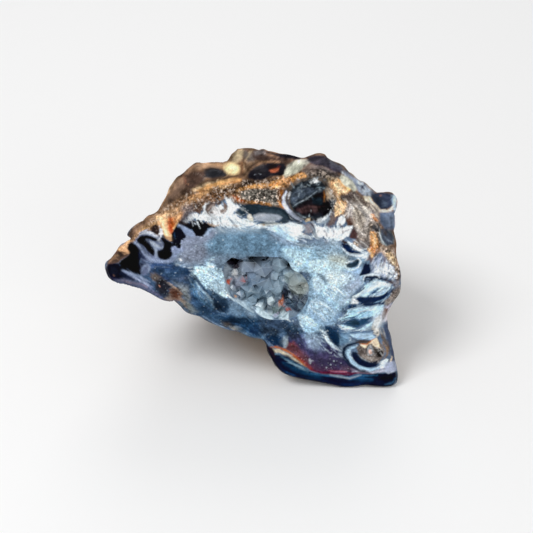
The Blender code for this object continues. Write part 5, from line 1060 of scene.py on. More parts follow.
    ("5C7088", 0, 1.8, 0.6, 0.8, (269.1, 343.1, 274.7, 347.3, 280.8, 348.2, 272.7, 347.7, 269.1, 346.1)),
)
# The glassy nodule in the crust, with painted highlights on its glassy top
EYE = (
    ("5E5650", 0, 1.6, 1, 1, (283.9, 191, 291, 183.9, 301.2, 178.8, 311.4, 175.7, 323.7, 177.8, 331.8, 184.9,
        336.9, 195.1, 336.9, 207.3, 331.8, 214.5, 321.6, 220.6, 311.4, 221.6, 299.2, 219.6, 289, 211.4, 282.9,
        201.2)),
    ("32383E", 0, 1, 0, 1, (290, 203.3, 289, 195.1, 293.1, 186.9, 301.2, 181.8, 311.4, 179.8, 321.6, 181.8,
        327.8, 189, 331.8, 197.1, 333.1, 205.3, 329.8, 213.7, 321.6, 218.1, 311.4, 219.1, 301.2, 217, 294.1,
        211.6)),
    ("434C58", 0, 1.2, 0, 1, (291, 201.4, 291, 193.1, 297.1, 188, 305.3, 184.9, 313.5, 188, 317.8, 190, 313.5,
        194.1, 305.3, 199.2, 297.1, 202.4, 292, 205.5)),
    ("545E6A", 0, 1.6, 0, 0.7, (292, 194.1, 297.1, 189.5, 303.3, 189, 305.3, 193.1, 297.1, 197.1, 292.6,
        199.2)),
    ("2A3038", 1, 0.8, 0, 0.7, (291, 197.1, 299.2, 195.1, 305.3, 191)),
    ("1D191E", 0, 0.9, 0, 1, (294.1, 207.6, 301.2, 203.3, 309.4, 198.4, 317.6, 193.1, 323.7, 191, 326.7,
        197.1, 331, 203.3, 331, 210.4, 325.7, 215.7, 317.6, 216.7, 310.4, 215.7, 301.2, 214.7, 296.1, 211.6)),
    ("3F2F30", 0, 1.8, 0, 0.85, (295.1, 209.6, 305.3, 205.5, 313.5, 205.5, 319.6, 207.6, 317.6, 213.7, 309.4,
        211.6, 301.2, 213.7)),
    ("22303A", 0, 1.4, 0, 0.9, (311.4, 197.3, 319.6, 197.3, 323.7, 201.4, 321.6, 205.5, 313.5, 203.5)),
    ("4A3634", 1.4, 1, 0, 0.7, (310.4, 206.3, 317.6, 207.3, 324.7, 206.3)),
    ("8B98A2", 1, 0.6, 0.5, 0.95, (293.1, 206.5, 297.1, 203.5, 305.3, 199.4, 311.4, 195.3, 317, 191)),
    ("C2CBD2", 0.8, 0.5, 0.5, 0.85, (300.2, 202.2, 305.3, 199.4, 310.4, 195.9)),
    ("8A5A2A", 2, 1.1, 0.3, 0.9, (323.7, 191, 324.5, 196.1, 324.2, 201.7)),
    ("B58A50", 1, 0.8, 0.3, 0.8, (326.7, 191.5, 328, 198.2)),
    ("161A20", 0, 1.1, 1, 0.9, (303.3, 183.9, 311.4, 184.9, 317.6, 185.9, 321.6, 184.9, 315.5, 188.5, 307.3,
        187.1)),
    # Painted highlights on the nodule's glassy top: this mark and the next two
    ("DCE1E3", 0, 0.9, 2.2, 0.95, (310.4, 179, 317.6, 178.8, 318.8, 181.8, 315.5, 183.9, 310.4, 183.1)),
    ("AEB9C0", 1, 0.7, 1, 0.85, (301.2, 185.1, 305.3, 187.1, 307.3, 184.9)),
    ("93A3AC", 0.9, 0.7, 1, 0.8, (306.3, 184.1, 310.4, 186.4)),
    ("7F929A", 0.9, 0.7, 1, 0.8, (315.5, 188, 319.6, 187.1, 323.9, 188)),
    ("8FA0A8", 0.9, 0.7, 1, 0.8, (297.1, 189, 301.2, 185.9, 303.3, 184.9)),
    ("8A9096", 0, 1.1, 2.2, 0.85, (328, 189.2, 331.8, 190.2, 336.1, 197.1, 336.1, 205.3, 333.1, 211.6, 330.8,
        205.3, 329.8, 197.1)),
    ("E2E6E4", 1, 0.7, 1.5, 0.85, (328.8, 191, 330.3, 195.1, 331.8, 200.2)),
    ("C9CDCC", 1, 0.7, 1.5, 0.8, (331.8, 201.2, 332.3, 206.3, 331.3, 210.4)),
    ("D3DAEC", 3.6, 0.9, 0.5, 1, (286.4, 191.5, 283.7, 196.6, 283.9, 203.3, 287.1, 209.4, 293.1, 215.7, 301.2,
        220.8)),
    ("F6F8FB", 2, 0.9, 0.8, 0.95, (290, 191.8, 288.8, 195.6, 288, 198.7)),
    ("5A6070", 0.9, 0.6, 0.2, 0.9, (289, 194.6, 287.4, 198.7, 288.2, 204.5, 291.2, 210.6)),
    ("B9C3D3", 1.3, 0.7, 0.5, 0.9, (290.7, 210.6, 297.1, 216.7, 303.5, 219.8)),
    ("1A1D24", 1.2, 0.8, 0.5, 0.9, (303.3, 217.8, 311.4, 219.8, 319.6, 218.8, 326.7, 215.7, 332, 210.6)),
    ("D9E2EC", 1.3, 0.7, 0.8, 0.9, (317.6, 220.6, 325.7, 218.4, 330, 213.7, 331.1, 211.4)),
    ("B9C6CC", 1.1, 0.6, 1, 0.95, (309.6, 210.4, 310.6, 212.7, 308.6, 216.7)),
    ("E0E6EA", 0.8, 0.5, 0.6, 0.9, (310.4, 209.9, 311.2, 211.4)),
    ("D6C3A4", 0, 0.9, 0.8, 0.9, (306.3, 218.8, 310.2, 217.6, 310.4, 220.6, 305.5, 221.8)),
    ("9AA6AE", 1, 0.7, 1, 0.8, (305.3, 217.6, 301.2, 216, 298.2, 213.5)),
    ("C9D2DA", 1.1, 0.7, 1.2, 0.85, (311.4, 221.6, 317.6, 222.9, 324.7, 221.6)),
)
# The lower lobe and its nodule
LOBE = (
    ("0A1226", 0, 1.1, 0, 1, (264.5, 339.5, 269.1, 346.6, 273.7, 348.4, 275.7, 353.5, 282.9, 359.6, 297.1,
        366.7, 311.4, 372.9, 321.6, 375.9, 342, 376.9, 352.2, 375.9, 367.6, 372.9, 382.9, 373.9, 395.1, 371.6,
        399.2, 380.8, 395.1, 391, 347.1, 392, 331.8, 386.9, 311.4, 382.9, 291, 379.8, 278.8, 373.7, 270.6,
        362.4, 264.5, 350.2, 261.4, 342)),
    ("281828", 0, 1.3, 0, 0.95, (267, 346.1, 271.6, 349, 275.9, 355.5, 274.9, 360.6, 270.6, 353.5)),
    ("12305A", 0, 2, 1.2, 0.95, (279.8, 360.6, 289, 362.7, 297.1, 367.8, 305.3, 372.9, 321.6, 376.9, 342, 380,
        350.2, 383.1, 347.1, 387.1, 331.8, 383.1, 311.4, 378, 293.1, 375.9, 282.9, 370.8, 278, 363.7)),
    ("2F5A88", 0, 1.8, 1, 0.85, (284.9, 368.8, 291, 369.8, 298.2, 373.9, 293.1, 375.9, 285.9, 372.9)),
    ("8FB2CC", 2.2, 1.1, 1, 0.95, (275.9, 353.5, 282.9, 356.5, 291, 360.6, 301.2, 366.7, 311.4, 371.8, 321.6,
        373.9)),
    ("CFC4AE", 0, 1, 0.8, 0.95, (271.4, 348.4, 278.8, 348.2, 283.9, 351.2, 293.1, 356.5, 301.2, 362.7, 305.8,
        367, 297.1, 362.7, 288, 357.6, 280.8, 353.5, 274.7, 352.4)),
    ("9A8A6C", 1, 0.8, 0.4, 0.9, (293.1, 356.5, 301.2, 362.7, 307.3, 367.8)),
    ("C8742F", 1.9, 1.1, 0.4, 0.95, (270.6, 347.1, 278.8, 346.9, 284.9, 350, 293.1, 354.5, 300.2, 360.4,
        305.5, 365.7)),
    ("A23C28", 2.3, 1.1, 0.4, 0.95, (297.1, 355.8, 305.3, 362.7, 311.4, 369.4, 316, 371.8)),
    ("52103A", 2, 1, 0.4, 0.95, (311.4, 369.6, 321.6, 372.7, 331.8, 372.9, 342, 373.9, 348.2, 375.9, 355.3,
        372.9, 362.4, 372.7)),
    ("B86A70", 0.9, 0.7, 0.4, 0.9, (327.8, 370.6, 336.9, 371.1, 346.3, 371.6)),
    ("8E9C9C", 0.9, 0.7, 0.4, 0.85, (319.6, 373.9, 331.8, 374.9, 342, 375.9, 350.2, 377.3)),
    ("8A8498", 0, 2, 0.6, 0.85, (351.2, 367.8, 362.4, 368.4, 373.7, 371.6, 352.2, 371.8)),
    ("5C93C0", 1.8, 1.2, 0.6, 0.9, (350.2, 376.9, 357.3, 375.9, 365.5, 375.9, 371.1, 376.9)),
    ("174A7C", 0, 2, 1, 0.9, (347.1, 379, 357.3, 378, 369.6, 378, 368.8, 383.1, 357.3, 385.1, 348.2, 383.1)),
    ("0A0C14", 2.6, 1.4, 0.4, 0.95, (371.6, 374.9, 382.9, 375.9, 395.1, 372.9)),
    ("A5A5B5", 0, 1.6, 0.6, 0.95, (372.7, 371.6, 382.9, 366.5, 392, 365, 394.3, 370.6, 382.9, 371.8)),
    ("BABBCA", 1.7, 1, 0.5, 0.9, (352.2, 371.6, 362.4, 371.1, 372.7, 372.7, 382.9, 370.8, 394.3, 369.4)),
    ("8E6A78", 1, 0.8, 0.4, 0.7, (354.3, 372.4, 362.4, 372.7, 371.6, 373.5)),
    ("4A2450", 1.3, 0.9, 0, 0.85, (331.8, 384.1, 340, 386.9, 347.1, 387.8)),
    ("8494A8", 1.4, 1, 0, 0.8, (396.1, 376.9, 396.3, 381.8, 393.1, 386.9)),
    ("3C3E5C", 0, 2, 0, 0.9, (391, 350.2, 393.5, 350.2, 394.6, 362.4, 395.6, 370.6, 393.1, 369.6, 392,
        360.4)),
    ("16263C", 1.9, 0.9, 0.5, 1, (356.5, 343.1, 348.2, 345.1, 344.1, 348.4, 343.1, 353.5, 346.1, 359.6, 352.2,
        364.7, 358.4, 367.8, 365.5, 370.8)),
    ("5E7488", 1, 0.8, 0.4, 0.8, (357.3, 344.1, 349.7, 346.3, 345.6, 350.2)),
    ("A3C0D4", 2.9, 1.1, 0.6, 1, (357.3, 346.3, 350.2, 348.4, 347.3, 352.4, 349.2, 357.6, 355.3, 363.7, 362.4,
        367.8, 370.6, 369.6, 379, 368.4)),
    ("D9E8F0", 1, 0.8, 0.5, 0.8, (349.7, 351.2, 350.2, 356.3, 355.3, 361.4, 360.4, 365)),
    ("0C1F3D", 0, 0.9, 0.8, 1, (351.2, 354.5, 355.3, 354.3, 358.4, 358.6, 364.5, 362.7, 370.6, 364.2, 378,
        364, 375.9, 367.2, 366.5, 367.2, 358.4, 364.7, 353.3, 359.6)),
    ("7D7470", 0, 1, 0.8, 1, (356.3, 347.3, 360.4, 343.1, 368.6, 341, 376.7, 340, 382.9, 344.1, 385.1, 350.2,
        384.1, 356.3, 380, 361.4, 374.7, 363.7, 367.6, 361.6, 360.4, 357.6, 357.3, 352.4)),
    ("4A3E38", 0, 1, 0.6, 0.9, (356.1, 342.2, 360.4, 339.8, 370.8, 340, 369.6, 341.2, 360.4, 344.3)),
    ("A39A92", 0, 1.2, 1.2, 0.8, (361.4, 354.3, 366.5, 355.3, 374.7, 357.3, 376.9, 360.6, 372.7, 361.6, 364.5,
        358.4)),
    ("5A524E", 0, 1, 1, 0.8, (358.4, 348.2, 362.4, 349.2, 364.5, 353.3, 360.4, 355.3, 357.3, 352.2)),
    ("F5E2C6", 0, 0.8, 0.8, 1, (359.6, 344.1, 366.5, 345.3, 370.6, 342.2, 371.6, 340, 376.9, 337.8, 380,
        345.1, 381, 348.4, 376.7, 348.2, 373.7, 346.1, 371.6, 344.1, 367.6, 346.3, 365.5, 348.4, 362.4,
        347.3)),
    ("C77A44", 0.9, 0.7, 0.4, 0.9, (359.2, 343.6, 366.5, 344.6, 371.6, 340.5, 374.9, 338.8)),
    ("4C4844", 0, 1, 0.4, 0.9, (374.5, 348.4, 380, 348.4, 382.9, 352.2, 381.3, 357.3, 376.7, 356.5, 374.5,
        353.3)),
    ("241E1C", 0, 0.9, 0.3, 0.95, (376.7, 351.4, 381.8, 350.4, 383.1, 353.5, 380.8, 357.3, 376.9, 356.5)),
    ("3A3A3C", 1, 0.6, 0.3, 0.9, (366.1, 353.3, 366.5, 348.4, 368.8, 344.9, 371.8, 344.5, 374.1, 347.3)),
    ("969A9E", 0, 0.8, 0.3, 1, (367, 348.4, 368.8, 345.9, 371.6, 345.9, 373.3, 348.4, 373.9, 353.3, 371.6,
        356.1, 367.8, 355.3, 366.7, 351.4)),
    ("E8C4B4", 0, 0.8, 0.3, 1, (368.6, 349.9, 371.1, 349.4, 372.2, 353.3, 369.8, 354.5, 368.2, 352.2)),
    ("8F7355", 2.6, 1.4, 0.4, 0.95, (382.9, 342.2, 387.1, 348.4, 387.1, 354.5, 384.7, 358.6)),
    ("5C4C40", 1, 0.8, 0.4, 0.8, (384.9, 342, 389.2, 348.2, 389.5, 353.3)),
    ("E6F0F5", 0, 1.2, 1.4, 0.95, (381.8, 361.6, 385.9, 358.4, 388.2, 359.4, 387.1, 365.5, 381.8, 368.8,
        378.8, 367.8, 379.8, 363.7)),
    ("AEB8BE", 1, 0.7, 0.8, 0.85, (358.4, 355.5, 363.5, 359.4, 368.8, 361.9)),
    ("E6D2B6", 1.3, 0.7, 0.8, 0.95, (390.2, 354.5, 392, 357.6, 390, 363.7)),
    ("3A2E28", 0.9, 0.6, 0.3, 0.85, (388.8, 358.9, 388.5, 363.7)),
    ("E6F0F4", 0, 0.7, 0.8, 1, (307.6, 361.4, 309.6, 358.4, 311, 359.9, 313.7, 361.2, 311.4, 362.4, 310.4,
        364.1, 309.2, 362.2)),
)

# Later touches all over the face, the crust and the rind, laid last; some on the rind are painted highlights
# on its lumps
TOUCH = (
    ("DDB08A", 0, 1, 0.5, 0.95, (119.5, 249.5, 123, 244, 127.5, 241, 129.5, 242.5, 127.5, 247.5, 130, 252,
        129, 254, 122.5, 251.5)),
    ("F0C8A0", 0, 1, 0.3, 0.7, (122, 248.5, 124.5, 244.5, 127.5, 243.5, 126.5, 247.5, 124.5, 249.5)),
    ("5A4A42", 0, 1.5, 0.8, 0.95, (108.5, 263, 113, 256, 118, 252, 122.5, 252, 127.5, 253.5, 128, 256,
        124, 257.5, 120, 260.5, 118, 263.5, 113.5, 263)),
    ("A28468", 1.5, 1, 0.5, 0.8, (110, 261, 113.5, 257, 117.5, 255.5, 121, 254)),
    ("C09A78", 1.2, 0.8, 0.5, 0.7, (121, 252.5, 124.5, 254, 128.5, 253.5)),
    ("2C2422", 0, 1.2, 0.8, 0.85, (118.5, 251.5, 122.5, 252.5, 123, 255, 120.5, 257, 118, 254.5)),
    ("9A7C66", 1.2, 0.9, 0.4, 0.8, (108.5, 263, 112, 259.5, 116, 258.5, 119.5, 260.5)),
    ("0F1322", 0, 1.4, 0.6, 1, (106.5, 266, 109, 263.5, 117.5, 264, 121.5, 267.5, 122, 273, 126.5, 276.5,
        124, 279, 117.5, 278.5, 111, 276.5, 107, 271.5)),
    ("1E2130", 0, 2, 0.5, 0.7, (110, 267.5, 113.5, 266.5, 117.5, 271, 115.5, 275.5, 111, 274)),
    ("8A6A5C", 1.6, 1, 0, 0.6, (113.5, 275, 114.5, 276)),
    ("5F667C", 0, 2.2, 0.8, 0.8, (116.5, 279.5, 127.5, 278.5, 136.5, 281, 147.5, 288.5, 154.5, 294.5, 151,
        294.5, 140, 288.5, 127.5, 284.5, 118, 282.5, 112.5, 280.5)),
    ("7B7486", 1.6, 1.4, 0.5, 0.7, (118, 280, 127.5, 281.5, 136.5, 284.5)),
    ("2A3144", 0, 3, 0.5, 0.85, (136.5, 239, 140.5, 235.5, 147.5, 234.5, 154.5, 237.5, 158.5, 240.5,
        156.5, 244, 154.5, 241.5, 151, 240, 154.5, 249.5, 155, 255.5, 151, 257, 145.5, 250, 139, 244)),
    ("2A3144", 0, 3, 0.5, 0.8, (158, 251, 163.5, 248.5, 163.5, 240, 167.5, 240, 172.5, 241.5, 171, 249.5,
        173.5, 254.5, 172, 258, 166.5, 260, 162, 259.5, 157.5, 257)),
    ("0A0C14", 0, 0.8, 0.7, 1, (137, 239.5, 140, 236, 145.5, 235, 151, 235.5, 156.5, 239, 158, 240.5,
        153.5, 240.5, 149.5, 239.5, 146, 239, 147.5, 242, 151, 246, 154.5, 250.5, 154.5, 255, 152.5, 256,
        149, 253, 145.5, 248.5, 141, 244.5, 137.5, 242.5)),
    ("0A0C14", 0, 0.7, 0.6, 1, (162.5, 239.5, 165.5, 238.5, 167.5, 241.5, 172, 241.5, 170.5, 245.5, 170,
        250, 172.5, 254, 172, 256.5, 167.5, 259.5, 162.5, 259, 158, 256.5, 158, 253, 160, 251, 164, 249.5,
        164.5, 244.5)),
    ("0C1020", 0, 0.7, 0.7, 1, (175.5, 227.5, 179, 227.5, 182.5, 231, 185.5, 236.5, 182, 239.5, 180, 243,
        181, 246.5, 179, 248.5, 176.5, 246.5, 172, 244, 172.5, 241.5, 175.5, 239.5, 174, 236.5, 172.5,
        233)),
    ("4F6E94", 1.4, 0.9, 0.5, 0.7, (174, 232, 174, 235.5, 175, 238.5)),
    ("0A0C14", 0, 0.8, 0.8, 1, (128, 244, 132, 243, 136.5, 244.5, 140, 251, 140.5, 258.5, 139.5, 262.5,
        140, 267.5, 139.5, 275, 133.5, 273.5, 127.5, 270, 120.5, 269.5, 119.5, 263, 122, 260, 127.5, 256,
        130, 252, 127.5, 248.5)),
    ("20283C", 0, 2.5, 0.8, 0.7, (140, 262, 145.5, 262, 147.5, 264.5, 142, 267.5, 140, 265.5)),
    ("8490A8", 3, 1.6, 1.2, 0.9, (134.5, 242, 139, 246, 143.5, 250.5, 148, 256, 151.5, 259.5)),
    ("A4AEC0", 1.2, 0.9, 0.8, 0.8, (135.5, 242.5, 140, 246.5, 145.5, 252, 149.5, 257.5)),
    ("8C98AC", 3.4, 1.6, 2, 0.9, (147, 239.5, 151, 243, 156.5, 246.5, 162.5, 249)),
    ("B4BECC", 1.3, 0.8, 1.2, 0.8, (148, 239.5, 152.5, 244, 159, 247)),
    ("9AA6B8", 2, 1.4, 1.6, 0.8, (154.5, 248.5, 156.5, 252, 156.5, 256.5, 153.5, 259.5)),
    ("A9B3C3", 2.6, 1.2, 1, 0.9, (140, 234, 145.5, 232, 152, 233.5, 157.5, 237.5, 159.5, 240.5)),
    ("E0E4EA", 1.6, 0.8, 0.8, 0.85, (153.5, 234, 158, 235.5, 160.5, 233, 159.5, 229)),
    ("D4DAE2", 1.3, 0.8, 0.8, 0.8, (158, 240, 161, 237, 162.5, 234, 162, 230)),
    ("4A3A34", 0, 1.4, 0.6, 0.9, (150.5, 230, 154.5, 225.5, 158, 227.5, 159.5, 232, 158, 235.5, 154.5,
        234)),
    ("8A98B2", 2.8, 1.6, 0.8, 0.85, (151, 259.5, 158, 261, 167.5, 261.5, 172.5, 258, 175.5, 252, 181,
        249.5)),
    ("7886A0", 3, 2.2, 1.2, 0.8, (122.5, 270.5, 130, 273, 138, 276.5, 145.5, 280.5)),
    ("95A1B8", 1.3, 1.2, 0.8, 0.7, (125.5, 271.5, 134.5, 274.5, 142.5, 279)),
    ("66708A", 0, 1.8, 1, 0.85, (140.5, 270, 142.5, 266.5, 147.5, 265.5, 149.5, 267.5, 147.5, 274, 142.5,
        276, 141, 274)),
    ("10182C", 0, 2, 1, 0.7, (139, 263, 145.5, 263, 148, 264, 143.5, 265.5, 140, 267.5)),
    ("6E6560", 0, 1.8, 0.6, 0.8, (152, 275.5, 155.5, 274.5, 158, 277.5, 154.5, 281, 152.5, 279.5)),
    ("23262F", 0, 2.2, 0.8, 0.85, (156.5, 280, 163.5, 280, 167.5, 285.5, 166.5, 293, 160, 294.5, 157.5,
        289.5)),
    ("C99C8C", 1.8, 0.9, 0, 0.8, (159.5, 285.5, 160, 286)),
    ("8C5240", 0, 1.8, 0.6, 0.85, (172, 291, 176.5, 290, 180, 294.5, 179, 299.5, 174.5, 297.5)),
    ("9C9088", 1.3, 1, 0.5, 0.75, (165, 281.5, 171, 286, 177.5, 291.5, 182, 294.5)),
    ("A08C80", 0, 2, 0.8, 0.6, (177.5, 294, 182, 297.5, 186.5, 302, 182, 302, 176.5, 299.5)),
    ("31465A", 0, 2.5, 1, 0.6, (163.5, 273, 172.5, 271, 182, 273, 180, 278.5, 171, 280)),
    ("1E2E40", 1.6, 1.5, 0.8, 0.7, (163.5, 276.5, 172.5, 273, 178, 275.5, 183.5, 274.5)),
    ("0D1B36", 0, 1.6, 0.8, 1, (278, 354, 288, 356, 299.5, 363.5, 311, 371.5, 322.5, 374, 336.5, 375.5,
        351, 376, 362.5, 375, 377, 375, 394.5, 372.5, 396.5, 379.5, 391, 385.5, 377, 385.5, 365.5, 384,
        351, 387, 339.5, 385.5, 322.5, 380.5, 302, 377.5, 288, 373, 279, 366, 274.5, 358)),
    ("17405F", 5, 2.6, 1.2, 0.8, (283.5, 363.5, 295, 369.5, 309.5, 375, 322.5, 377.5)),
    ("56788E", 2.4, 1.6, 1, 0.85, (281.5, 356.5, 295, 364, 308, 371)),
    ("8FA6B4", 1.2, 1, 0.5, 0.7, (285, 359.5, 296.5, 365.5, 305, 369.5)),
    ("3A6A90", 1.6, 1.2, 0.5, 0.8, (311, 373.5, 326.5, 375.5, 348, 377.5, 362.5, 376, 377, 375)),
    ("2E6490", 4, 2.4, 0.8, 0.75, (349.5, 379, 359.5, 378, 371, 379)),
    ("0A1228", 1.6, 1.2, 0.5, 0.8, (277.5, 360, 285, 369.5, 299.5, 375, 313.5, 377.5)),
    ("16305A", 3, 1.8, 0.5, 0.7, (342.5, 384, 354, 385.5, 362.5, 382.5)),
    ("050A1A", 0, 2, 0.5, 0.9, (379.5, 376, 391, 374, 394.5, 375, 393.5, 380, 385.5, 381.5, 378, 380)),
    ("4A7090", 1.6, 1.4, 0.5, 0.7, (385.5, 384.5, 393, 382.5, 395.5, 378.5)),
    ("0A1430", 3, 1.5, 0.5, 0.8, (322.5, 377, 336.5, 381.5, 348, 382)),
    ("6A1E3A", 2, 1.4, 0.4, 0.85, (309.5, 369.5, 322.5, 372.5, 342.5, 373.5, 355.5, 373)),
    ("93402E", 0, 3, 0.8, 0.6, (290.5, 350.5, 296.5, 353.5, 308, 363.5, 311, 368, 302, 362, 293.5, 355)),
    ("4A3A58", 0, 5, 1, 0.5, (309.5, 356.5, 331, 353.5, 342.5, 362, 339.5, 369.5, 319.5, 369.5, 309.5,
        365)),
    ("B27A92", 1.2, 1, 0.3, 0.7, (331, 371.5, 339.5, 372, 346.5, 371.5)),
    ("8A9AB8", 0, 3, 1.5, 0.45, (305, 340.5, 316.5, 343.5, 325, 352, 316.5, 353.5, 308, 348)),
    ("2C3B4A", 0, 2.5, 1, 0.8, (213.5, 299.5, 220, 298.5, 228, 301.5, 229, 307, 224.5, 311.5, 218, 309.5,
        213.5, 305)),
    ("17324C", 0, 3, 1.5, 0.85, (201, 301.5, 206.5, 307, 213.5, 313, 224.5, 315, 232, 318.5, 231, 321.5,
        222, 319.5, 213.5, 317, 205.5, 313, 201, 308.5)),
    ("12304C", 0, 3, 1.5, 0.85, (230, 317, 240, 319.5, 251, 321.5, 260, 326, 264.5, 333, 258, 335, 249,
        331.5, 240, 325, 231, 321.5)),
    ("14304A", 0, 3, 1.5, 0.8, (266.5, 331.5, 275.5, 334, 282, 337, 283.5, 343, 275.5, 344, 269, 340.5)),
    ("7F99AC", 0, 3, 1.5, 0.55, (226.5, 301.5, 235.5, 304, 242, 310.5, 242, 317, 235.5, 317, 229, 310.5)),
    ("7D94A6", 0, 2, 1.5, 0.5, (243.5, 305, 252, 308.5, 256.5, 314, 251, 317, 245.5, 314)),
    ("6A625C", 0, 2, 0.5, 0.75, (222, 321.5, 229, 320.5, 232, 325, 226.5, 327)),
    ("9A968C", 0, 1.5, 0.5, 0.6, (230, 327, 236.5, 325.5, 242, 328.5, 238, 330.5, 232, 330)),
    ("3C4A5C", 0, 2.5, 1, 0.7, (264.5, 320.5, 275.5, 318.5, 286.5, 323, 289, 329.5, 278, 329.5, 268,
        327)),
    ("0A1A3A", 0, 1.6, 0.8, 0.8, (250, 329, 252, 326, 254.5, 328.5, 253, 332, 250, 331.5)),
    ("8FA9BC", 1.2, 1.2, 1, 0.7, (196.5, 287, 202, 295, 210, 300.5, 214.5, 308.5)),
    ("4F7490", 3, 2, 1, 0.7, (192, 289.5, 199, 298.5, 208, 306, 212, 309.5)),
    ("AAB8BE", 0, 1.2, 1, 0.6, (279.5, 340.5, 283.5, 337, 286.5, 339.5, 284.5, 344, 280.5, 345)),
    ("3B3432", 0, 2, 0.5, 0.85, (203, 169, 210.5, 167.5, 221, 169, 229, 172.5, 226, 175.5, 215, 175.5,
        206, 174)),
    ("44362E", 0, 2.5, 0.8, 0.8, (167.5, 201.5, 172.5, 193, 182, 188.5, 188, 185.5, 194, 187, 186.5, 193,
        177.5, 199, 169.5, 204.5)),
    ("2B272D", 0, 1.5, 0.5, 0.9, (247, 176.5, 250, 170.5, 259, 166, 271, 162.5, 279, 164, 282, 170.5, 276,
        175, 265, 178, 254.5, 179.5)),
    ("17141A", 0, 1.2, 0.5, 0.95, (276.5, 166, 282, 164, 285, 169, 283.5, 174, 279, 175.5, 279, 170.5)),
    ("BF6A50", 0, 0.8, 0.3, 0.95, (269, 169.5, 274, 168, 279, 167.5, 279, 170.5, 276, 172.5, 270.5, 172)),
    ("4E3E34", 0, 2, 0.8, 0.7, (241, 175, 247, 167.5, 256, 161, 265, 159.5, 259, 165, 250, 169.5, 245.5,
        176.5)),
    ("D2BC94", 0, 2, 0.5, 0.75, (224, 167.5, 229, 162.5, 235, 162.5, 239.5, 167.5, 238, 172.5, 232, 174,
        226, 171)),
    ("D9A970", 0, 1.5, 0.8, 0.7, (195.5, 191, 207.5, 184, 222.5, 180.5, 235, 178, 241, 178.5, 239.5,
        181.5, 226, 183.5, 210.5, 187.5, 200, 192.5)),
    ("3A302C", 0, 1.8, 0.5, 0.8, (185.5, 181, 189.5, 179.5, 192.5, 184, 189.5, 187.5, 186.5, 186)),
    ("B09078", 0, 2, 0.5, 0.6, (176, 184, 180.5, 178, 185.5, 176.5, 184, 182.5, 179, 187)),
    ("8F7058", 0, 2.5, 0.5, 0.6, (183.5, 175, 192.5, 169, 201.5, 166, 200, 170.5, 191, 176.5)),
    ("B9A88C", 0, 2, 0.5, 0.7, (232.5, 159.5, 236.5, 150.5, 242.5, 149.5, 247, 152, 242.5, 158, 237,
        162.5)),
    ("6E5C4E", 1.6, 1.4, 0.5, 0.8, (247, 151.5, 244.5, 156.5, 241, 162)),
    ("C8B694", 1.8, 1.4, 0.5, 0.7, (250, 151, 248, 156.5, 245.5, 161)),
    ("5C4A40", 0, 2.5, 0.6, 0.7, (248.5, 159.5, 254.5, 155, 265, 155, 274, 158, 268, 161, 256, 161)),
    ("1C1A20", 0, 1.4, 0.3, 0.85, (282, 155, 289.5, 154.5, 300, 157, 300, 159.5, 291, 158.5, 283.5,
        157.5)),
    ("43342C", 1.8, 1.5, 0.6, 0.7, (195.5, 187, 204.5, 182.5, 216.5, 179.5, 229, 177.5, 241, 175.5)),
    ("2E2622", 1.4, 1.2, 0.8, 0.7, (186.5, 197.5, 195.5, 192.5, 207.5, 190)),
    ("5D5A66", 0, 2.5, 0.6, 0.7, (306, 159.5, 314, 156.5, 323.5, 156.5, 331, 161.5, 327, 165, 319.5,
        162.5, 309, 163.5)),
    ("28242C", 0, 1.5, 0.5, 0.85, (308, 160.5, 314, 156.5, 319.5, 155.5, 324.5, 157, 319.5, 159, 313,
        161.5)),
    ("A8B4C0", 0, 2.5, 0.6, 0.6, (330.5, 161, 335, 163.5, 343, 168, 341.5, 171, 334, 166)),
    ("3C4050", 0, 2, 0.5, 0.7, (335, 164.5, 341.5, 167, 348, 172, 345.5, 173.5, 339, 169.5)),
    ("DADFE4", 1.6, 1.2, 0.5, 0.8, (341.5, 171.5, 345.5, 175, 351, 179.5, 357.5, 184.5)),
    ("8C97A6", 0, 2, 0.8, 0.75, (345.5, 171, 353.5, 176.5, 364, 184.5, 374.5, 191, 372, 194, 361.5, 188.5,
        351, 182)),
    ("E8EDF1", 1.3, 1, 0.5, 0.7, (358.5, 186, 364, 191, 369, 195)),
    ("DCD2BC", 0, 1.2, 0.6, 0.85, (364, 197, 368, 196.5, 372, 199.5, 370.5, 202.5, 366, 201)),
    ("E4D8C4", 1.3, 0.9, 0.4, 0.85, (370.5, 202.5, 376, 205.5, 379, 211, 385, 211.5, 391, 210)),
    ("E8ECF0", 1.6, 1, 0.4, 0.8, (391, 210, 394, 204.5, 394.5, 197.5)),
    ("3A4256", 0, 1.6, 0.4, 0.8, (372, 197.5, 377, 194, 385, 194.5, 391.5, 196.5, 391.5, 204.5, 389, 208,
        382.5, 209, 377, 204.5)),
    ("C88E7C", 1.6, 0.9, 0, 0.8, (380, 195.5, 381, 196)),
    ("6F819A", 0, 2, 0.6, 0.75, (380.5, 213.5, 389, 213, 394, 218.5, 393, 225.5, 385, 226.5, 381, 220)),
    ("C9D3DE", 0, 1.6, 0.6, 0.6, (386.5, 215.5, 389.5, 215, 391, 220, 388.5, 221.5)),
    ("6D7C80", 0, 1.5, 0.5, 0.8, (381, 232, 385, 229, 390, 232, 392.5, 238.5, 390, 245, 385, 245.5, 381,
        241)),
    ("A9B6BA", 1.1, 0.9, 0.4, 0.6, (381.5, 230.5, 380.5, 237, 382.5, 243.5, 387.5, 246)),
    ("5A4A42", 0, 1.2, 0.6, 0.7, (382.5, 229, 385, 228, 387, 230.5, 385, 233)),
    ("4A423E", 0, 2, 1, 0.6, (343, 192.5, 351, 192.5, 358.5, 199, 364, 208, 358.5, 213.5, 351, 205.5,
        345.5, 200.5)),
    ("C9BFB0", 0, 1.2, 1.5, 0.6, (361.5, 205.5, 366.5, 204.5, 372, 209.5, 370.5, 215, 364, 213.5)),
    ("E6DCCB", 1.2, 0.9, 1, 0.7, (364, 201.5, 370.5, 205.5, 376, 212, 378.5, 218.5)),
    ("6B5448", 0, 1.6, 0.8, 0.7, (348, 218.5, 353.5, 216, 357.5, 221.5, 353.5, 226.5, 349.5, 225.5)),
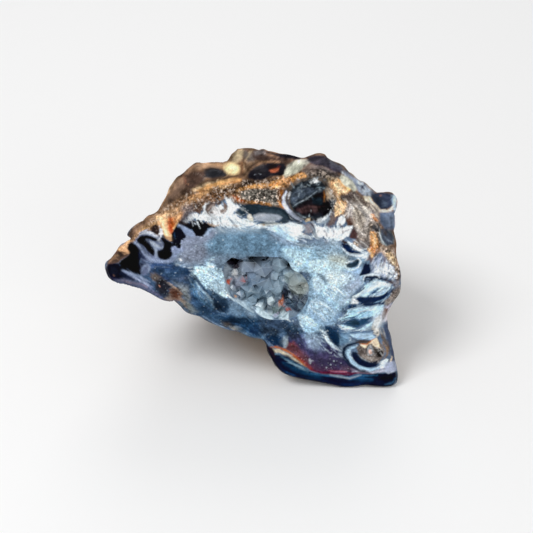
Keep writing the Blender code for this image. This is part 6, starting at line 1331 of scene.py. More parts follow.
    ("C7BFB8", 0, 2.4, 1.2, 0.5, (353.5, 226.5, 361.5, 224, 369, 229, 365.5, 237, 357.5, 236)),
    ("3E3630", 1.4, 1, 1, 0.7, (353.5, 211, 358.5, 218.5, 360, 229, 356, 237)),
    ("4A4440", 1.4, 1, 1, 0.6, (365.5, 218.5, 369, 226.5, 368, 236, 364, 242.5)),
    ("0D0C18", 0, 0.8, 0.8, 1, (179.5, 222.5, 185.5, 223, 189.5, 222.5, 191.5, 220.5, 199.5, 220, 203.5,
        221.5, 208.5, 223.5, 212, 225.5, 215, 227.5, 211, 227.5, 207, 229.5, 204, 232.5, 202.5, 236,
        195.5, 235.5, 194, 233.5, 192, 230.5, 187.5, 227.5, 183, 225)),
    ("DCE6F0", 1.4, 0.6, 0.6, 0.9, (192.5, 222, 196, 224, 198.5, 226)),
    ("E6EEF5", 1.4, 0.6, 0.6, 0.9, (194.5, 220.5, 198, 223, 199.5, 227)),
    ("DCE6F0", 1.1, 0.6, 0.5, 0.8, (185.5, 218, 187, 221, 189, 222)),
    ("A9BBD3", 0, 1.4, 0.8, 0.8, (204, 235.5, 205, 231.5, 208.5, 228.5, 212, 227.5, 212, 230, 209.5, 232,
        207, 236)),
    ("8FA0BC", 0, 1.4, 0.8, 0.7, (182, 225, 187.5, 228, 192, 231.5, 194.5, 235.5, 190, 237, 184.5, 233.5,
        182, 228.5)),
    ("3B2E2E", 0, 0.9, 1, 0.9, (180.5, 222, 184, 217, 185.5, 213.5, 189, 212, 188.5, 215, 185.5, 217.5,
        183.5, 220)),
    ("EFF4F8", 0, 0.8, 1.2, 0.95, (187, 217.5, 189.5, 214.5, 194, 212.5, 198.5, 213.5, 199.5, 216, 196.5,
        218, 194, 217.5, 191.5, 220.5, 189, 219.5)),
    ("5A4338", 0, 0.8, 1, 0.9, (190, 211.5, 194, 208.5, 198.5, 209, 201, 210, 201, 213.5, 199.5, 214.5,
        196.5, 212.5, 194, 212)),
    ("EEF4F8", 0, 0.8, 1.2, 0.95, (199.5, 216, 202, 213.5, 204, 210.5, 204, 205.5, 206, 204, 208.5, 204.5,
        206.5, 207, 205.5, 210, 207, 213.5, 210.5, 216.5, 208.5, 221, 203, 221)),
    ("4C3C38", 0, 0.8, 1, 0.95, (205, 209, 207, 205.5, 210, 203.5, 213, 202.5, 216.5, 203, 221.5, 203,
        221, 204.5, 216.5, 204.5, 214.5, 207, 212.5, 208.5, 213.5, 212.5, 210.5, 213.5, 208.5, 211, 207,
        212.5)),
    ("B8A8A0", 1.1, 0.6, 0.8, 0.8, (207.5, 210, 211, 206.5, 214.5, 204.5)),
    ("D8DCE0", 1, 0.6, 0.8, 0.8, (209, 212, 212, 210)),
    ("F2F2F2", 0, 0.8, 1, 0.95, (212, 208, 214.5, 206.5, 219.5, 208, 221.5, 206, 224, 207.5, 222, 210,
        222, 213.5, 219.5, 216, 214.5, 214.5, 213, 211.5)),
    ("7A665C", 0, 0.8, 1, 0.9, (222.5, 201.5, 226.5, 203.5, 228.5, 206, 227.5, 210, 224, 214.5, 221.5,
        212.5, 221, 210, 224, 208)),
    ("E4E0DC", 1, 0.6, 0.8, 0.8, (221.5, 213.5, 224.5, 211.5, 225.5, 208.5)),
    ("F2F7FA", 0, 0.8, 1.4, 0.95, (225, 198.5, 230.5, 199, 232, 203.5, 236, 205.5, 241, 205.5, 239.5, 208,
        236, 210.5, 234, 213.5, 239.5, 212, 240.5, 214.5, 237.5, 215.5, 239.5, 219, 235.5, 220.5, 230,
        217, 228.5, 212.5, 226.5, 205)),
    ("2C3C48", 0, 0.8, 1, 0.85, (234.5, 213.5, 237.5, 210, 241, 207.5, 245.5, 213.5, 242, 215, 237.5,
        215)),
    ("A8B0B4", 0, 0.8, 0.6, 0.85, (240, 208.5, 242.5, 207, 244.5, 208, 244.5, 210, 242, 210.5)),
    ("D2CFC8", 0, 0.7, 0.4, 0.95, (247.5, 215, 249, 213.5, 251, 214.5, 252, 217.5, 250, 220, 248, 218.5)),
    ("B7A08C", 1.8, 0.9, 0.8, 0.8, (206.5, 222.5, 211, 224.5, 215.5, 226, 220, 224.5)),
    ("C9BDB4", 1.4, 0.8, 0.8, 0.6, (221, 225, 230, 225, 241, 226)),
    ("9C8C84", 1, 0.7, 0.8, 0.6, (217.5, 222.5, 223, 223.5, 228.5, 223)),
    ("C6C7B9", 0, 1.1, 0.5, 0.9, (341, 178.5, 344, 177, 348, 178.5, 352.5, 182, 356.5, 187, 357, 190.5,
        354.5, 191, 350, 188, 345.5, 186, 342.5, 183)),
    # Painted highlight: the lighter top edge of the cream-grey lump
    ("DCDACB", 0, 1.5, 0.5, 0.7, (344, 178.5, 348, 179.5, 353, 184.5, 354.5, 188, 350.5, 185.5, 346.5,
        182.5)),
    ("4A4654", 0, 1.8, 0.6, 0.7, (332.5, 161.5, 338.5, 165.5, 343.5, 169, 341.5, 173, 338.5, 173, 332.5,
        170)),
    ("DCE6F0", 0, 0.7, 0, 0.9, (342, 172.5, 343, 171.5, 344, 173.5, 343, 175)),
    ("98A2B6", 0, 1.4, 0.5, 0.75, (344, 170.5, 350, 174, 354.5, 179.5, 357, 183.5, 357, 189.5, 354.5,
        184.5, 350.5, 180.5, 345.5, 177)),
    ("B6C4D6", 0, 1.6, 0.5, 0.75, (357, 181.5, 363, 181.5, 368, 187, 371, 192, 366, 196, 360.5, 192.5)),
    ("7A6E78", 1.3, 1, 0.3, 0.8, (361, 190.5, 364.5, 184.5)),
    ("D6E0EA", 1.1, 0.8, 0.3, 0.75, (363.5, 193, 366.5, 188)),
    ("4C5466", 0, 1.2, 0.4, 0.75, (368.5, 191, 372.5, 191.5, 374.5, 194.5, 371, 196)),
    ("EADFCA", 0, 0.8, 0.4, 0.95, (364.5, 197, 370, 196.5, 371.5, 201, 368, 202, 365.5, 200.5)),
    ("2E3644", 0, 2, 0.8, 0.6, (374.5, 195, 384, 196, 389, 204, 382.5, 207.5, 374.5, 202.5)),
    ("6F7E94", 0, 1.4, 0.8, 0.6, (382.5, 201, 387.5, 202.5, 386.5, 207.5, 382.5, 207)),
    ("D9D0C6", 1.4, 0.6, 0.3, 0.9, (368, 202, 374, 204.5, 377, 208.5, 379, 211, 383.5, 210, 390, 211,
        392.5, 208.5)),
    ("BCD2E6", 0, 1.2, 0.4, 0.8, (392.5, 195, 396, 196, 396.5, 206, 396, 212.5, 394, 210.5, 393, 204)),
    ("6C7A92", 0, 1.6, 0.8, 0.8, (380.5, 213, 390.5, 213.5, 394, 217.5, 394.5, 229.5, 391.5, 231, 385,
        229, 380.5, 222)),
    ("8E9AAE", 0, 1.6, 0.8, 0.7, (383.5, 216.5, 389, 217.5, 390, 222, 386, 224)),
    ("DAD2DA", 0, 1, 0.4, 0.8, (394, 216.5, 396.5, 217.5, 396.5, 224.5, 394.5, 224)),
    ("484E5C", 0, 1.2, 0.8, 0.95, (381, 228, 386.5, 229, 391, 233.5, 394, 238.5, 392.5, 243.5, 387, 245.5,
        382.5, 240.5, 380.5, 234)),
    ("5E5450", 0, 1.2, 0.8, 0.7, (382.5, 229.5, 386.5, 231, 387.5, 235.5, 384, 234.5)),
    ("8694A4", 1.2, 0.8, 0.6, 0.8, (384, 236, 387.5, 240, 391.5, 242)),
    ("C8D0D4", 1.1, 0.6, 0.6, 0.85, (379.5, 227, 379.5, 233, 381.5, 240, 386.5, 245.5)),
    ("6E625E", 0, 1.1, 0.8, 0.85, (328.5, 224.5, 330, 217.5, 331, 212.5, 333.5, 213, 336, 217.5, 335, 222,
        332.5, 226.5)),
    ("A89890", 1.2, 0.8, 0.5, 0.7, (332, 216.5, 333, 221.5)),
    ("F4FAFC", 0, 0.8, 0.8, 0.95, (337, 222.5, 339.5, 217.5, 343.5, 216.5, 345.5, 219, 345, 223, 341,
        225.5)),
    ("64483E", 0, 1, 0.7, 0.9, (346.5, 219, 350, 220.5, 352.5, 223, 351.5, 225.5, 348, 224.5, 346.5,
        222)),
    ("5A4042", 0, 1, 0.6, 0.95, (350, 234, 352.5, 228.5, 354.5, 229.5, 357.5, 233.5, 356.5, 237.5, 352.5,
        239, 350, 237.5)),
    ("3C3434", 1, 0.7, 0.8, 0.8, (357, 233.5, 358, 237, 356.5, 240)),
    ("12294A", 0, 0.8, 1, 0.95, (355, 297.5, 360, 297, 365, 298, 368.5, 296, 372.5, 297, 379, 296.5, 385,
        294, 390, 290.5, 391, 292.5, 384.5, 298, 377.5, 300.5, 370, 303.5, 375.5, 304, 384.5, 302, 384,
        304, 375.5, 306, 366.5, 306, 361, 303, 358, 300)),
    ("3E6488", 3, 1.2, 1, 0.75, (367.5, 297, 371.5, 292.5, 377.5, 288.5)),
    ("23446A", 1.6, 0.9, 0.8, 0.8, (369, 296.5, 373.5, 293.5, 381, 291.5, 386.5, 288.5)),
    ("9CC6E4", 2.2, 1.2, 1, 0.8, (364, 282.5, 367.5, 288, 364.5, 292.5, 357.5, 295.5)),
    ("E8F5FC", 2.6, 1, 1.2, 0.85, (354, 299, 360, 293.5, 368, 289.5, 372.5, 286, 381, 284.5, 389, 286)),
    ("F0F8FD", 1.6, 0.8, 1, 0.85, (372.5, 282.5, 380, 282.5, 387.5, 284, 392, 287)),
    ("D8ECF8", 1.6, 0.8, 1, 0.8, (377.5, 293.5, 384.5, 290.5, 392, 288)),
    ("F2F7FA", 0, 0.9, 1, 0.9, (350.5, 301, 354, 299, 356.5, 300.5, 359.5, 303, 357.5, 304.5, 353,
        303.5)),
    ("16243C", 1.9, 0.8, 0.6, 0.95, (365, 281.5, 364.5, 278.5, 367, 276.5, 370, 277.5, 371.5, 280.5)),
    ("16243C", 2.2, 0.8, 0.6, 0.95, (369, 282.5, 372, 278, 375.5, 276.5, 378.5, 278, 381, 279.5)),
    ("22304A", 2, 1, 0.8, 0.9, (379, 278, 384.5, 279.5, 390, 281, 394, 284.5)),
    ("E4EEF6", 1.1, 0.7, 0.6, 0.85, (363, 283, 363.5, 278.5, 365.5, 275.5, 370, 275, 377.5, 275, 379.5,
        277.5)),
    ("5C4C48", 2, 1.2, 0.6, 0.7, (386.5, 281, 392, 282.5, 395.5, 287)),
    ("1C3452", 0, 0.9, 0.8, 0.9, (348, 305, 352, 304.5, 357.5, 306.5, 361, 307, 356.5, 308.5, 349.5,
        309.5, 347.5, 308.5)),
    ("30506E", 0, 1, 1.4, 0.9, (341.5, 324.5, 346.5, 320.5, 353.5, 317.5, 360, 319.5, 373.5, 321.5, 369,
        324.5, 361, 326, 356.5, 328.5, 348, 326)),
    ("20343E", 0, 1, 1.4, 0.7, (346.5, 323.5, 352, 319.5, 357.5, 320, 359, 324, 353.5, 325.5)),
    ("D6ECF8", 1.6, 0.8, 1, 0.85, (338, 321.5, 341, 318, 347.5, 314, 352.5, 313.5)),
    ("E6F4FC", 2, 0.9, 1.4, 0.8, (338, 324, 342.5, 328, 351, 329.5, 361, 330.5, 368, 328.5)),
    ("CFE6F6", 2.4, 1, 1.2, 0.7, (348, 309.5, 359, 308.5, 370, 308.5, 381, 305)),
    ("9CC4E0", 2, 1.2, 1.2, 0.6, (357.5, 316, 368, 314, 379, 309.5)),
    ("7C8C9C", 0, 2, 1, 0.6, (362.5, 326, 370, 326, 372, 331.5, 366.5, 332.5)),
    ("2E4460", 1.1, 0.7, 0.6, 0.7, (383, 271, 388, 272.5, 392.5, 275.5)),
    ("8C8490", 1.6, 1, 0.6, 0.7, (381, 267, 384.5, 263.5, 384.5, 258, 381, 254)),
    ("F2F4F8", 2, 1, 0.8, 0.7, (384.5, 263.5, 390, 266, 395.5, 272.5, 397, 278)),
    ("8E8A9A", 1.2, 0.8, 0.6, 0.7, (372.5, 260.5, 375.5, 258, 381, 256)),
    ("3A4258", 1, 0.7, 0.6, 0.7, (370.5, 271.5, 373.5, 268, 375.5, 263.5)),
    ("B9C2D2", 0, 4, 1, 0.55, (339, 273.5, 357.5, 275, 361.5, 285, 352.5, 291.5, 341, 282.5)),
    ("B4BCB2", 0, 3, 1, 0.5, (330, 257, 343.5, 259.5, 356, 267.5, 348, 270, 330, 270)),
    ("EAF4F8", 0, 3, 1.5, 0.5, (327.5, 269.5, 335.5, 271.5, 337.5, 280.5, 330, 282.5, 325.5, 278)),
    ("6E6460", 0, 1.6, 0.8, 0.8, (385.5, 300.5, 390, 295.5, 393.5, 288.5, 398.5, 286, 400, 288.5, 393.5,
        300.5, 388, 305)),
    ("C9C0B8", 1, 0.8, 0.6, 0.6, (384.5, 300.5, 389, 302.5, 392.5, 298)),
    ("7A5A4C", 0, 0.9, 0.5, 0.85, (384, 308.5, 388, 308.5, 386, 314, 383, 318, 382, 316)),
    ("E8DEE2", 0, 1.2, 0.4, 0.8, (389, 308.5, 390.5, 308.5, 388, 317, 385.5, 321.5, 384.5, 319.5)),
    ("11162A", 0, 1.6, 1, 0.75, (140, 252, 142.5, 254, 141, 256.5, 143.5, 258.5, 140, 260, 138, 258.5)),
    ("3A465E", 0, 1.6, 1.2, 0.7, (140, 244, 143.5, 246.5, 149, 253, 149, 256.5, 145.5, 254, 142, 249.5)),
    ("54607A", 2, 1.2, 1, 0.7, (140, 261, 143.5, 263, 149, 264)),
    ("5A5250", 0, 3, 1, 0.6, (151, 273, 158, 275.5, 165.5, 280, 167.5, 287.5, 162.5, 291, 158, 285.5,
        153.5, 280)),
    ("6C4A40", 0, 1.6, 0.8, 0.8, (169, 289.5, 174.5, 291, 180, 295.5, 178, 299.5, 172.5, 297.5)),
    ("2A2C38", 0, 1.8, 0.8, 0.8, (158, 281, 163.5, 281, 166.5, 286.5, 165.5, 292, 161, 291)),
    ("AEB6CC", 0, 1.4, 0.5, 0.85, (384.5, 363, 395.5, 360.5, 397, 370.5, 388.5, 373.5, 384.5, 370.5)),
    ("C0C8D8", 1.6, 1, 0.5, 0.8, (382.5, 369.5, 388.5, 373, 395.5, 370.5)),
    ("0E1018", 0, 1, 1, 0.9, (194, 226, 200, 221, 206, 222, 208, 230, 203, 236, 197, 234)),
    ("5B5858", 0, 2, 1, 0.7, (253, 166, 262, 164, 268, 170, 264, 176, 256, 176)),
    ("786A66", 0, 2, 1, 0.6, (302, 166, 312, 165, 315, 172, 306, 175)),
    ("3C444E", 0, 1.5, 1, 0.55, (289, 213, 300, 212, 304, 220, 296, 224, 289, 221)),
    ("DCEEF4", 0, 3, 1.5, 0.6, (326, 270, 338, 268, 348, 276, 344, 286, 330, 286)),
    ("9AC0DC", 0, 3, 1.5, 0.5, (338, 334, 350, 332, 350, 342, 338, 344)),
    ("8A7262", 0, 3, 1, 0.6, (166.5, 198.5, 176, 183.5, 185, 173.5, 195.5, 166, 201.5, 168.5, 192.5,
        174.5, 185, 183.5, 177.5, 198.5)),
    # Painted highlight along a ridge of the rind
    ("C4A48A", 0, 1.6, 0.8, 0.75, (194, 165.5, 201.5, 162, 210.5, 163.5, 221, 165.5, 219.5, 168.5, 210.5,
        167.5, 203, 169, 197, 170)),
    ("54403A", 0, 1.6, 0.6, 0.9, (184.5, 178, 190, 172, 200, 172.5, 204, 177.5, 201, 182, 194.5, 187,
        186.5, 187, 184, 182.5)),
    ("3A2C2A", 0, 1.6, 0.6, 0.8, (186.5, 181, 192.5, 179, 195.5, 183.5, 190, 187, 186.5, 185.5)),
    ("A8705A", 1.3, 0.9, 0.4, 0.8, (183, 175, 185, 179, 186, 184)),
    ("A89890", 1.2, 0.9, 0.5, 0.8, (191.5, 173, 198.5, 174, 203.5, 177)),
    ("E0A880", 1.2, 0.7, 0, 0.95, (187.5, 183.5, 188.5, 184.5)),
    ("34363C", 0, 2.4, 0.8, 0.85, (205, 173, 210.5, 169, 216.5, 167.5, 223, 170, 226, 174.5, 232.5, 176,
        226, 177.5, 218, 178, 209.5, 178.5, 204, 176.5)),
    # Painted highlight on the dark slate lump
    ("62646A", 1.4, 1, 0.4, 0.7, (210.5, 170.5, 216.5, 170, 221, 172)),
    ("5A463A", 1.6, 1.2, 0.8, 0.8, (194, 187, 201.5, 183, 210.5, 180, 221, 177.5, 230.5, 177)),
    ("CBB090", 1.5, 0.7, 0.2, 0.9, (194, 190.5, 196, 188)),
    ("CBB090", 1.5, 0.7, 0.2, 0.9, (198, 189, 199.5, 186.5)),
    ("D2B896", 1.5, 0.7, 0.2, 0.9, (201.5, 187, 203, 185)),
    ("CBB090", 1.5, 0.7, 0.2, 0.9, (205, 186, 206.5, 184)),
    ("D2B896", 1.5, 0.7, 0.2, 0.9, (209, 184.5, 210.5, 182.5)),
    ("CBB090", 1.5, 0.7, 0.2, 0.9, (212.5, 183.5, 214, 181.5)),
    ("D2B896", 1.5, 0.7, 0.2, 0.9, (216.5, 182, 218, 179.5)),
    ("DDA070", 2.4, 1.2, 0.8, 0.9, (222.5, 183.5, 231, 181.5, 240.5, 180.5)),
    ("F0C498", 1.1, 0.8, 0.5, 0.8, (226, 182, 235, 180)),
    ("EAD4A2", 0, 2, 0.6, 0.8, (224.5, 167.5, 227.5, 164, 232.5, 162.5, 237, 165, 239.5, 169, 238, 173,
        233.5, 174.5, 228, 173)),
    # Painted highlight on the cream bead
    ("F6E8C4", 0, 2, 0.4, 0.6, (229, 165.5, 233, 164, 236.5, 167, 233.5, 169, 229.5, 169)),
    ("5E4638", 2, 1.2, 0.4, 0.85, (239.5, 164, 241.5, 170, 240.5, 177.5)),
    ("BCA488", 1.6, 1, 0.4, 0.7, (243.5, 164, 245, 172)),
    ("B4A488", 0, 1.4, 0.6, 0.8, (233, 155, 236, 151.5, 242, 150.5, 242.5, 155, 241, 159, 234, 162)),
    # Painted highlight on the lump at the top left
    ("DCCBA8", 1.4, 0.9, 0.3, 0.8, (235, 156, 239.5, 154.5, 241, 157.5)),
    ("544A46", 0, 1.1, 0.4, 0.85, (243.5, 151.5, 248.5, 150.5, 247, 155, 245, 158, 243, 156)),
    ("DCC8A0", 1.3, 0.8, 0.3, 0.9, (247, 158, 249.5, 154.5, 252, 151)),
    ("A8A0A0", 0, 1.4, 0.5, 0.75, (253.5, 151, 259, 150.5, 261.5, 153, 256, 156)),
    ("4C3E3A", 3, 1.4, 0.8, 0.85, (247, 160.5, 256, 158, 268, 159, 283.5, 160.5)),
    ("2A2B35", 2.2, 1, 0.4, 0.95, (262, 150.5, 271, 153, 280.5, 155.5, 289.5, 155, 301, 156.5)),
    # Painted highlights on the rind above the orange oval
    ("B08C70", 1.6, 1, 0.8, 0.8, (253, 167, 262, 163, 271, 161.5, 279, 162.5)),
    ("24232A", 0, 1.6, 0.8, 0.85, (247, 175, 253, 170, 262, 166.5, 274, 164, 269, 169, 269.5, 173, 279, 173,
        283.5, 172.5, 279, 174.5, 271, 176.5, 265, 179, 256, 181, 249, 178.5)),
    ("24232A", 0, 0.8, 0.4, 0.95, (274, 163.5, 283.5, 164, 287, 167, 284, 173, 279, 173, 279.5, 168.5,
        274, 167)),
    ("D4805E", 0, 1, 0.8, 0.75, (270, 170, 274.5, 169, 279, 168.5, 279, 171.5, 274, 172, 271, 172)),
    ("A04438", 1.1, 0.7, 0.3, 0.9, (278, 166.5, 280.5, 167)),
    ("B8C0CC", 1, 0.6, 0.3, 0.9, (254, 174, 256, 174.5)),
    ("B8C0CC", 1, 0.6, 0.3, 0.9, (258.5, 173, 261.5, 174.5)),
    ("CBCDBC", 0, 1.6, 0.6, 0.8, (283.5, 175.5, 287.5, 167.5, 294, 162.5, 300.5, 160.5, 304, 163.5, 302,
        168.5, 295.5, 173, 286.5, 177.5)),
    # Painted highlight: the bright top edge of the cream oval
    ("E6E6D8", 1.5, 1.4, 0.4, 0.6, (289.5, 168.5, 295.5, 163.5, 301.5, 162)),
    ("F2CFA4", 0, 1.2, 1.5, 0.5, (330, 184, 335.5, 181, 341.5, 182, 343.5, 188, 350, 191.5, 344, 193, 341,
        192, 339, 195, 337, 198.5, 335.5, 196.5, 332.5, 191)),
    ("F2D2A8", 0, 1.2, 1.5, 0.55, (335, 202.5, 343.5, 203.5, 346, 208, 340, 210, 339, 215, 334.5, 217.5,
        333.5, 210)),
    ("E0D8D2", 0, 2, 1.5, 0.4, (342.5, 203.5, 353, 208, 353, 215, 355.5, 222, 361.5, 222, 367, 215, 370.5,
        218.5, 367, 227, 358, 232.5, 353, 222, 347, 215)),
    ("5A5250", 2.2, 1.2, 1.5, 0.5, (339, 198.5, 344, 196, 351, 196.5, 356.5, 201, 363.5, 208)),
    ("5A5250", 1.8, 1.2, 1.5, 0.5, (353, 208, 354, 215, 356.5, 220)),
    ("C6C7B9", 0, 1.1, 0.6, 0.9, (339, 177.5, 342, 174.5, 347, 176.5, 352, 180.5, 355.5, 185.5, 356, 189,
        353, 191, 348.5, 187.5, 343.5, 185, 341, 181.5)),
    # Painted highlight: the lighter top edge of the cream-grey lump
    ("DAD9CA", 0, 1.3, 0.5, 0.7, (342, 176.5, 347, 178.5, 351.5, 182.5, 354, 187, 349.5, 185, 344.5,
        180.5)),
    ("D4E0EE", 0, 1.4, 0.5, 0.75, (357, 180.5, 362.5, 181.5, 367.5, 187, 371, 193, 370.5, 196.5, 365,
        195.5, 360, 189.5)),
    ("8A7A80", 1.2, 0.9, 0.3, 0.8, (361, 190, 364.5, 184.5)),
    ("F0F4F8", 1.1, 0.7, 0.3, 0.8, (363, 194, 366.5, 188)),
    ("EADFCA", 0, 0.8, 0.4, 0.95, (364, 196.5, 369.5, 196, 371.5, 201, 367.5, 202, 365, 200)),
    ("F2F8FB", 0, 1, 1.2, 0.9, (318, 226.5, 326.5, 227.5, 333.5, 229, 340, 228, 347, 227.5, 353, 226, 352,
        230.5, 348.5, 236, 344, 238.5, 326.5, 237.5, 318, 236)),
    ("C4CED6", 1.3, 0.9, 0.8, 0.6, (323, 230.5, 330, 233, 339, 234)),
    ("B4BEC8", 1, 0.8, 0.8, 0.6, (339, 236, 344, 233, 348.5, 229)),
    ("A6B2BC", 0, 1.4, 0.8, 0.7, (319, 220, 323, 218.5, 328.5, 215.5, 330, 219, 326, 223.5, 320.5,
        224.5)),
    ("F0F6F9", 0, 1, 0.8, 0.85, (318, 219, 323, 217.5, 327.5, 215, 326, 218.5, 321.5, 222, 318, 222.5)),
    ("EAF4F8", 2.4, 1, 0.8, 0.9, (346, 239.5, 352, 244.5, 359, 250, 366.5, 249)),
    ("6E6664", 0, 1.2, 1.2, 0.85, (355, 238.5, 361.5, 239.5, 369, 243, 369.5, 247, 364, 248.5, 359, 245)),
    ("D8D4D0", 1, 0.7, 0.8, 0.7, (360, 241, 365, 243.5, 367.5, 246.5)),
    ("8A8480", 1.2, 0.9, 0.8, 0.6, (369.5, 215, 375.5, 218.5, 378, 225.5)),
    ("7C98B4", 0, 3, 1.5, 0.5, (350, 258, 356, 258, 360, 270, 358, 284, 350, 284)),
    ("8C8078", 0, 2, 1, 0.5, (303, 165, 313, 165, 316, 173, 306, 175)),
    ("A39A92", 0, 2, 1.5, 0.5, (244, 152, 252, 152, 254, 162, 246, 162)),
    ("8C8A92", 0, 3, 1.5, 0.4, (180, 206, 192, 204, 196, 214, 184, 222)),
    ("22304A", 0, 1.5, 1, 0.6, (360, 298, 372, 298, 374, 304, 362, 306)),
    ("A0B8C8", 0, 2.5, 1.5, 0.45, (279, 226, 290, 226, 290, 236, 279, 236)),
    ("5E524E", 0, 2, 2, 0.45, (182, 212, 194, 210, 195, 222, 182, 224)),
    ("8A7E78", 0, 2.5, 2, 0.3, (205, 200, 218, 200, 218, 222, 206, 222)),
    ("1C3040", 0, 0.8, 0.6, 0.9, (345.5, 265, 350, 263, 354, 261.5, 357, 259, 359, 260, 358.5, 264, 356,
        266.5, 351, 268, 347, 267.5)),
    ("E4EEF4", 1.2, 0.6, 0.6, 0.85, (344.5, 266.5, 348, 269, 353, 269.5, 358, 267.5, 360, 263, 360,
        259.5)),
    ("10203A", 0, 0.8, 0.6, 0.95, (364, 263.5, 369, 264, 370.5, 268, 370, 273, 365, 275, 359.5, 275.5,
        361.5, 271)),
    ("D0E4EE", 0, 2.5, 1.5, 0.5, (218, 284, 228, 284, 231, 296, 222, 297)),
    ("5A7488", 0, 2.5, 1.5, 0.45, (303, 297, 313, 297, 313, 307, 304, 307)),
    ("DCE8F0", 0, 2.5, 1, 0.45, (374, 308, 384, 308, 386, 322, 376, 332, 372, 322)),
    ("2A2E38", 0, 2, 1.5, 0.45, (159, 237, 169, 237, 169, 247, 159, 247)),
    ("F0D8BC", 0, 2, 2, 0.45, (326, 188, 336, 188, 338, 200, 327, 200)),
    ("D4D0CC", 0, 2.5, 2, 0.35, (350, 200, 362, 202, 374, 212, 374, 224, 360, 222, 350, 214)),
    ("9EACC0", 0, 2, 1, 0.5, (386, 212, 396, 212, 397, 226, 387, 226)),
    ("2A343F", 0, 2, 1, 0.35, (314, 212, 322, 214, 324, 222, 314, 222)),
    ("C8DCE8", 0, 2, 1.5, 0.4, (328, 238, 338, 238, 340, 248, 330, 248)),
    ("3E5468", 0, 2.5, 1.5, 0.35, (200, 318, 215, 326, 222, 334, 205, 328)),
    ("2A3450", 0, 1.5, 1, 0.85, (139.5, 248, 143, 253, 147, 258.5, 150.5, 261.5, 142.5, 261.5, 139.5,
        257)),
    ("8E9AB4", 1.4, 0.9, 0.8, 0.9, (135.5, 243.5, 140, 248.5, 144, 254.5, 150.5, 261)),
    ("7C88A6", 1, 0.8, 0.8, 0.8, (141.5, 258.5, 148, 262, 153, 263)),
    ("202A40", 3, 1.6, 1, 0.8, (121.5, 273.5, 127.5, 277, 134, 280)),
    ("95A1B9", 2, 1.2, 1, 0.8, (122.5, 270.5, 131, 274, 140, 277, 150, 282)),
    ("4A5268", 3.2, 1.4, 0.6, 0.8, (115, 281.5, 123, 283, 132, 285.5, 141.5, 289, 153, 295, 164.5,
        300.5)),
    ("A09098", 1.4, 1, 0, 0.6, (126, 282, 131, 283.5)),
    ("A09098", 1.2, 0.9, 0, 0.6, (144, 285, 147, 287)),
    ("2C2E38", 0, 2.4, 0.8, 0.8, (157.5, 282, 166, 281.5, 169.5, 286, 169, 293.5, 163.5, 297.5, 158.5,
        292.5, 155.5, 288.5)),
    ("D8A08C", 1.4, 0.8, 0, 0.9, (159, 285, 160, 286.5)),
    ("7A4A3E", 0, 2.4, 0.8, 0.85, (171, 290, 175.5, 289, 179.5, 293.5, 178.5, 297, 173.5, 296.5)),
    ("A8ACA8", 0, 3, 1, 0.45, (178, 286, 187, 288.5, 191, 297.5, 188.5, 304, 183.5, 297.5)),
    ("5A5450", 0, 2, 0.8, 0.6, (151, 273.5, 157, 274, 161, 278, 155.5, 279.5)),
    ("3A4C62", 2, 1.4, 1, 0.6, (159.5, 269, 166, 274, 175.5, 276.5, 183.5, 275.5)),
    ("7E8CA2", 1.2, 1, 1, 0.6, (150.5, 267.5, 158.5, 266.5, 169, 267.5)),
    ("8A98B0", 2, 1.4, 0.8, 0.8, (142, 270.5, 143.5, 266.5, 147, 264.5, 150, 267, 148, 272)),
    ("D2E6EF", 0, 2.5, 2, 0.5, (309, 262.5, 324.5, 259, 324.5, 269.5, 338.5, 272.5, 353, 273, 354.5, 280,
        340.5, 283, 328, 278, 317.5, 272.5, 308.5, 271.5)),
    ("B9C0B6", 0, 2.5, 1.5, 0.5, (325.5, 257, 336, 254.5, 345.5, 257, 345.5, 266, 338.5, 269.5, 328,
        267.5)),
    ("A9B2C4", 0, 2.5, 1, 0.55, (340.5, 288, 352, 284.5, 359, 277, 361.5, 282.5, 354.5, 291.5, 347.5,
        300.5, 339.5, 306.5, 336, 314.5, 339, 302)),
    ("8494A4", 0, 1, 0.6, 0.75, (317, 273.5, 321.5, 274, 326, 281, 325.5, 285, 322.5, 280)),
    ("A4BFD2", 0, 1, 0.8, 0.85, (312.5, 283.5, 313.5, 277.5, 317, 276, 321, 280, 324.5, 286, 325.5, 290.5,
        322.5, 292.5, 316.5, 292.5, 313.5, 289)),
    ("D8EAF4", 1.2, 0.8, 0.5, 0.85, (313.5, 279, 314.5, 284.5, 316.5, 289.5)),
    ("B8D0E0", 1, 0.7, 0.5, 0.7, (318, 278, 320.5, 284.5, 323.5, 290.5)),
    ("A6C2D6", 0, 1.2, 1.5, 0.8, (324.5, 285.5, 330.5, 284.5, 338.5, 287, 344, 292.5, 345.5, 297, 340.5,
        301, 334, 302, 328, 298.5, 324.5, 292.5)),
    ("E6F4FB", 1, 0.5, 0.5, 0.8, (327.5, 286.5, 334, 290.5, 340, 296)),
    ("E6F4FB", 1, 0.5, 0.5, 0.8, (331, 285.5, 338, 289.5, 343.5, 295)),
    ("E6F4FB", 0.9, 0.5, 0.5, 0.7, (325.5, 289.5, 331.5, 294.5, 336.5, 300.5)),
    ("6E8CA4", 0.9, 0.6, 0.5, 0.7, (329, 288, 335.5, 292.5, 340.5, 299)),
    ("6E8CA4", 0.9, 0.6, 0.5, 0.7, (326, 292, 330.5, 296, 334, 300.5)),
    ("93AEC6", 0, 1.4, 1.2, 0.75, (308.5, 307.5, 310.5, 300.5, 316.5, 298.5, 324.5, 299.5, 332.5, 304,
        337, 312, 338.5, 319, 334, 325, 324.5, 326, 315.5, 323.5, 308.5, 317)),
    ("DCEAF4", 1, 0.5, 0.5, 0.75, (312, 302, 320, 306.5, 328, 314.5)),
    ("DCEAF4", 1, 0.5, 0.5, 0.75, (317, 299.5, 325.5, 304.5, 335, 314.5)),
    ("DCEAF4", 0.9, 0.5, 0.5, 0.6, (310, 307.5, 317.5, 313.5, 324.5, 321.5)),
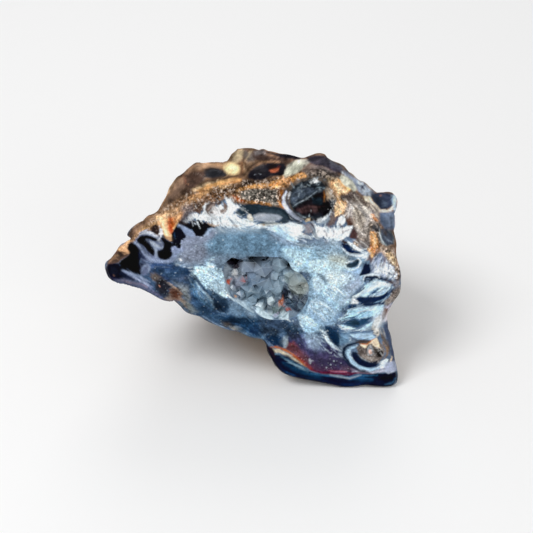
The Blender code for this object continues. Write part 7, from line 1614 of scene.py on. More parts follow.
    ("B4CCE0", 0.9, 0.6, 0.5, 0.6, (323.5, 300.5, 330.5, 306.5, 336.5, 314.5)),
    ("6480A0", 1, 0.7, 0.5, 0.6, (314, 305.5, 322.5, 312, 329, 321.5)),
    ("6480A0", 1, 0.7, 0.5, 0.6, (328, 304, 334, 310, 337, 318)),
    ("C8DCEA", 1.4, 0.8, 0.6, 0.7, (309, 314.5, 308.5, 307.5, 311, 301.5, 316.5, 299)),
    ("A6C6DC", 0, 1.1, 0.6, 0.85, (298.5, 315.5, 302.5, 314.5, 310.5, 318, 317.5, 323.5, 320, 329.5,
        315.5, 333, 306, 333, 301.5, 328.5, 299, 321.5)),
    ("E4F4FA", 1.6, 0.8, 0.4, 0.85, (299.5, 316.5, 300.5, 322.5, 303.5, 329)),
    ("DCEEF8", 1, 0.7, 0.4, 0.7, (302.5, 315.5, 310.5, 319, 317, 325)),
    ("7C98B0", 1, 0.8, 0.5, 0.6, (304, 323.5, 309.5, 328.5, 315.5, 331)),
    ("1E3850", 0, 1.4, 1.2, 0.85, (324.5, 326.5, 332.5, 329.5, 338.5, 334, 340.5, 342, 336, 343.5, 330.5,
        338.5, 327, 333)),
    ("E4F0F6", 1.6, 0.6, 1.2, 0.85, (320, 330.5, 324.5, 335.5, 328, 342)),
    ("DCEAF2", 1.4, 0.6, 1.2, 0.8, (327, 341, 331.5, 345.5, 337, 350)),
    ("E4F0F6", 1.2, 0.6, 0.8, 0.8, (324.5, 332, 328, 331)),
    ("C9BCA8", 0, 1.6, 1.5, 0.45, (354, 206, 361, 211.5, 366, 221, 361, 230.5, 354.5, 226, 352.5, 215)),
    ("EAE2DA", 0, 1, 1, 0.5, (365.5, 207, 371, 211.5, 370.5, 217.5, 365.5, 213.5)),
    ("63584F", 0, 1.4, 1.2, 0.55, (350.5, 198.5, 361, 198, 370, 203.5, 366, 206.5, 356.5, 204, 351.5,
        203.5)),
    ("5A4E48", 1.4, 0.9, 1, 0.6, (348, 211.5, 354.5, 214.5, 359, 222)),
    ("5A4E48", 1.2, 0.8, 1, 0.5, (361, 208, 366.5, 214.5, 367.5, 221)),
    ("EEE8E2", 1.1, 0.7, 1, 0.6, (345.5, 207, 349, 212.5, 348, 219)),
    ("EEE8E2", 1.1, 0.7, 1, 0.6, (356.5, 225.5, 361, 232, 365.5, 236.5)),
    ("8C9AA6", 1.8, 0.9, 0.8, 0.75, (310, 225.5, 314, 230, 315.5, 236.5)),
    ("A8B8C4", 1.3, 0.8, 0.8, 0.7, (324.5, 225, 328.5, 230, 336, 232)),
    ("B0BEC8", 1.1, 0.7, 0.8, 0.6, (330.5, 230, 337, 229.5, 343.5, 227.5)),
    ("90A0AC", 1.4, 0.8, 0.8, 0.6, (302, 225.5, 306.5, 231, 308.5, 236.5)),
    ("DCEAF2", 1.6, 0.8, 1, 0.7, (338, 235, 343.5, 237.5, 349, 239)),
    ("7C8894", 1.1, 0.7, 0.8, 0.6, (318.5, 227.5, 322, 232, 323, 236.5)),
    ("C0946C", 0, 1.4, 1.2, 0.6, (328.5, 182, 332.5, 179.5, 336, 186, 336, 196, 331.5, 192.5)),
    ("EDC29C", 0, 1.2, 0.8, 0.7, (156, 216.5, 162, 214.5, 168.5, 213.5, 166, 219, 168.5, 225.5, 170,
        229.5, 172, 237, 173, 239.5, 170, 241, 167, 239.5, 164.5, 234, 161.5, 227.5, 156.5, 222.5)),
    ("F6DCBC", 1.6, 1, 0.5, 0.7, (158, 219, 162, 222.5, 165, 229, 167.5, 235.5)),
    ("BE6440", 0, 1.4, 0.8, 0.85, (168.5, 217, 172.5, 218, 171.5, 221.5, 170.5, 225.5, 173, 230.5, 171.5,
        233.5, 169, 230.5, 167.5, 224)),
    ("8E3E24", 1.4, 0.9, 0.5, 0.7, (169.5, 225.5, 171, 229.5)),
    ("E4B486", 0, 1.4, 1, 0.6, (172.5, 219, 176.5, 214.5, 181.5, 210.5, 180, 216, 176.5, 222.5, 173.5,
        222.5)),
    ("0D1220", 0, 0.8, 0.8, 0.95, (172, 234.5, 176.5, 226.5, 181.5, 229.5, 186.5, 237, 184, 239.5, 180,
        240, 181.5, 244.5, 179, 248.5, 175.5, 245, 172, 240.5)),
    ("3E5A7C", 1, 0.7, 0.5, 0.75, (174.5, 233, 175, 238)),
    ("0B0D16", 0, 0.8, 0.8, 0.95, (160.5, 237, 165, 238.5, 168.5, 241, 171.5, 242, 176.5, 245, 172, 247,
        170, 250, 171.5, 255, 170, 258, 165, 259.5, 160.5, 259, 158, 255, 158.5, 251.5, 162, 250, 164,
        246.5, 163, 243.5, 161, 240.5)),
    ("2C2422", 0, 1, 0.8, 0.85, (152.5, 225.5, 155.5, 224.5, 158.5, 227.5, 159, 232.5, 155, 235.5, 151.5,
        231.5)),
    ("7A6A66", 1, 0.7, 0.5, 0.6, (154.5, 226.5, 156.5, 230.5)),
    ("D0D4DC", 1.8, 0.8, 0.8, 0.85, (140.5, 234, 146.5, 231.5, 152.5, 233.5, 156.5, 237)),
    ("DDE1E8", 1.5, 0.8, 0.6, 0.85, (159.5, 226.5, 162, 230.5, 160.5, 237, 159, 240)),
    ("F0DCC0", 1.2, 0.8, 0.4, 0.8, (155, 223, 158, 219, 162, 219, 164, 222)),
    ("8C7260", 0, 2, 1, 0.6, (130.5, 234, 136, 225.5, 144, 221, 152.5, 218.5, 149, 224, 142.5, 227.5, 138,
        231.5)),
    ("4A3A34", 1.3, 1, 0.6, 0.7, (132, 237, 129.5, 234, 133, 229)),
    ("1A2238", 0, 1.4, 1, 0.8, (137.5, 246.5, 141, 250.5, 144, 256.5, 147.5, 259.5, 141, 258, 139, 253)),
    ("1E3A58", 0, 1.6, 1, 0.75, (277, 337, 283, 337, 283.5, 348.5, 278, 347.5)),
    ("A0B2C0", 0, 1.2, 1, 0.7, (284, 336.5, 288, 336.5, 287.5, 346, 285, 348.5, 283, 343.5)),
    ("4C4A60", 0, 4, 1, 0.4, (287.5, 346, 307.5, 345, 341, 353.5, 347, 367.5, 318.5, 370.5, 307.5, 366,
        296, 356)),
    ("A4B8C8", 0, 2.5, 1.5, 0.5, (303, 333.5, 314.5, 332, 321.5, 340.5, 318.5, 349, 308.5, 347.5)),
    ("9C5A40", 1.6, 1.2, 0.5, 0.5, (274.5, 347, 286, 349.5, 297.5, 359)),
    ("A8B0B8", 1.5, 1, 0.5, 0.7, (330, 375, 341, 377, 349.5, 378.5, 361, 375)),
    ("1A2638", 2.2, 0.9, 0.4, 0.85, (352.5, 345, 345.5, 346.5, 343.5, 352, 344.5, 359, 349.5, 365.5,
        359.5, 371, 369.5, 372.5)),
    ("B8D4E8", 2.2, 0.9, 0.6, 0.8, (354, 347.5, 349, 350, 348, 355.5, 351.5, 362.5, 359.5, 368, 369.5,
        370, 378.5, 368.5)),
    ("0E1E38", 0, 0.9, 0.5, 0.9, (352.5, 352, 356, 352, 361, 358.5, 369.5, 362.5, 378, 360.5, 375, 365.5,
        366.5, 367, 358, 364.5, 353, 358.5)),
    ("D4E0EA", 2.4, 1, 0.4, 0.8, (375, 368.5, 382, 366, 387, 360.5)),
    ("4E3A34", 0, 2, 1, 0.75, (171, 288, 178.5, 288, 182, 292, 179, 296.5, 172.5, 294.5)),
    ("BFA48C", 1.2, 0.9, 0.5, 0.7, (169, 282.5, 175.5, 288, 182.5, 294.5)),
    ("8AA2B6", 0, 1.8, 2, 0.6, (230, 304, 239, 302.5, 244, 308.5, 240.5, 316, 232.5, 312.5)),
    ("9AAEC0", 0, 1.8, 2, 0.55, (246, 309.5, 254.5, 311.5, 256.5, 317, 249, 318)),
    ("173450", 0, 1.8, 2, 0.7, (220.5, 316, 235, 318.5, 249, 318.5, 258, 325.5, 254.5, 331.5, 240.5, 326,
        223.5, 322)),
    ("46566A", 0, 2.5, 2, 0.55, (259, 318, 266, 320.5, 274.5, 318.5, 286, 323, 278, 334.5, 263, 334.5)),
    ("0E2440", 0, 1.4, 1, 0.7, (249, 328.5, 258, 325.5, 255.5, 334, 250.5, 334)),
    ("22405C", 0, 2, 2, 0.6, (191, 290.5, 198, 296, 203.5, 306, 206.5, 311.5, 196.5, 307.5, 191, 299)),
    ("6A8298", 0, 2, 2, 0.5, (235, 325.5, 246, 331.5, 252, 334, 240.5, 334)),
    ("3C5064", 0, 2, 2, 0.5, (212, 297.5, 223.5, 297.5, 229, 304.5, 226.5, 311.5, 216.5, 308.5)),
    ("B4C6D4", 1, 0.7, 1, 0.6, (196.5, 282, 202.5, 290.5, 211, 299)),
    ("B4C6D4", 0.9, 0.7, 1, 0.5, (194, 285.5, 199.5, 294.5, 208, 303)),
    ("8CA4B8", 0.9, 0.7, 1, 0.5, (182.5, 273.5, 188, 276, 191, 283.5)),
    ("7C6458", 0, 2.5, 1.5, 0.7, (170, 289, 180.5, 290.5, 182, 297.5, 177, 301.5, 171, 300.5)),
    ("5A3426", 0, 1.5, 1, 0.7, (171, 292, 176, 290.5, 180, 295.5, 177.5, 297.5, 173.5, 296)),
    ("A89484", 1.2, 1, 0.8, 0.6, (178.5, 296, 182.5, 301.5, 187, 308)),
    ("2C4660", 0, 3, 2, 0.5, (226.5, 300.5, 237.5, 304.5, 249, 314.5, 257.5, 321.5, 254.5, 330, 243.5,
        328.5, 229, 320, 220.5, 311.5)),
    ("2A3E58", 0, 3, 2, 0.45, (263, 318.5, 290, 316, 290, 334, 252, 334, 254.5, 325.5)),
    ("1C3048", 0, 2, 1.5, 0.55, (213.5, 297.5, 223.5, 299, 229, 304.5, 226.5, 311.5, 218, 311.5, 213.5,
        306)),
    ("4A6680", 0, 3, 2, 0.4, (192.5, 301.5, 209.5, 311.5, 223.5, 321.5, 218, 325.5, 203.5, 318.5, 192.5,
        310)),
    ("24405E", 0, 2, 2, 0.5, (153, 263.5, 175.5, 265, 189.5, 270.5, 188, 276, 172.5, 277.5, 155.5, 272)),
    ("E4F2F8", 0, 0.8, 1.5, 0.85, (262.5, 312, 271.5, 314.5, 273, 319, 266, 318.5)),
    ("E4F0F4", 0, 0.8, 1.5, 0.85, (279, 314.5, 286, 311.5, 289, 316, 290, 321.5, 285, 319)),
    ("C4D8E4", 0, 1, 1.5, 0.7, (229, 297.5, 240.5, 300.5, 249, 305, 254.5, 307, 254, 309.5, 243.5, 304.5,
        232, 300.5)),
    ("F0CDA4", 0, 1, 2, 0.6, (331.5, 182, 337, 181, 342.5, 185.5, 349.5, 191, 345, 194, 338, 192, 334,
        189)),
    ("F6E2C8", 1.2, 0.8, 2, 0.6, (334, 184.5, 340.5, 189, 345, 192)),
    ("F2D2AE", 0, 1, 2, 0.65, (335, 203.5, 340.5, 202, 346, 206.5, 342.5, 212, 336, 216.5, 335, 210)),
    ("FAEAD8", 1, 0.8, 2, 0.6, (337, 204.5, 342.5, 208, 339.5, 213.5)),
    ("EFC08A", 0, 1.2, 1.5, 0.5, (370.5, 231, 376, 233.5, 377.5, 243.5, 374, 252, 370.5, 241)),
    ("F4DCC0", 1, 0.8, 1.5, 0.6, (372.5, 232, 375, 239, 374, 246.5)),
    ("4C403A", 1.6, 1, 1, 0.6, (349.5, 194.5, 358, 198, 367, 206.5, 376, 214.5)),
    ("463C38", 1.4, 1, 1, 0.6, (351.5, 203.5, 358, 212, 362.5, 223.5, 364, 232)),
    ("5A4E48", 1.3, 1, 1, 0.5, (358, 199, 365, 203.5, 372.5, 210)),
    ("D8D0C6", 1.2, 0.8, 1.5, 0.6, (354, 195.5, 360.5, 203.5, 368, 211, 374, 221)),
    ("E0D8CE", 1, 0.8, 1.5, 0.6, (344, 199, 351.5, 205.5, 356, 216.5, 358, 228)),
    ("3A4048", 0, 1.2, 1, 0.6, (371.5, 225.5, 378, 223.5, 380.5, 229, 376, 232, 372, 230.5)),
    ("D8CCBA", 0, 1, 1.5, 0.7, (364, 196.5, 369.5, 197, 372.5, 201.5, 367, 201)),
    ("5C6A80", 0, 1.5, 1, 0.6, (380.5, 214.5, 391.5, 213.5, 392.5, 222, 385, 228, 380.5, 222)),
    ("44506A", 1.6, 0.8, 0.6, 0.6, (356, 184.5, 362.5, 186.5, 367, 192)),
    ("3C4660", 1.6, 0.8, 0.6, 0.6, (359.5, 190, 365, 184.5, 368, 190)),
    ("E8D8D0", 1.2, 0.8, 0.5, 0.7, (395.5, 219, 395, 225.5)),
    ("96B4C8", 0, 2, 2, 0.45, (298, 248, 318, 241, 338, 245.5, 345, 254.5, 329.5, 252, 314, 254.5)),
    ("B4D2E2", 0, 2, 2, 0.5, (302.5, 263.5, 325, 259, 342.5, 265.5, 351.5, 272, 329.5, 270, 309.5, 272)),
    ("7C96A8", 0, 1, 1, 0.6, (315, 251.5, 320, 251, 322.5, 255, 320, 258, 316, 256)),
    ("FFFFFF", 0.9, 0.7, 1, 0.7, (321.5, 232, 332.5, 235.5, 344, 232, 350.5, 228)),
    ("8C8A90", 1.3, 0.8, 1, 0.6, (304, 223.5, 302.5, 230, 306, 234.5, 312.5, 235.5)),
    ("A8A4A4", 1.2, 0.8, 0.6, 0.6, (315, 224.5, 318, 231, 316, 236.5)),
    ("8A7E88", 1, 0.8, 0.6, 0.75, (327, 225.5, 332.5, 229, 334.5, 234, 332, 237)),
    ("9A929A", 0.8, 0.7, 0.6, 0.7, (320.5, 229, 325.5, 232, 327, 236.5)),
    ("6A4E46", 1.1, 0.8, 0.6, 0.7, (338.5, 223, 342.5, 227, 342.5, 232)),
    ("8C8890", 0.9, 0.7, 0.6, 0.7, (342.5, 233.5, 346.5, 230.5, 351.5, 229)),
    ("4C3A38", 0, 1, 0.8, 0.75, (351.5, 228, 356, 230.5, 357.5, 237.5, 353, 239, 349.5, 235)),
    ("72828C", 0, 1, 1, 0.75, (317.5, 273.5, 324, 276, 325.5, 282, 321.5, 280, 318.5, 277.5)),
    ("C6DAE6", 0, 1, 1.5, 0.7, (312, 279, 316.5, 275, 323.5, 282, 324, 287.5, 319, 292, 314, 289.5)),
    ("8498A8", 1.1, 0.8, 0.8, 0.6, (311.5, 278.5, 310.5, 284.5, 313.5, 291, 317, 295.5)),
    ("DCEAF4", 0.8, 0.7, 0.8, 0.75, (326, 284.5, 333.5, 289, 340.5, 292)),
    ("DCEAF4", 0.8, 0.7, 0.8, 0.75, (325, 289, 333.5, 293.5, 342.5, 297.5)),
    ("E4F0F8", 0.8, 0.7, 0.8, 0.75, (324, 292.5, 331.5, 298, 337, 302.5)),
    ("66809A", 1.4, 1, 1, 0.65, (309.5, 298.5, 306.5, 306.5, 304.5, 314, 299.5, 315.5)),
    ("B4CEDE", 0, 1.4, 1.5, 0.6, (311.5, 300, 320.5, 298.5, 331.5, 304.5, 337, 312, 331.5, 321, 320.5,
        317.5, 310, 310)),
    ("E2EEF6", 0.8, 0.7, 0.8, 0.75, (312, 301.5, 320.5, 303.5, 329, 308)),
    ("E2EEF6", 0.8, 0.7, 0.8, 0.75, (310, 305.5, 318.5, 309, 328, 315.5)),
    ("D8E8F2", 0.8, 0.7, 0.8, 0.7, (311.5, 310, 320.5, 314.5, 327, 321.5)),
    ("7890A4", 0.8, 0.7, 0.8, 0.6, (317, 299, 326, 302.5, 333.5, 306.5)),
    ("7890A4", 0.8, 0.7, 0.8, 0.6, (313.5, 307.5, 322.5, 312, 330.5, 317.5)),
    ("C4DCE8", 0, 1.2, 1.5, 0.7, (298.5, 315.5, 306, 314.5, 313.5, 321, 317, 328, 309.5, 327.5, 300.5,
        322.5)),
    ("5C7488", 1, 0.8, 0.8, 0.6, (298, 316, 301, 323.5, 308, 328.5)),
    ("E8F2F8", 0.8, 0.7, 0.8, 0.7, (302.5, 317.5, 309.5, 322.5, 315, 326.5)),
    ("94AABA", 0, 2, 1.5, 0.5, (335, 292, 346, 297.5, 342.5, 306.5, 335, 302.5)),
    ("0E2C48", 0, 1.2, 1, 0.75, (328, 332, 335, 333.5, 340.5, 341, 337, 346.5, 330.5, 341)),
    ("D4E4EC", 1, 0.8, 1.5, 0.7, (322.5, 332, 327, 339, 331.5, 346.5)),
    ("9CB0BC", 0, 1.2, 1, 0.6, (317, 252, 322.5, 251, 325, 255.5, 319.5, 257)),
    ("6C8294", 1, 0.8, 1, 0.5, (291.5, 244.5, 302.5, 248, 317, 250, 328, 253.5)),
    ("B8C4C8", 1, 0.8, 1.5, 0.5, (286, 239, 298.5, 244.5, 311.5, 248)),
    ("2C2424", 0, 1, 0.6, 0.85, (267.5, 165.5, 274.5, 164, 275.5, 168.5, 272, 170, 268.5, 170)),
    ("1E1C22", 0, 1, 0.6, 0.75, (277.5, 170, 283.5, 169, 284, 174, 279.5, 176.5, 274.5, 174.5)),
    ("F2D6AC", 0, 2.5, 1, 0.55, (225, 166, 232, 163, 238, 166.5, 237.5, 172.5, 230.5, 173.5, 225.5,
        170.5)),
    ("3E4C54", 1.2, 1.4, 1, 0.6, (251.5, 221.5, 266, 224, 282, 222.5, 286, 219)),
    ("47565E", 1, 1.4, 1, 0.6, (253, 216, 263, 213, 275.5, 213, 285.5, 216.5)),
    ("DDE4E6", 0.7, 0.6, 1.5, 0.6, (253, 214.5, 255, 217.5, 254, 221)),
    ("DDE4E6", 0.7, 0.6, 1.5, 0.5, (259.5, 221, 269, 222, 277.5, 221)),
    ("2A363E", 0, 2, 1, 0.5, (238.5, 206, 253, 205.5, 274, 207, 287, 211, 285.5, 214.5, 269, 211, 253,
        211, 243.5, 212.5)),
    ("E6EEF2", 0.9, 0.7, 1, 0.8, (194, 217.5, 197.5, 222.5, 200, 228)),
    ("E6EEF2", 0.8, 0.7, 1, 0.8, (196.5, 216, 201, 221, 203.5, 224)),
    ("DCE4EA", 0.8, 0.7, 1, 0.7, (188.5, 216, 192, 221, 193.5, 225.5)),
    ("1C1A1E", 0, 1, 0.6, 0.6, (287, 155, 293.5, 155.5, 300, 156, 300, 158, 292, 158)),
    ("5A4A40", 0, 2, 1, 0.55, (183.5, 175.5, 193.5, 170.5, 203, 174.5, 200, 182.5, 190, 187, 185, 183.5)),
    ("B08058", 1.1, 1, 1, 0.5, (179, 204.5, 188.5, 198, 201.5, 191.5, 214.5, 185)),
    ("F0C890", 1, 0.8, 1.5, 0.6, (221, 182.5, 230.5, 180.5, 239, 180)),
    ("4E4038", 1.1, 0.9, 1, 0.5, (180.5, 211, 193.5, 204.5, 208, 200, 221, 198)),
    # Painted shadow in a cave under the pocket's upper lip
    ("08080E", 0, 0.6, 0.5, 0.85, (247.5, 258, 251.5, 256.5, 260, 257, 270, 256, 268.5, 257.5, 260, 258,
        251.5, 259)),
    ("C6DEE8", 0, 1.2, 1.5, 0.5, (283, 249.5, 291.5, 248.5, 300, 251.5, 310.5, 252.5, 308.5, 259, 296,
        260, 287.5, 256)),
    ("A8C4D4", 1, 0.8, 1.5, 0.5, (281, 261, 289.5, 267.5, 296, 270.5)),
)

# Tones of the crystals, with painted shadow in the caves under the pocket's upper lip and painted reflections
# on bright facets
POCKET = (
    ("7C8C9C", 0, 1, 0, 1, (223.7, 255.3, 233.9, 250.2, 246.1, 252.2, 260.4, 253.3, 270.6, 253.3, 282.9,
        255.3, 289, 263.5, 293.1, 269.6, 305.3, 270.6, 313.5, 274.7, 314.5, 284.9, 311.4, 295.1, 309.4, 305.3,
        301.2, 315.5, 291, 320.6, 270.6, 319.6, 250.2, 311.4, 233.9, 297.1, 221.6, 282.9, 219.6, 266.5)),
    ("98A2AC", 0, 3, 1, 0.9, (222.7, 267.6, 233.9, 260.4, 244.1, 265.5, 246.1, 273.7, 242, 282.9, 235.9, 291,
        226.7, 291, 221.6, 280.8)),
    ("7F8494", 0, 2, 0.5, 0.9, (231.6, 275.7, 237.8, 274.7, 241.8, 278.8, 240.8, 288, 235.7, 289, 231.6,
        282.9)),
    ("8A93A6", 0, 1.5, 0.5, 0.9, (238.8, 267.6, 242.9, 263, 248, 261.9, 251, 266.5, 250, 271.6, 244.9,
        272.7)),
    ("97A4B4", 0, 1.2, 0.5, 1, (241.5, 266, 245.6, 261.4, 251.2, 261.9, 255.8, 266.5, 255.8, 272.1, 250.2,
        274.2, 245.1, 273.2, 241.5, 270.1)),
    ("76859A", 0, 1.6, 0.5, 0.8, (244.1, 267.6, 251.2, 267, 253.3, 271.6, 248.2, 272.7, 244.1, 271.1)),
    ("8698AA", 0, 1, 0.4, 1, (256.8, 264.5, 261.9, 260.9, 269.6, 261.4, 275.7, 264.7, 274.2, 272.1, 269.6,
        276.2, 263.5, 278.3, 258.9, 274.2, 256.3, 268.6)),
    ("5F7590", 0, 2, 0.4, 0.9, (260.4, 265.5, 266.5, 264, 272.7, 265.5, 271.6, 271.6, 266.5, 275.2, 261.4,
        272.7)),
    ("7C909E", 0, 1, 0.4, 1, (269.6, 261.4, 274.7, 257.1, 280.8, 257.1, 285.1, 261.4, 286.1, 267.6, 284.1,
        277.8, 283.1, 288, 279, 297.7, 270.6, 297.7, 269.4, 285.9, 273.5, 275.7, 275.7, 266.5)),
    ("8FA2AE", 0, 2, 0.4, 0.7, (274.7, 266.5, 280.8, 262.4, 283.9, 268.6, 281.8, 280.8, 276.7, 284.9, 273.7,
        277.8)),
    ("96A5A8", 0, 1, 0.4, 1, (284.1, 272.7, 293.1, 270.4, 292.2, 275.7, 288, 284.1, 283.7, 281)),
    ("7F929C", 0, 1.4, 0.4, 1, (292, 272.7, 301.2, 271.4, 311.4, 273.5, 312.7, 280, 307.3, 282.9, 297.1,
        281.8, 291, 279.8)),
    ("969E9E", 0, 1.6, 0.4, 1, (289, 281.8, 297.1, 279.8, 307.3, 281.8, 306.8, 293.1, 301.2, 296.3, 295.1,
        295.8, 289, 291.2, 287.8, 284.4)),
    ("C9B49C", 0.9, 0.7, 1.5, 0.8, (300.2, 282.3, 303.3, 284.4, 307.3, 284.1)),
    ("70849A", 0, 1.2, 0.4, 1, (247.3, 278, 253.3, 273.5, 258.6, 276.7, 259.6, 283.1, 253.3, 287.1, 248,
        284.1)),
    ("748896", 0, 3, 1, 0.9, (241, 289, 252.2, 288, 268.6, 289, 269.6, 297.1, 264.5, 305.3, 254.3, 305.3,
        244.1, 298.2)),
    ("6A7F90", 0, 2.5, 1, 0.8, (258.4, 284.9, 268.6, 280.8, 270.6, 293.1, 264.5, 297.1, 258.4, 293.1)),
    ("28334A", 0, 1.2, 0.8, 1, (282.9, 286.4, 289, 291, 297.1, 296.3, 306.3, 295.6, 307.9, 298.2, 306.1,
        305.3, 301.2, 311.9, 295.1, 310.4, 289, 306.3, 283.9, 301.7, 280.8, 297.1)),
    ("4A5468", 0, 1.2, 0.6, 0.9, (288, 297.1, 292, 296.1, 293.1, 301.2, 289, 302.2)),
    ("3F4A60", 0, 1.2, 0.6, 0.9, (295.1, 301.2, 300.2, 300.2, 301.2, 305.3, 297.1, 307.3)),
    ("7A8A88", 0, 1.6, 0.5, 0.9, (270.6, 306.3, 280.8, 305.3, 285.4, 311.4, 278.8, 315, 271.6, 311.9)),
    ("5C6C78", 0, 1.6, 0.5, 0.9, (264.5, 301.2, 269.8, 305.3, 268.8, 311.4, 264.5, 310.4, 263, 304.3)),
    ("6A7C8A", 0, 1.6, 0.5, 0.9, (288, 313, 295.6, 317.6, 297.1, 325.7, 289, 322.7, 285.4, 318.6)),
    ("94A8AC", 0, 1.4, 0.5, 0.9, (304.3, 305.3, 310.4, 299.2, 309.4, 311.4, 306.3, 315.5, 303.3, 311.4)),
    ("DCEDF5", 0, 0.9, 1, 1, (256.3, 305.8, 262.4, 303.1, 264.7, 311.4, 271.1, 311.6, 271.8, 316.7, 266.5,
        319.1, 260.9, 314.7, 255.8, 309.9)),
    ("E6F1F6", 0, 0.9, 1, 1, (278.3, 316, 285.9, 311.6, 288.2, 316.7, 283.9, 320.1, 278.8, 318.8)),
    ("C6B7D2", 1.2, 0.8, 0.6, 0.9, (272.7, 317, 275.9, 314.5, 280, 311.6)),
    ("BCD2DE", 0, 2, 1.5, 0.8, (240, 300.2, 246.1, 300.2, 254.3, 304.3, 255.3, 308.4, 246.1, 307.3, 240,
        305.3)),
    ("CFE0EA", 0, 1.4, 1.5, 0.8, (233.9, 297.1, 240, 300.2, 246.1, 305.3, 240, 306.3, 230.8, 301.2)),
    # Painted reflection: bright crystal facets catching the light
    ("F8FCFD", 0, 0.7, 0.3, 1, (267.3, 300.2, 270.6, 296.9, 274.4, 299, 273.9, 303.5, 270.6, 305.5, 267.8,
        303.5)),
    ("E4F2F8", 0, 0.7, 0.3, 0.95, (265, 290.8, 266.7, 290, 267.8, 291.8, 266.1, 293.1)),
    ("DCE9F0", 0, 0.7, 0.3, 0.95, (289.5, 296.1, 291.5, 295.3, 292.2, 297.3, 290.4, 298.4)),
    ("D6E6EE", 0, 0.8, 0.3, 0.85, (249.2, 291, 250.8, 290.5, 251.2, 292.2, 249.8, 292.9)),
    ("D58A6E", 0, 0.8, 1, 0.95, (277.6, 301.7, 280.8, 300.2, 282.9, 295.1, 284.1, 301.2, 280.8, 305.5, 278.3,
        305.5)),
    ("C25A3A", 0, 0.8, 0.6, 0.95, (284.7, 309.4, 290.2, 308.6, 289.2, 310.6, 285.7, 310.8)),
    ("A06A60", 0.9, 0.6, 0.6, 0.8, (280.8, 305.3, 285.9, 307.3, 291, 310.4)),
    ("B85A42", 0, 0.9, 0.8, 0.95, (226.3, 280, 230.8, 277.6, 231.2, 280.6, 228.6, 284.1, 226.3, 282)),
    ("B04A34", 1, 0.6, 0.3, 0.9, (248, 275.2, 250.8, 274)),
    ("A8452E", 1.6, 0.8, 0.5, 0.95, (242, 282.7, 246.5, 280.6)),
    ("D0A090", 0, 0.9, 0.6, 0.85, (253.1, 273.9, 256.7, 273.5, 256.9, 276.7, 254.6, 275.9)),
    ("E2DEE0", 0, 0.9, 0.2, 1, (231.4, 273.2, 234.7, 269.1, 237.6, 273.7, 233.9, 275.5)),
    ("DAB090", 0, 0.9, 0.3, 0.9, (233.9, 295.1, 236.3, 295.1, 236.3, 297.3, 234.3, 297.3)),
    # Painted shadow: the dark caves under the upper lip, to the mark in 15141C, with some reddish brown of the
    # lip
    ("463F4C", 0, 0.9, 0.4, 1, (225.7, 260.9, 227.8, 259.9, 230.6, 258.6, 233.7, 259, 236.7, 256.8, 239.3,
        257.1, 241.4, 260.4, 243.1, 261.6, 240, 264.5, 238, 268.6, 234.7, 269.4, 231.4, 267.8, 232.2, 265.5,
        228.4, 264.5)),
    ("100E16", 1.4, 0.8, 0.4, 1, (228.8, 260.4, 232.7, 259, 236.7, 257.3, 240.3, 259.4, 242.7, 261.6, 239,
        265.5)),
    ("5A2A2A", 1, 0.7, 0.4, 0.8, (240, 259.4, 242, 261.9, 239.6, 264.5)),
    ("0E0D14", 0, 0.8, 0.6, 1, (247.3, 258.6, 252.2, 256.3, 269.8, 255.7, 267.8, 259.4, 259.4, 261.6, 256.8,
        265.7, 254.8, 267, 253.3, 262.7, 249.2, 260.6)),
    ("3A1A1A", 1.4, 1, 0.4, 0.8, (253.3, 259.6, 260.4, 259.4, 264.5, 258.4)),
    ("15141C", 0, 0.8, 0.4, 1, (284.9, 260.2, 289.2, 263.3, 291.4, 267.6, 290.2, 269.8, 286.9, 268.8, 285.1,
        264.7)),
    ("2A3038", 0.9, 0.6, 0.3, 0.9, (269.1, 261.4, 275.7, 264.2)),
    ("4A5866", 0.9, 0.6, 0.3, 0.8, (284.9, 271.6, 291, 269.6, 295.1, 272.7)),
    ("4A5A66", 0.8, 0.6, 0.3, 0.8, (283.9, 282.9, 288, 284.9, 290, 291)),
    ("4A5A6A", 0.8, 0.6, 0.3, 0.8, (256.8, 268.6, 259.4, 274.7, 264.5, 278.6, 270.6, 276.7)),
    ("4A5A6A", 0.8, 0.6, 0.3, 0.7, (275.2, 266.5, 273.2, 275.7, 269.6, 284.9, 269.6, 293.1)),
    ("4C5C6C", 0.8, 0.6, 0.3, 0.7, (247.1, 277.8, 248.2, 284.4, 253.3, 287.4, 259.4, 283.4)),
    ("56667A", 0.8, 0.6, 0.3, 0.7, (241, 271.6, 246.1, 274.7, 252.2, 275.2, 256.3, 271.6)),
    # Painted reflection: bright crystal facets catching the light
    ("DFEBF0", 0, 1, 0.3, 0.9, (268, 297.5, 271.5, 296.5, 274.5, 298.5, 274, 303, 271, 305, 268, 302.5)),
    ("DCE8EE", 0, 1.2, 0.5, 0.85, (255.5, 307.5, 260.5, 304, 264, 307.5, 265, 313.5, 272, 314.5, 269.5,
        318.5, 264, 316, 258.5, 312)),
    ("DCE8EE", 0, 1.2, 0.5, 0.85, (278.5, 316, 282.5, 313, 288, 313.5, 288.5, 318.5, 282.5, 319.5)),
    ("93A4AE", 0, 2, 0.5, 0.5, (290.5, 271.5, 301, 271, 309, 272.5, 310, 279.5, 301, 280.5, 293, 279.5)),
    ("9A988E", 0, 1.5, 0.3, 0.6, (293, 284.5, 301, 282, 307.5, 284.5, 307.5, 290, 301, 293.5, 294.5,
        291)),
    ("D78A64", 0, 0.8, 0.3, 0.9, (278, 300.5, 282.5, 299, 282, 305.5, 279.5, 305.5)),
    ("B85038", 0, 0.7, 0.3, 0.85, (285, 309, 289, 307.5, 291, 309.5, 288, 310.5)),
    ("E6E6E2", 0, 1, 0.3, 0.8, (232, 271.5, 234.5, 269, 236.5, 272, 235.5, 275.5, 232.5, 275)),
    ("E8A87C", 1.4, 0.8, 0, 0.9, (235, 295.5, 236, 297)),
    ("C65E44", 0, 0.8, 0.4, 0.85, (226.5, 281.5, 229, 278.5, 230.5, 281.5, 230, 285, 227, 283.5)),
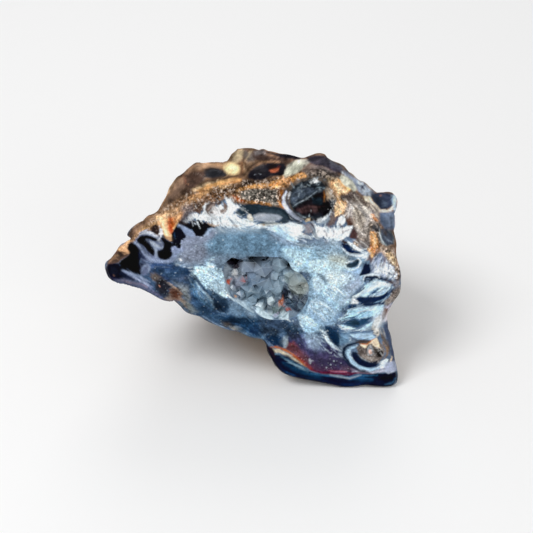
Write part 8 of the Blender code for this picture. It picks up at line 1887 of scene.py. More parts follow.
    ("B04838", 1, 0.7, 0.3, 0.8, (242.5, 282.5, 246, 280, 247, 275.5, 250, 274)),
    ("E0A890", 1.4, 0.8, 0, 0.7, (253.5, 273.5, 255.5, 275)),
    # Painted reflection: bright crystal facets catching the light
    ("E4F3F7", 0, 0.8, 0.2, 1, (267.5, 298, 270, 296.5, 274, 297.5, 274.5, 301.5, 272.5, 304.5, 269, 304,
        267.5, 301.5)),
    ("DDEEF4", 0, 1.2, 0.5, 0.9, (256, 306.5, 260, 303, 264, 308, 264, 313, 272.5, 313.5, 273.5, 319, 270,
        321, 262, 316.5, 256.5, 312)),
    ("DDEEF4", 0, 1, 0.5, 0.9, (278.5, 315.5, 283, 312, 289, 313, 288.5, 319, 283, 321)),
    ("C4D8E2", 0, 1.2, 0.5, 0.8, (226.5, 296.5, 232, 298, 241, 303.5, 248.5, 308, 254, 312, 252, 315.5,
        243, 310, 234, 304.5, 227.5, 300)),
    ("46505E", 0, 2, 0.5, 0.6, (283, 288, 290, 294.5, 301, 295.5, 307.5, 296.5, 306.5, 305.5, 301, 312,
        290, 310, 283, 302)),
    ("A4ACA8", 0, 1.6, 0.4, 0.6, (290, 274.5, 296.5, 271, 307.5, 274.5, 311, 282, 308.5, 292, 301, 295,
        292, 292, 288.5, 285.5)),
    ("8E96A0", 0, 2, 0.5, 0.4, (256.5, 262, 265.5, 261, 275.5, 263.5, 274, 275.5, 264, 279, 256.5,
        275.5)),
    ("9A9490", 0, 1.5, 0.5, 0.4, (233, 270, 237.5, 269, 240, 273.5, 237.5, 276.5, 233, 275.5)),
    ("A8BCCA", 0, 2, 0.6, 0.5, (275, 261, 283, 261, 286, 270.5, 284.5, 284, 280, 296.5, 275, 296.5, 271.5,
        282, 272.5, 269.5)),
    ("5E7488", 1, 0.8, 0.4, 0.6, (266.5, 261.5, 275, 264.5, 284.5, 265)),
    ("C4D2DA", 0.8, 0.7, 0.4, 0.6, (278, 266.5, 275, 278, 272.5, 288.5)),
    ("4A5C70", 0.9, 0.8, 0.4, 0.6, (283, 286, 281, 292.5, 278, 296.5)),
    ("B8C8D0", 0.8, 0.7, 0.4, 0.5, (240, 265, 244.5, 261.5, 248.5, 262.5)),
    # Painted shadow in the first two caves under the upper lip
    ("1A1420", 0, 1, 0.5, 0.8, (229.5, 258, 238.5, 257, 241.5, 261, 237, 262.5, 232, 260.5)),
    ("08080E", 0, 0.8, 0.4, 0.9, (247.5, 258, 254, 256, 269.5, 256, 266.5, 260.5, 260, 261.5, 256, 266.5,
        253, 262.5)),
    ("60788C", 0, 1.2, 0.8, 0.6, (288.5, 299, 296, 301, 293.5, 307, 288.5, 305)),
    ("8CA4B4", 0, 1, 0.8, 0.6, (299, 302, 303, 303, 301.5, 308.5, 298.5, 307)),
    ("DCE8EE", 0, 0.7, 0.5, 0.8, (289.5, 296, 292, 296, 292, 298, 290, 298.5)),
)

# Painted glints on the quartz: bright points, in pixels of the photograph
GLINTS = (
    (331, 353), (330.7, 364.6), (326.5, 367.7), (334, 361), (304, 330.5), (293, 321), (306, 242),
    (276.5, 243), (223, 240), (212, 243.5), (232, 263), (196, 246), (216, 233), (340, 262),
)


def paint(colour, spots, seen, fibre, marks):
    """Lays marks over the colours of the vertices, in order."""
    for code, width, soft, fray, strength, flat in marks:
        line = pairs(flat)
        margin = 3 * soft + 2 * fray + width + 2
        near = ((spots > line.min(axis=0) - margin) & (spots < line.max(axis=0) + margin)).all(axis=1)
        near = np.flatnonzero(near & (seen > 0))
        if not len(near):
            continue
        at = spots[near]
        away = distance(at, line, closed=width == 0)
        if width:
            ends = np.minimum(np.hypot(*(at - line[0]).T), np.hypot(*(at - line[-1]).T))
            away = away - width / 2 * (0.4 + 0.6 * step(ends / (3 * width + 1)))
        away = away + fray * fibre[near]
        share = strength * seen[near] * step(0.5 - away / (2 * soft))
        if tone(code).mean() > 0.3:
            share *= 1 - 0.55 * min(fray / 3, 1) * step((-0.1 - fibre[near]) / 0.5)
        colour[near] += (tone(code) - colour[near]) * share[:, None]


# Feathers: how many hairs, how long and how strong, the light and the dark tone, share of light ones, corners
FEATHERS = (
    (45, 5, 0.45, "EDF3F6", "4A4E58", 0.6, (184, 214, 196, 206, 214, 200, 226, 197, 236, 206, 244, 222, 230,
        226, 214, 224, 200, 216, 188, 218)),
    (30, 6, 0.5, "F4F8FA", "38404C", 0.6, (218, 196, 232, 194, 246, 212, 250, 226, 236, 230, 226, 216)),
    (60, 6, 0.5, "F0F6FA", "5C6470", 0.6, (262, 226, 284, 222, 300, 218, 330, 216, 350, 214, 352, 232, 338,
        242, 310, 244, 290, 238)),
    (40, 6, 0.5, "EEF4FA", "3E4654", 0.5, (366, 258, 380, 252, 394, 262, 398, 276, 386, 280, 370, 272)),
    (26, 10, 0.35, "E6F4FC", "1E3650", 0.5, (352, 296, 366, 282, 380, 274, 394, 280, 392, 292, 378, 300,
        362, 306)),
    (26, 10, 0.35, "DCEFFA", "2C4C6C", 0.5, (340, 320, 356, 304, 384, 300, 390, 304, 378, 316, 350, 326)),
    (16, 9, 0.3, "DCEFFA", "34587A", 0.5, (340, 330, 356, 322, 378, 318, 380, 330, 366, 340, 346, 338)),
    (70, 4, 0.45, "E4F2F8", "6C8496", 0.55, (186, 272, 198, 262, 212, 264, 224, 270, 228, 290, 236, 304,
        222, 300, 204, 288)),
    (50, 8, 0.3, "CFE4F0", "5E7C92", 0.5, (300, 262, 330, 256, 354, 262, 356, 290, 344, 310, 330, 334, 306,
        330, 304, 300)),
    (60, 6, 0.6, "C8DAE6", "16222E", 0.5, (310, 334, 326, 332, 340, 346, 346, 360, 332, 356, 318, 346)),
    (60, 8, 0.4, "7088A0", "141E2E", 0.5, (196, 288, 214, 296, 236, 312, 262, 330, 240, 336, 214, 318)),
)


def hairs(colour, spots, seen):
    """Fine light and dark hairs that lie along the fibres of each feather."""
    rng = np.random.default_rng(5)
    for count, length, strength, light, dark, share, flat in FEATHERS:
        patch = pairs(flat)
        low, high = patch.min(axis=0), patch.max(axis=0)
        roots = low + (high - low) * rng.random((4 * count, 2))
        roots = roots[distance(roots, patch) < 0][:count]
        marks = []
        for root, going in zip(roots, heading(roots)):
            run = going * length * rng.uniform(0.5, 1.2)
            bow = np.array([-run[1], run[0]]) * rng.uniform(-0.2, 0.2)
            code = light if rng.random() < share else dark
            line = np.concatenate([root - run / 2, root + bow, root + run / 2])
            width = rng.uniform(0.9, 1.8)
            marks.append((code, width, 0.45, 0.3, strength * rng.uniform(0.6, 1.1), tuple(line)))
        paint(colour, spots, seen, np.zeros(len(spots)), marks)


def blades(spots, size, stretch, seed):
    """Crystals cut across, drawn out along the fibres: their shades, and how near an edge each spot lies."""
    mix = np.array([[127.1, 269.5, 419.2], [311.7, 183.3, 371.9]])
    cell, run = np.floor(spots / size), heading(spots)
    near, second, shade = np.full(len(spots), 1e9), np.full(len(spots), 1e9), np.zeros(len(spots))
    for across in range(-2, 3):
        for up in range(-2, 3):
            at = cell + (across, up)
            mixed = np.sin(at @ mix + seed) * 43758.5453
            drawn = mixed - np.floor(mixed)
            home = (at + drawn[:, :2]) * size
            away = spots - home
            along = (away * run).sum(axis=1)
            gap = np.sqrt((away**2).sum(axis=1) - along**2 * (1 - 1 / stretch**2))
            closer = gap < near
            second = np.where(closer, near, np.minimum(second, gap))
            shade = np.where(closer, drawn[:, 2] * 2 - 1, shade)
            near = np.where(closer, gap, near)
    return shade, second - near


def zone(spots, soft, flat):
    """1 inside a patch of the picture and 0 outside it, with a soft edge."""
    return step(0.5 - distance(spots, pairs(flat)) / (2 * soft))


# Light that the polish adds to every tone; and the curve that then fits the tones to the photograph: its gain,
# its power, and the darkest and lightest values
HAZE = 0.006
GAIN, POWER, DARKEST, LIGHTEST = 1.12, 1.13, 0.0015, 0.87

# Where the crust is granular, and how strongly: strength, softness, corners
GRAINY = (
    (0.55, 3, (108, 262, 130, 236, 158, 212, 186, 192, 214, 184, 240, 182, 250, 200, 226, 200, 200, 210,
        178, 222, 160, 222, 130, 244)),
    (0.8, 3, (205, 196, 216, 186, 240, 183, 244, 202, 226, 199, 206, 204)),
    (1, 2, (238, 188, 280, 187, 280, 204, 262, 205, 238, 201)),
    (0.6, 2, (240, 180, 270, 178, 306, 171, 308, 180, 280, 190, 240, 192)),
    (0.65, 2, (302, 170, 322, 168, 338, 176, 341, 186, 350, 192, 362, 199, 372, 206, 381, 220, 382, 250,
        372, 258, 366, 248, 352, 246, 350, 230, 346, 218, 334, 218, 330, 186, 316, 178, 304, 180)),
    (1, 1.5, (326, 188, 334, 190, 337, 208, 332, 214, 328, 206)),
    (0.8, 2, (380, 244, 392, 244, 400, 268, 403, 290, 392, 304, 384, 304, 390, 282, 386, 262)),
    (0.7, 1.5, (356, 345, 372, 340, 384, 348, 384, 358, 376, 364, 366, 360)),
    (0.5, 1.5, (371, 320, 382, 315, 381, 332, 374, 338, 371, 330)),
    (0.6, 2, (108, 262, 116, 252, 130, 252, 124, 262)),
)
# Where the quartz sparkles, in the same form
SUGARY = (
    (0.45, 6, (176, 240, 240, 232, 300, 240, 300, 262, 230, 266, 190, 280, 204, 264, 172, 262)),
    (0.9, 6, (290, 240, 352, 242, 356, 262, 356, 300, 336, 344, 300, 340, 270, 316, 290, 290)),
    (1, 2, (188, 272, 204, 262, 222, 268, 228, 292, 238, 304, 218, 298, 196, 280)),
    (0.5, 4, (150, 262, 196, 266, 230, 300, 290, 330, 290, 350, 240, 336, 190, 314, 150, 296)),
    (0.5, 4, (284, 342, 330, 346, 358, 372, 320, 372, 290, 356)),
)


# The clear part of the face and all below it, which no crust covers
CLEAR = (272, 250, 100, 250, 100, 420, 420, 420, 420, 300, 360, 300)
# The nodule: its worn surface, the scratched part of it, and its granular rim
WORN = (290, 178, 312, 172, 330, 182, 334, 200, 326, 216, 308, 221, 294, 214, 287, 196)
SCRATCHED = (290, 180, 312, 174, 326, 180, 318, 194, 296, 206, 288, 196)
NODULE_RIM = (328, 187, 333, 190, 336, 204, 331, 216, 328, 210, 331, 200)
# The granular knob at the lower right, and the band below the pocket
KNOB = (356, 345, 372, 341, 384, 348, 384, 358, 376, 364, 366, 360)
BAND = (
    150, 264, 185, 262, 196, 276, 214, 300, 240, 312, 275, 322, 300, 330, 318, 345, 340, 365,
    300, 356, 262, 338, 225, 326, 190, 306, 160, 284,
)
# Where the quartz grew in plumes
PLUMES = (
    170, 222, 200, 204, 230, 196, 250, 222, 284, 226, 345, 218, 356, 242, 372, 248,
    398, 262, 398, 300, 380, 342, 350, 342, 324, 350, 336, 330, 350, 300, 346, 262,
    330, 244, 284, 240, 216, 226, 186, 232,
)


def spread(spots, zones):
    """Strength of a texture at each spot."""
    total = np.zeros(len(spots))
    for strength, soft, flat in zones:
        total = np.maximum(total, strength * zone(spots, soft, flat))
    return total


def rind_colour(points):
    """Brown, tan, cream and slate of the rind all round, in space."""
    coarse, medium, fine = layered(points, 7.0, 51), layered(points, 2.6, 61), layered(points, 0.8, 71)
    colour = tone("6E5646") + (tone("AD9478") - tone("6E5646")) * step((coarse - 0.4) / 0.3)[:, None]
    blend(colour, "3A322F", 0.85 * step((medium - 0.5) / 0.2))
    blend(colour, "7C7E86", 0.6 * step((layered(points, 5.0, 81) - 0.52) / 0.2))
    blend(colour, "CDBFA6", 0.55 * step((layered(points, 3.4, 87) - 0.58) / 0.14))
    return colour * (0.6 + 0.8 * fine)[:, None]


def face_colour(spots, seen, fibre, bend):
    """The broad tones of the cut face, clouded and streaked, and how strongly its quartz sparkles."""
    colour = np.tile(tone("5E7086"), (len(spots), 1))
    paint(colour, spots + 3.2 * bend + 1.2 * wander(spots, 2.6, 33, lattice), seen, fibre, BASE)
    sugar = spread(spots, SUGARY)
    clouds = layered(spots, 11, 91, 4) - 0.5
    lumps = layered(spots + 3 * bend, 4.2, 93, 3) - 0.5
    grit = lattice(spots, 1.25, 95) - 0.5
    shade = 1 + 0.9 * clouds + (0.45 + 0.35 * sugar) * lumps + (0.12 + 0.25 * sugar) * grit
    shade *= 1 + 0.07 * fibre
    for size, stretch in ((3.4, 1.2), (6.5, 2.2)):
        own, gap = blades(spots + 2.5 * bend, size, stretch, size)
        shade *= 1 + sugar * (0.16 * own + 0.22 * step(1 - gap / 0.9) * (lattice(spots, 7, 97) - 0.42))
    return colour * shade[:, None], sugar


def in_view(points, normals, spots):
    """How fully the photograph shows each vertex of the stone, from 0 to 1."""
    tilt = CAMERA_HEIGHT - LEAN
    ahead = np.array([0, -math.cos(tilt), math.sin(tilt)])
    outward = points - STONE_MIDDLE
    facing = 0.6 * normals @ ahead + 0.4 * (outward @ ahead) / np.linalg.norm(outward, axis=1)
    seen = step((facing + 0.1) / 0.3) * step((SEEN_TO - points[:, 1]) / 3.0)
    cut = smooth_outline(FRONT, 200)
    cut = picture(np.stack([cut[:, 0], np.zeros(200), cut[:, 1]], axis=1))
    rind = np.flatnonzero((seen > 0) & (points[:, 1] > RIND_FROM))
    seen[rind] *= step(1 + distance(spots[rind], cut) / 4)
    return np.where(points[:, 1] < RIND_FROM, 1.0, seen)


def markings(points, normals):
    """Colour of every vertex of the stone; and its grain, its sparkle and its polish."""
    spots = picture(points)
    seen = in_view(points, normals, spots)
    bend = wander(spots, 9, 31, layered)
    fibre = np.zeros(len(points))
    shown = np.flatnonzero(seen > 0)
    fibre[shown] = fibre_field(spots[shown])

    share, _, width = crust_share(points[:, [0, 2]])
    front = (points[:, 1] < FACE_TO).astype(float)
    colour = rind_colour(points)
    faces = np.flatnonzero(front)
    colour[faces], sugar = face_colour(spots[faces], seen[faces], fibre[faces], bend[faces])
    sparkle = np.zeros(len(points))
    sparkle[faces] = sugar
    before = colour.copy()
    paint(colour, spots + 1.6 * bend, seen, fibre, RIND)
    crust = np.clip(np.abs(colour - before).sum(axis=1) / 0.05, 0, 1) * (1 - zone(spots, 2, CLEAR))

    # Clouds of the rind, partly mottled tone and partly painted light and shade of its lumps; grains of the
    # crust
    grain = np.maximum(spread(spots, GRAINY), 0.06) * crust * seen
    clouds = layered(spots + 6 * bend, 11, 121, 4) - 0.5
    fine = layered(spots, 2.6, 125, 3) - 0.5
    colour *= np.clip(1 + crust * seen * (1.5 * clouds + 0.7 * fine), 0.2, 1.8)[:, None]
    # Painted shade: darker along crevices of the rind
    crevice_shade = 1 - step(np.abs(layered(spots + 8 * bend, 15, 161, 4) - 0.5) / 0.05)
    colour *= (1 - 0.5 * crevice_shade * crust * seen * (1 - grain))[:, None]
    grains = 0.55 * lattice(spots, 1.15, 101) + 0.3 * lattice(spots, 2.3, 102) + 0.15 * lattice(spots, 5, 103)
    blend(colour, "2C2420", 0.85 * step((0.45 - grains) / 0.17) * grain)
    blend(colour, "F0E0D2", 0.7 * step((grains - 0.545) / 0.17) * grain)

    # Marks and feathers, then the worn surface of the nodule
    paint(colour, spots + 1.0 * bend, seen, fibre, MARK)
    hairs(colour, spots, seen * front)
    paint(colour, spots + 1.2 * bend, seen, fibre, EYE)
    worn = zone(spots, 3, WORN) * front
    worn = worn * (layered(spots + 4 * bend, 5, 151, 4) - 0.5) + 0.25 * worn * fibre
    colour *= np.clip(1 + 1.9 * worn, 0.3, 2.2)[:, None]
    scratch = step((layered(spots, 2.6, 153, 2) - 0.64) / 0.1) * zone(spots, 2, SCRATCHED) * front
    blend(colour, "8C98A0", 0.5 * scratch)
    paint(colour, spots + 0.6 * bend, seen, fibre, LOBE)
    paint(colour, spots + 0.6 * bend, seen, fibre, TOUCH)

    # Clouds over the finished marks: on the crust, on the rind all round, and along the band below the pocket
    # On the crust these clouds are partly painted light and shade of its lumps
    painted_relief = 1.5 * (layered(spots + 6 * bend, 6.5, 171, 4) - 0.5) + 0.5 * (layered(spots, 1.8, 173, 2) - 0.5)
    colour *= np.clip(1 + crust * seen * painted_relief * (1 - 0.6 * grain), 0.35, 1.6)[:, None]
    colour *= 1 + (1.2 * (layered(points, 1.6, 181) - 0.5) * step((points[:, 1] - 1.5) / 3))[:, None]
    wisps = layered(spots * (1, 1.5) + 9 * bend, 8, 191, 4) + 0.12 * fibre - 0.5
    colour *= np.clip(1 + 2.0 * zone(spots, 5, BAND) * front * wisps, 0.4, 1.7)[:, None]
    rough = np.maximum(zone(spots, 1.5, NODULE_RIM), 0.5 * zone(spots, 1.5, KNOB)) * front
    blend(colour, "14151A", 0.7 * step((0.46 - grains) / 0.17) * rough)
    blend(colour, "EDEFF0", 0.6 * step((grains - 0.56) / 0.17) * rough)

    # Fibres of the quartz, and its painted glints
    colour *= (1 + 0.18 * fibre * zone(spots, 4, PLUMES) * seen * front)[:, None]
    glint = step((lattice(spots, 1.0, 111) - 0.88) / 0.1) * sparkle
    blend(colour, "DCEAF0", 0.6 * glint * front)
    mottle = (0.6 * (layered(spots, 2.4, 141, 3) - 0.5) + 0.5 * (lattice(spots, 0.95, 143) - 0.5)) * front
    colour *= (1 + mottle * (0.75 + 0.5 * sparkle))[:, None]
    colour = np.minimum(GAIN * np.maximum(colour - HAZE, DARKEST) ** POWER, LIGHTEST)
    for x, y in GLINTS:
        near = step((1.1 - np.hypot(spots[:, 0] - x, spots[:, 1] - y)) / 0.8)
        blend(colour, "C6D6E0", 0.7 * near * seen)
    eye = step((1.05 - nodule_share(points[:, [0, 2]])) / 0.1) * front
    polish = front * np.maximum(1 - step(share / 0.1) * step((width - 0.3) / 1.0), eye)
    grain = np.maximum(grain * (1 - eye), np.where(front > 0, 0, 0.25 * (1 - seen) + 0.2))
    return np.clip(colour, 0, 1), np.stack([grain, 0.25 * front + 0.75 * sparkle, polish], axis=1)


# Materials

def new_material(name):
    material = bpy.data.materials.new(name)
    material.use_nodes = True
    return material, material.node_tree, material.node_tree.nodes["Principled BSDF"]


def add(tree, kind, **values):
    node = tree.nodes.new(kind)
    for name, value in values.items():
        if name in node.bl_rna.properties:
            setattr(node, name, value)
        else:
            node.inputs[name.replace("_", " ")].default_value = value
    return node


def stone_material():
    """Polished agate and rough rind. The mesh's colours are its markings. The grain, sparkle and polish that
    it carries with them set how strongly the fine textures show."""
    material, tree, shader = new_material("agate")
    link = tree.links.new
    colour = add(tree, "ShaderNodeAttribute", attribute_name="markings")
    detail = add(tree, "ShaderNodeAttribute", attribute_name="detail")
    parts = add(tree, "ShaderNodeSeparateColor")
    link(detail.outputs["Color"], parts.inputs["Color"])
    place = add(tree, "ShaderNodeTexCoord")
    cells = add(tree, "ShaderNodeTexVoronoi", Scale=4300.0)
    fine = add(tree, "ShaderNodeTexNoise", Scale=3000.0, Detail=3.0, Roughness=0.7)
    cloudy = add(tree, "ShaderNodeTexNoise", Scale=520.0, Detail=3.0)
    for texture in (cells, fine, cloudy):
        link(place.outputs["Object"], texture.inputs["Vector"])
    cell = add(tree, "ShaderNodeSeparateColor")
    link(cells.outputs["Color"], cell.inputs["Color"])

    def swing(value, amount, low, high):
        """A factor about 1: the texture's value, spread between two factors by an amount."""
        ranged = add(tree, "ShaderNodeMapRange", To_Min=low - 1, To_Max=high - 1)
        link(value, ranged.inputs["Value"])
        node = add(tree, "ShaderNodeMath", operation="MULTIPLY_ADD")
        link(ranged.outputs["Result"], node.inputs[0])
        link(amount, node.inputs[1])
        node.inputs[2].default_value = 1
        return node.outputs["Value"]

    factors = [
        swing(cell.outputs["Red"], parts.outputs["Red"], 0.45, 1.6),
        swing(cell.outputs["Green"], parts.outputs["Green"], 0.72, 1.3),
        swing(fine.outputs["Fac"], parts.outputs["Red"], 0.3, 1.7),
    ]
    shade = colour.outputs["Color"]
    for factor in factors:
        scaled = add(tree, "ShaderNodeVectorMath", operation="SCALE")
        link(shade, scaled.inputs[0])
        link(factor, scaled.inputs["Scale"])
        shade = scaled.outputs["Vector"]
    link(shade, shader.inputs["Base Color"])

    rough = add(tree, "ShaderNodeMapRange", To_Min=0.8, To_Max=0.2)
    link(parts.outputs["Blue"], rough.inputs["Value"])
    waver = add(tree, "ShaderNodeMath", operation="MULTIPLY_ADD")
    waver.inputs[1].default_value = 0.12
    link(cloudy.outputs["Fac"], waver.inputs[0])
    link(rough.outputs["Result"], waver.inputs[2])
    link(waver.outputs["Value"], shader.inputs["Roughness"])

    depth = add(tree, "ShaderNodeMapRange", To_Min=0.6, To_Max=0.03)
    link(parts.outputs["Blue"], depth.inputs["Value"])
    bump = add(tree, "ShaderNodeBump", Distance=0.00025)
    link(depth.outputs["Result"], bump.inputs["Strength"])
    link(fine.outputs["Fac"], bump.inputs["Height"])
    link(bump.outputs["Normal"], shader.inputs["Normal"])
    shader.inputs["IOR"].default_value = 1.54
    shader.inputs["Specular IOR Level"].default_value = 0.045
    return material


def quartz_material():
    """Milky quartz: the crystals' own shades, clouded inside, with clean shining faces."""
    material, tree, shader = new_material("quartz")
    link = tree.links.new
    colour = add(tree, "ShaderNodeAttribute", attribute_name="markings")
    place = add(tree, "ShaderNodeTexCoord")
    clouds = add(tree, "ShaderNodeTexNoise", Scale=1100.0, Detail=5.0, Roughness=0.65)
    link(place.outputs["Object"], clouds.inputs["Vector"])
    spread_out = add(tree, "ShaderNodeMapRange", To_Min=0.5, To_Max=1.5)
    link(clouds.outputs["Fac"], spread_out.inputs["Value"])
    shade = add(tree, "ShaderNodeVectorMath", operation="SCALE")
    link(colour.outputs["Color"], shade.inputs[0])
    link(spread_out.outputs["Result"], shade.inputs["Scale"])
    link(shade.outputs["Vector"], shader.inputs["Base Color"])
    rough = add(tree, "ShaderNodeMapRange", To_Min=0.08, To_Max=0.3)
    link(clouds.outputs["Fac"], rough.inputs["Value"])
    link(rough.outputs["Result"], shader.inputs["Roughness"])
    bump = add(tree, "ShaderNodeBump", Strength=0.1, Distance=0.0002)
    link(clouds.outputs["Fac"], bump.inputs["Height"])
    link(bump.outputs["Normal"], shader.inputs["Normal"])
    shader.inputs["IOR"].default_value = 1.54
    shader.inputs["Specular IOR Level"].default_value = 0.3
    shader.inputs["Transmission Weight"].default_value = 0.2
    return material


def put_down(name, mesh, node, material):
    """The object in the frame's place, riding on the stone and standing for its solid."""
    obj = bpy.data.objects.new(name, mesh)
    bpy.context.scene.collection.objects.link(obj)
    mesh.materials.append(material)
    moved = Matrix.Translation(Vector(FACE_ORIGIN) * MM)
    mesh.transform(moved @ Matrix.Rotation(-LEAN, 4, "X") @ Matrix.Scale(MM, 4))
    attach(obj, "root")
    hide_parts(node)
    return obj


def colour_in(mesh, name, colour, domain="POINT"):
    layer = mesh.attributes.new(name, "FLOAT_COLOR", domain)
    layer.data.foreach_set("color", np.concatenate([colour, np.ones((len(colour), 1))], axis=1).ravel())


def read(items, name, size=1, kind=float):
    """A value, or a row of values, of each item of a mesh."""
    found = np.empty(len(items) * size, kind)
    items.foreach_get(name, found)
    return found.reshape(-1, size) if size > 1 else found


def build_stone():
    vertices, faces, front_count, pole = stone_mesh()
    mesh = bpy.data.meshes.new("agate_look")
    mesh.from_pydata(vertices.tolist(), [], faces)
    made = bmesh.new()
    made.from_mesh(mesh)
    bmesh.ops.recalc_face_normals(made, faces=made.faces)
    made.to_mesh(mesh)
    made.free()
    weather(mesh, front_count, pole)
    mesh.update()
    colour, detail = markings(read(mesh.vertices, "co", 3), read(mesh.vertices, "normal", 3))
    colour_in(mesh, "markings", colour)
    colour_in(mesh, "detail", detail)
    mesh.polygons.foreach_set("use_smooth", np.ones(len(mesh.polygons), bool))
    return put_down("agate_look", mesh, "agate_half", stone_material())


# The pocket

# Large crystals: place in the picture, depth of the tip, radius, length, lean across and up, spin
CRYSTALS = (
    (246.5, 263.0, 0.55, 1.25, 5.0, -0.10, 0.55, 0.1),
    (264.0, 263.5, 0.40, 1.60, 6.0, -0.05, 0.50, 0.7),
    (281.5, 257.0, 0.30, 1.20, 8.0, 0.22, 1.10, 0.3),
    (289.0, 272.0, 0.45, 0.85, 4.0, 0.15, 0.40, 1.6),
    (299.5, 281.0, 0.20, 2.05, 6.0, 0.12, 0.05, 4.0),
    (253.2, 277.5, 0.45, 1.15, 5.0, -0.10, 0.45, 0.4),
    (266.0, 281.5, 0.50, 1.45, 5.0, 0.00, 0.35, 5.5),
    (236.3, 281.5, 0.60, 1.05, 4.0, -0.25, 0.20, 2.1),
    (277.0, 287.5, 0.60, 1.05, 4.0, 0.10, 0.25, 3.3),
    (246.5, 290.0, 0.55, 1.05, 4.0, -0.15, 0.10, 4.8),
    (257.0, 293.5, 0.60, 1.10, 4.0, -0.05, 0.10, 2.9),
    (239.8, 295.5, 0.45, 0.75, 3.0, -0.30, 0.00, 0.8),
    (267.5, 295.0, 0.75, 0.85, 3.0, 0.05, 0.00, 1.3),
    (270.8, 301.0, 0.25, 0.62, 3.0, 0.02, -0.10, 0.0),
    (234.4, 272.5, 0.70, 0.62, 3.0, -0.25, 0.30, 2.1),
    (229.0, 279.5, 0.35, 0.60, 2.5, -0.40, 0.10, 1.1),
    (231.5, 289.0, 0.35, 0.65, 2.5, -0.40, 0.00, 0.5),
    (278.0, 309.5, 0.60, 0.95, 3.0, 0.05, -0.15, 0.5),
    (260.3, 307.5, 0.30, 0.90, 2.6, -0.10, -0.15, 0.9),
    (268.2, 314.7, 0.25, 0.85, 2.2, 0.00, -0.20, 1.6),
    (284.0, 316.0, 0.25, 0.85, 2.4, 0.10, -0.20, 2.6),
    (276.0, 317.5, 0.25, 0.60, 2.0, 0.05, -0.20, 0.6),
    (292.5, 319.0, 0.40, 0.80, 2.4, 0.15, -0.20, 1.1),
    (251.0, 302.5, 0.40, 0.90, 2.6, -0.20, -0.15, 0.3),
    (309.0, 301.5, 0.30, 1.05, 3.0, 0.30, -0.05, 0.2),
    (304.5, 312.5, 0.30, 1.15, 3.0, 0.25, -0.15, 2.5),
    (290.5, 296.6, 1.30, 0.50, 3.0, 0.10, 0.10, 1.2),
    (287.0, 303.0, 1.60, 0.75, 3.0, 0.05, 0.00, 2.2),
    (296.5, 299.5, 1.50, 0.80, 3.0, 0.20, 0.00, 3.1),
    (294.5, 307.5, 1.50, 0.80, 3.0, 0.15, -0.10, 4.2),
    (302.0, 303.5, 1.30, 0.70, 3.0, 0.25, 0.00, 5.0),
    (287.0, 310.5, 1.10, 0.65, 2.4, 0.05, -0.10, 0.6),
    (299.0, 310.5, 1.10, 0.60, 2.4, 0.20, -0.10, 1.9),
    (241.5, 271.5, 1.00, 0.75, 3.0, -0.20, 0.35, 2.7),
    (256.0, 268.5, 1.20, 0.80, 3.5, -0.05, 0.45, 3.6),
    (273.5, 274.0, 0.90, 0.90, 4.0, 0.05, 0.50, 2.2),
    (244.0, 281.0, 0.90, 0.80, 3.0, -0.20, 0.20, 0.9),
    (309.5, 292.0, 0.40, 0.80, 3.0, 0.35, 0.05, 1.7),
)
# Width of the painted highlights along the edges of their faces
EDGE_HIGHLIGHT_WIDTH = 0.09
SMALL_CRYSTALS = 220
BED_STEP = 0.1
BED_CRYSTALS = 520
# What each face of a crystal carries: its crystal's shade, its own painted facet shading, and its painted edge
# highlight
CRYSTAL_SHADES = ("tint", "facet", "edge")
QUARTZ_GAIN = (1.15, 1.19, 1.22)
# Hollows between the crystals: how much deeper, corners in the picture
HOLLOWS = (
    (2.6, (226.5, 260.5, 233, 256.8, 238.5, 257.5, 243, 261.5, 238, 268, 232, 269, 228.5, 265)),
    (2.6, (247.4, 257, 269.5, 255.5, 266, 261, 258, 262, 255.5, 267, 252, 262)),
    (2.6, (285, 260, 290, 264, 291.5, 268.5, 288, 270, 285.5, 265)),
    (0.8, (284, 288, 297, 296, 307, 296, 305, 306, 298, 312, 288, 307, 281, 298)),
)


def face_place(x, y, depth):
    """Point of the face's frame that is seen at a pixel of the photograph, at one depth."""
    tilt = CAMERA_HEIGHT - LEAN
    focal = FOCAL / SENSOR * PICTURE
    rise = (PICTURE / 2 - y) / focal
    up = (rise * (CAMERA_DISTANCE + depth * math.cos(tilt)) - depth * math.sin(tilt)) / (
        math.cos(tilt) + rise * math.sin(tilt))
    away = CAMERA_DISTANCE - up * math.sin(tilt) + depth * math.cos(tilt)
    return Vector(((x - PICTURE / 2) / focal * away, depth, up))


def add_crystal(made, rng, tip, radius, axis, spin, length, rim=0.0):
    """A six-sided crystal with an uneven point, as one closed shell. Strips along its edges carry a painted
    highlight.
    """
    turned = axis.to_track_quat("Z", "Y").to_matrix()
    outline = []
    for k in range(6):
        angle = spin + k * math.pi / 3 + rng.uniform(-0.15, 0.15)
        reach_out = radius * rng.uniform(0.8, 1.12)
        outline.append(turned @ Vector((reach_out * math.cos(angle), reach_out * math.sin(angle), 0)))
    brim = []
    for k, corner in enumerate(outline):
        low = (0.3, 0.8)[k % 2] * rng.uniform(0.8, 1.25)
        brim.append(made.verts.new(tip + corner - axis * radius * low))
    foot = [made.verts.new(tip + corner - axis * length) for corner in outline]
    shift = turned @ Vector((rng.uniform(-0.35, 0.35), rng.uniform(-0.35, 0.35), 0)) * radius
    top = made.verts.new(tip + shift)
    shell = [made.faces.new(foot)]
    for k in range(6):
        j = (k + 1) % 6
        shell.append(made.faces.new((foot[k], foot[j], brim[j], brim[k])))
        shell.append(made.faces.new((brim[k], brim[j], top)))
    tint = rng.uniform(-1, 1)
    for face in shell:
        face[made.faces.layers.float["tint"]] = tint
        face[made.faces.layers.float["facet"]] = rng.uniform(-1, 1)
    if rim:
        bmesh.ops.recalc_face_normals(made, faces=shell)
        for face in bmesh.ops.inset_individual(made, faces=shell[1:], thickness=rim)["faces"]:
            face[made.faces.layers.float["edge"]] = rng.uniform(0.2, 1.0)


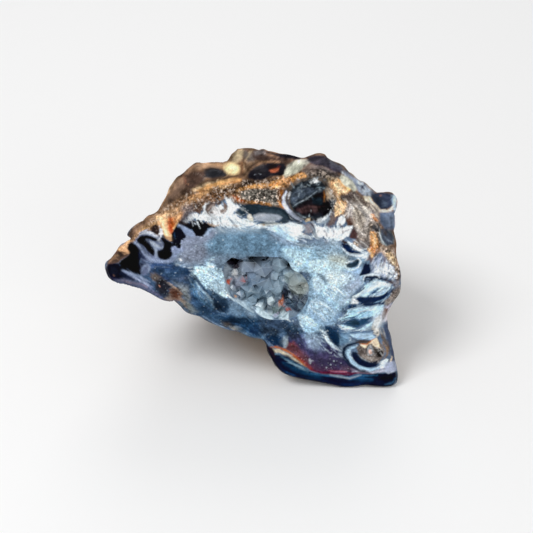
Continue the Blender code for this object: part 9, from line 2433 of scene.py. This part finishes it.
def tips(points, seeds, heights, spins, slope):
    """Depth of the nearest of the six-sided points that stand on a bed."""
    best = np.full(len(points), 1e9)
    for seed, height, spin in zip(seeds, heights, spins):
        away = points - seed
        reach_out = np.full(len(points), -1e9)
        for side in range(6):
            angle = spin + side * math.pi / 3
            reach_out = np.maximum(reach_out, away @ (math.cos(angle), math.sin(angle)))
        best = np.minimum(best, height + slope * reach_out)
    return best


def bed(made):
    """The bed of small crystals: a closed sheet that meets the pocket's lip and dips into the hollows."""
    lip = smooth_outline(MOUTH, 220)
    lip = CENTRE + (lip - CENTRE) * 0.992
    low, high = lip.min(axis=0), lip.max(axis=0)
    across, up = (np.arange(low[k], high[k], BED_STEP) for k in (0, 1))
    grid = np.stack(np.meshgrid(across, up), axis=-1).reshape(-1, 2)
    grid = grid[distance(grid, lip) < -0.6 * BED_STEP]
    count = len(lip)
    edges = [(k, (k + 1) % count) for k in range(count)]
    flat = [Vector(p) for p in np.concatenate([lip, grid])]
    found, _, triangles, *_ = delaunay_2d_cdt(flat, edges, [], 1, 1e-6)
    points = np.array([tuple(v) for v in found])
    rng = np.random.default_rng(8)
    seeds = low + (high - low) * rng.random((BED_CRYSTALS, 2))
    heights, spins = rng.uniform(0, 0.5, BED_CRYSTALS), rng.uniform(0, 1, BED_CRYSTALS)
    small = tips(points, seeds, heights, spins, 0.9)
    inside = np.maximum(-distance(points, lip), 0)
    depth = 0.1 + 1.7 * (1 - np.exp(-inside / 1.3)) + step(inside / 0.3) * (small - 0.3)
    spots = picture(np.stack([points[:, 0], np.full(len(points), 0.8), points[:, 1]], axis=1))
    for extra, hollow in HOLLOWS:
        depth += extra * step((0.8 - distance(spots, pairs(hollow))) / 2.2)
    depth = np.clip(depth, 0.05, 4.2)
    front = [made.verts.new((x, y, z)) for (x, z), y in zip(points, depth)]
    for triangle in triangles:
        made.faces.new([front[k] for k in triangle])
    near = front[:count]
    for back, share in ((2.0, 0.97), (4.6, 0.93), (6.4, 0.8)):
        far = [made.verts.new((x, back, z)) for x, z in CENTRE + (lip - CENTRE) * share]
        for quad in strip(near, far):
            made.faces.new(quad)
        near = far
    made.faces.new(near)


def add_large_crystals(made, rng):
    """The crystals that the photograph shows one by one. The large ones up the pocket grow together."""
    for x, y, depth, radius, length, across, up, spin in CRYSTALS:
        axis = Vector((across, -1, up)).normalized()
        above, large = float(step((302 - y) / 8)), float(step((radius - 0.7) / 0.3))
        radius *= 1 + 0.3 * above * large * (x < 295)
        add_crystal(made, rng, face_place(x, y, depth), radius, axis, spin, length, EDGE_HIGHLIGHT_WIDTH)


def add_small_crystals(made, rng):
    """Small crystals all over the bed, deeper in its hollows."""
    mouth = smooth_outline(MOUTH, 400)
    hollows = [(extra, pairs(hollow)) for extra, hollow in HOLLOWS]
    for k in range(SMALL_CRYSTALS):
        share = math.sqrt(rng.uniform(0.0, 0.98))
        x, z = CENTRE + (mouth[rng.randrange(400)] - CENTRE) * share
        radius = rng.uniform(0.15, 0.45)
        spot = picture(np.array([[x, 0.8, z]]))
        sunk = sum(0.8 * extra * float(distance(spot, hollow)[0] < 1.5) for extra, hollow in hollows)
        depth = 0.2 + 1.3 * (1 - share**6) + rng.uniform(-0.1, 0.5) + sunk
        axis = Vector((rng.uniform(-0.5, 0.5), -1.0, rng.uniform(-0.5, 0.5))).normalized()
        tip = Vector((x, max(depth, 0.12), z))
        add_crystal(made, rng, tip, radius, axis, rng.uniform(0, 6), radius * 3.5)


def quartz_colour(mesh):
    """Colour of every corner of the crystals' faces: mostly that of its own place, with a shade for each
    crystal, painted shading of each face, painted highlights along the edges and painted shade deeper in the
    pocket."""
    count = len(mesh.polygons)
    face_of = np.repeat(np.arange(count), read(mesh.polygons, "loop_total", kind=int))
    places = read(mesh.vertices, "co", 3)[read(mesh.loops, "vertex_index", kind=int)]
    middles = 0.3 * read(mesh.polygons, "center", 3)[face_of] + 0.7 * places
    spots = picture(middles)
    seen = np.ones(len(spots))
    bend = wander(spots, 9, 31, layered)
    fibre = fibre_field(spots)
    colour, _ = face_colour(spots, seen, fibre, bend)
    paint(colour, spots + 0.8 * bend, seen, fibre, POCKET)
    shades = {}
    for name in CRYSTAL_SHADES:
        shades[name] = read(mesh.attributes[name].data, "value")
        mesh.attributes.remove(mesh.attributes[name])
    # Each crystal's own tone, and a random shade for each face: painted shading of the facets
    colour *= (1 + 0.11 * shades["tint"] + 0.13 * shades["facet"])[face_of, None]
    # Painted highlight: the strips along the crystals' edges are paled
    blend(colour, "C4D4DE", 0.3 * shades["edge"][face_of])
    # Painted shade: the crystals grow darker the deeper they lie in the pocket, from 2.2 mm in
    colour *= (1 - 0.38 * step((middles[:, 1] - 2.2) / 2.0))[:, None] * QUARTZ_GAIN
    colour = 1.05 * np.maximum(colour - 0.004, 0.002) ** 1.05
    colour *= np.minimum(1, 0.92 / colour.max(axis=1, keepdims=True))
    return np.clip(colour, 0, 1)


def build_quartz():
    rng = random.Random(12)
    made = bmesh.new()
    for name in CRYSTAL_SHADES:
        made.faces.layers.float.new(name)
    bed(made)
    add_large_crystals(made, rng)
    add_small_crystals(made, rng)
    bmesh.ops.recalc_face_normals(made, faces=made.faces)
    mesh = bpy.data.meshes.new("quartz_look")
    made.to_mesh(mesh)
    made.free()
    colour_in(mesh, "markings", quartz_colour(mesh), "CORNER")
    return put_down("quartz_look", mesh, "quartz_druse", quartz_material())


# Floor, light and camera

FLOOR_REACH = 2.0
PAPER = (0.9, 0.9, 0.9, 1)
ROOM_LIGHT = 0.5
# Lamps: name, place in metres, power, width
LAMPS = (
    ("key", (-0.25, -0.2, 0.5), 1.75, 0.25),
    ("fill", (0.3, -0.4, 0.2), 0.35, 0.3),
    ("rim", (0.05, 0.4, 0.4), 0.5, 0.3),
)


def build_stage():
    mesh = bpy.data.meshes.new("floor")
    square = [(x * FLOOR_REACH, y * FLOOR_REACH, 0) for x, y in ((-1, -1), (1, -1), (1, 1), (-1, 1))]
    mesh.from_pydata(square, [], [(0, 1, 2, 3)])
    floor = bpy.data.objects.new("floor", mesh)
    bpy.context.scene.collection.objects.link(floor)
    material, _, shader = new_material("paper")
    shader.inputs["Base Color"].default_value = PAPER
    shader.inputs["Roughness"].default_value = 0.9
    mesh.materials.append(material)

    world = bpy.data.worlds.new("studio")
    world.use_nodes = True
    world.node_tree.nodes["Background"].inputs["Color"].default_value = (1, 1, 1, 1)
    world.node_tree.nodes["Background"].inputs["Strength"].default_value = ROOM_LIGHT
    bpy.context.scene.world = world

    for name, place, power, width in LAMPS:
        light = bpy.data.lights.new(name, "AREA")
        light.energy = power
        light.size = width
        obj = bpy.data.objects.new(name, light)
        obj.location = place
        obj.rotation_euler = (Vector((0, 0, 0.02)) - Vector(place)).to_track_quat("-Z", "Y").to_euler()
        bpy.context.scene.collection.objects.link(obj)


def build_camera():
    camera = bpy.data.cameras.new("camera")
    camera.lens = FOCAL
    camera.sensor_width = SENSOR
    camera.clip_start = 0.01
    obj = bpy.data.objects.new("camera", camera)
    away = Vector((0, -math.cos(CAMERA_HEIGHT), math.sin(CAMERA_HEIGHT))) * CAMERA_DISTANCE
    obj.location = (Vector(FACE_ORIGIN) + away) * MM
    obj.rotation_euler = (math.pi / 2 - CAMERA_HEIGHT, 0, 0)
    bpy.context.scene.collection.objects.link(obj)
    bpy.context.scene.camera = obj


build_camera()
build_stone()
build_quartz()
build_stage()
bpy.context.scene.view_settings.view_transform = "Standard"
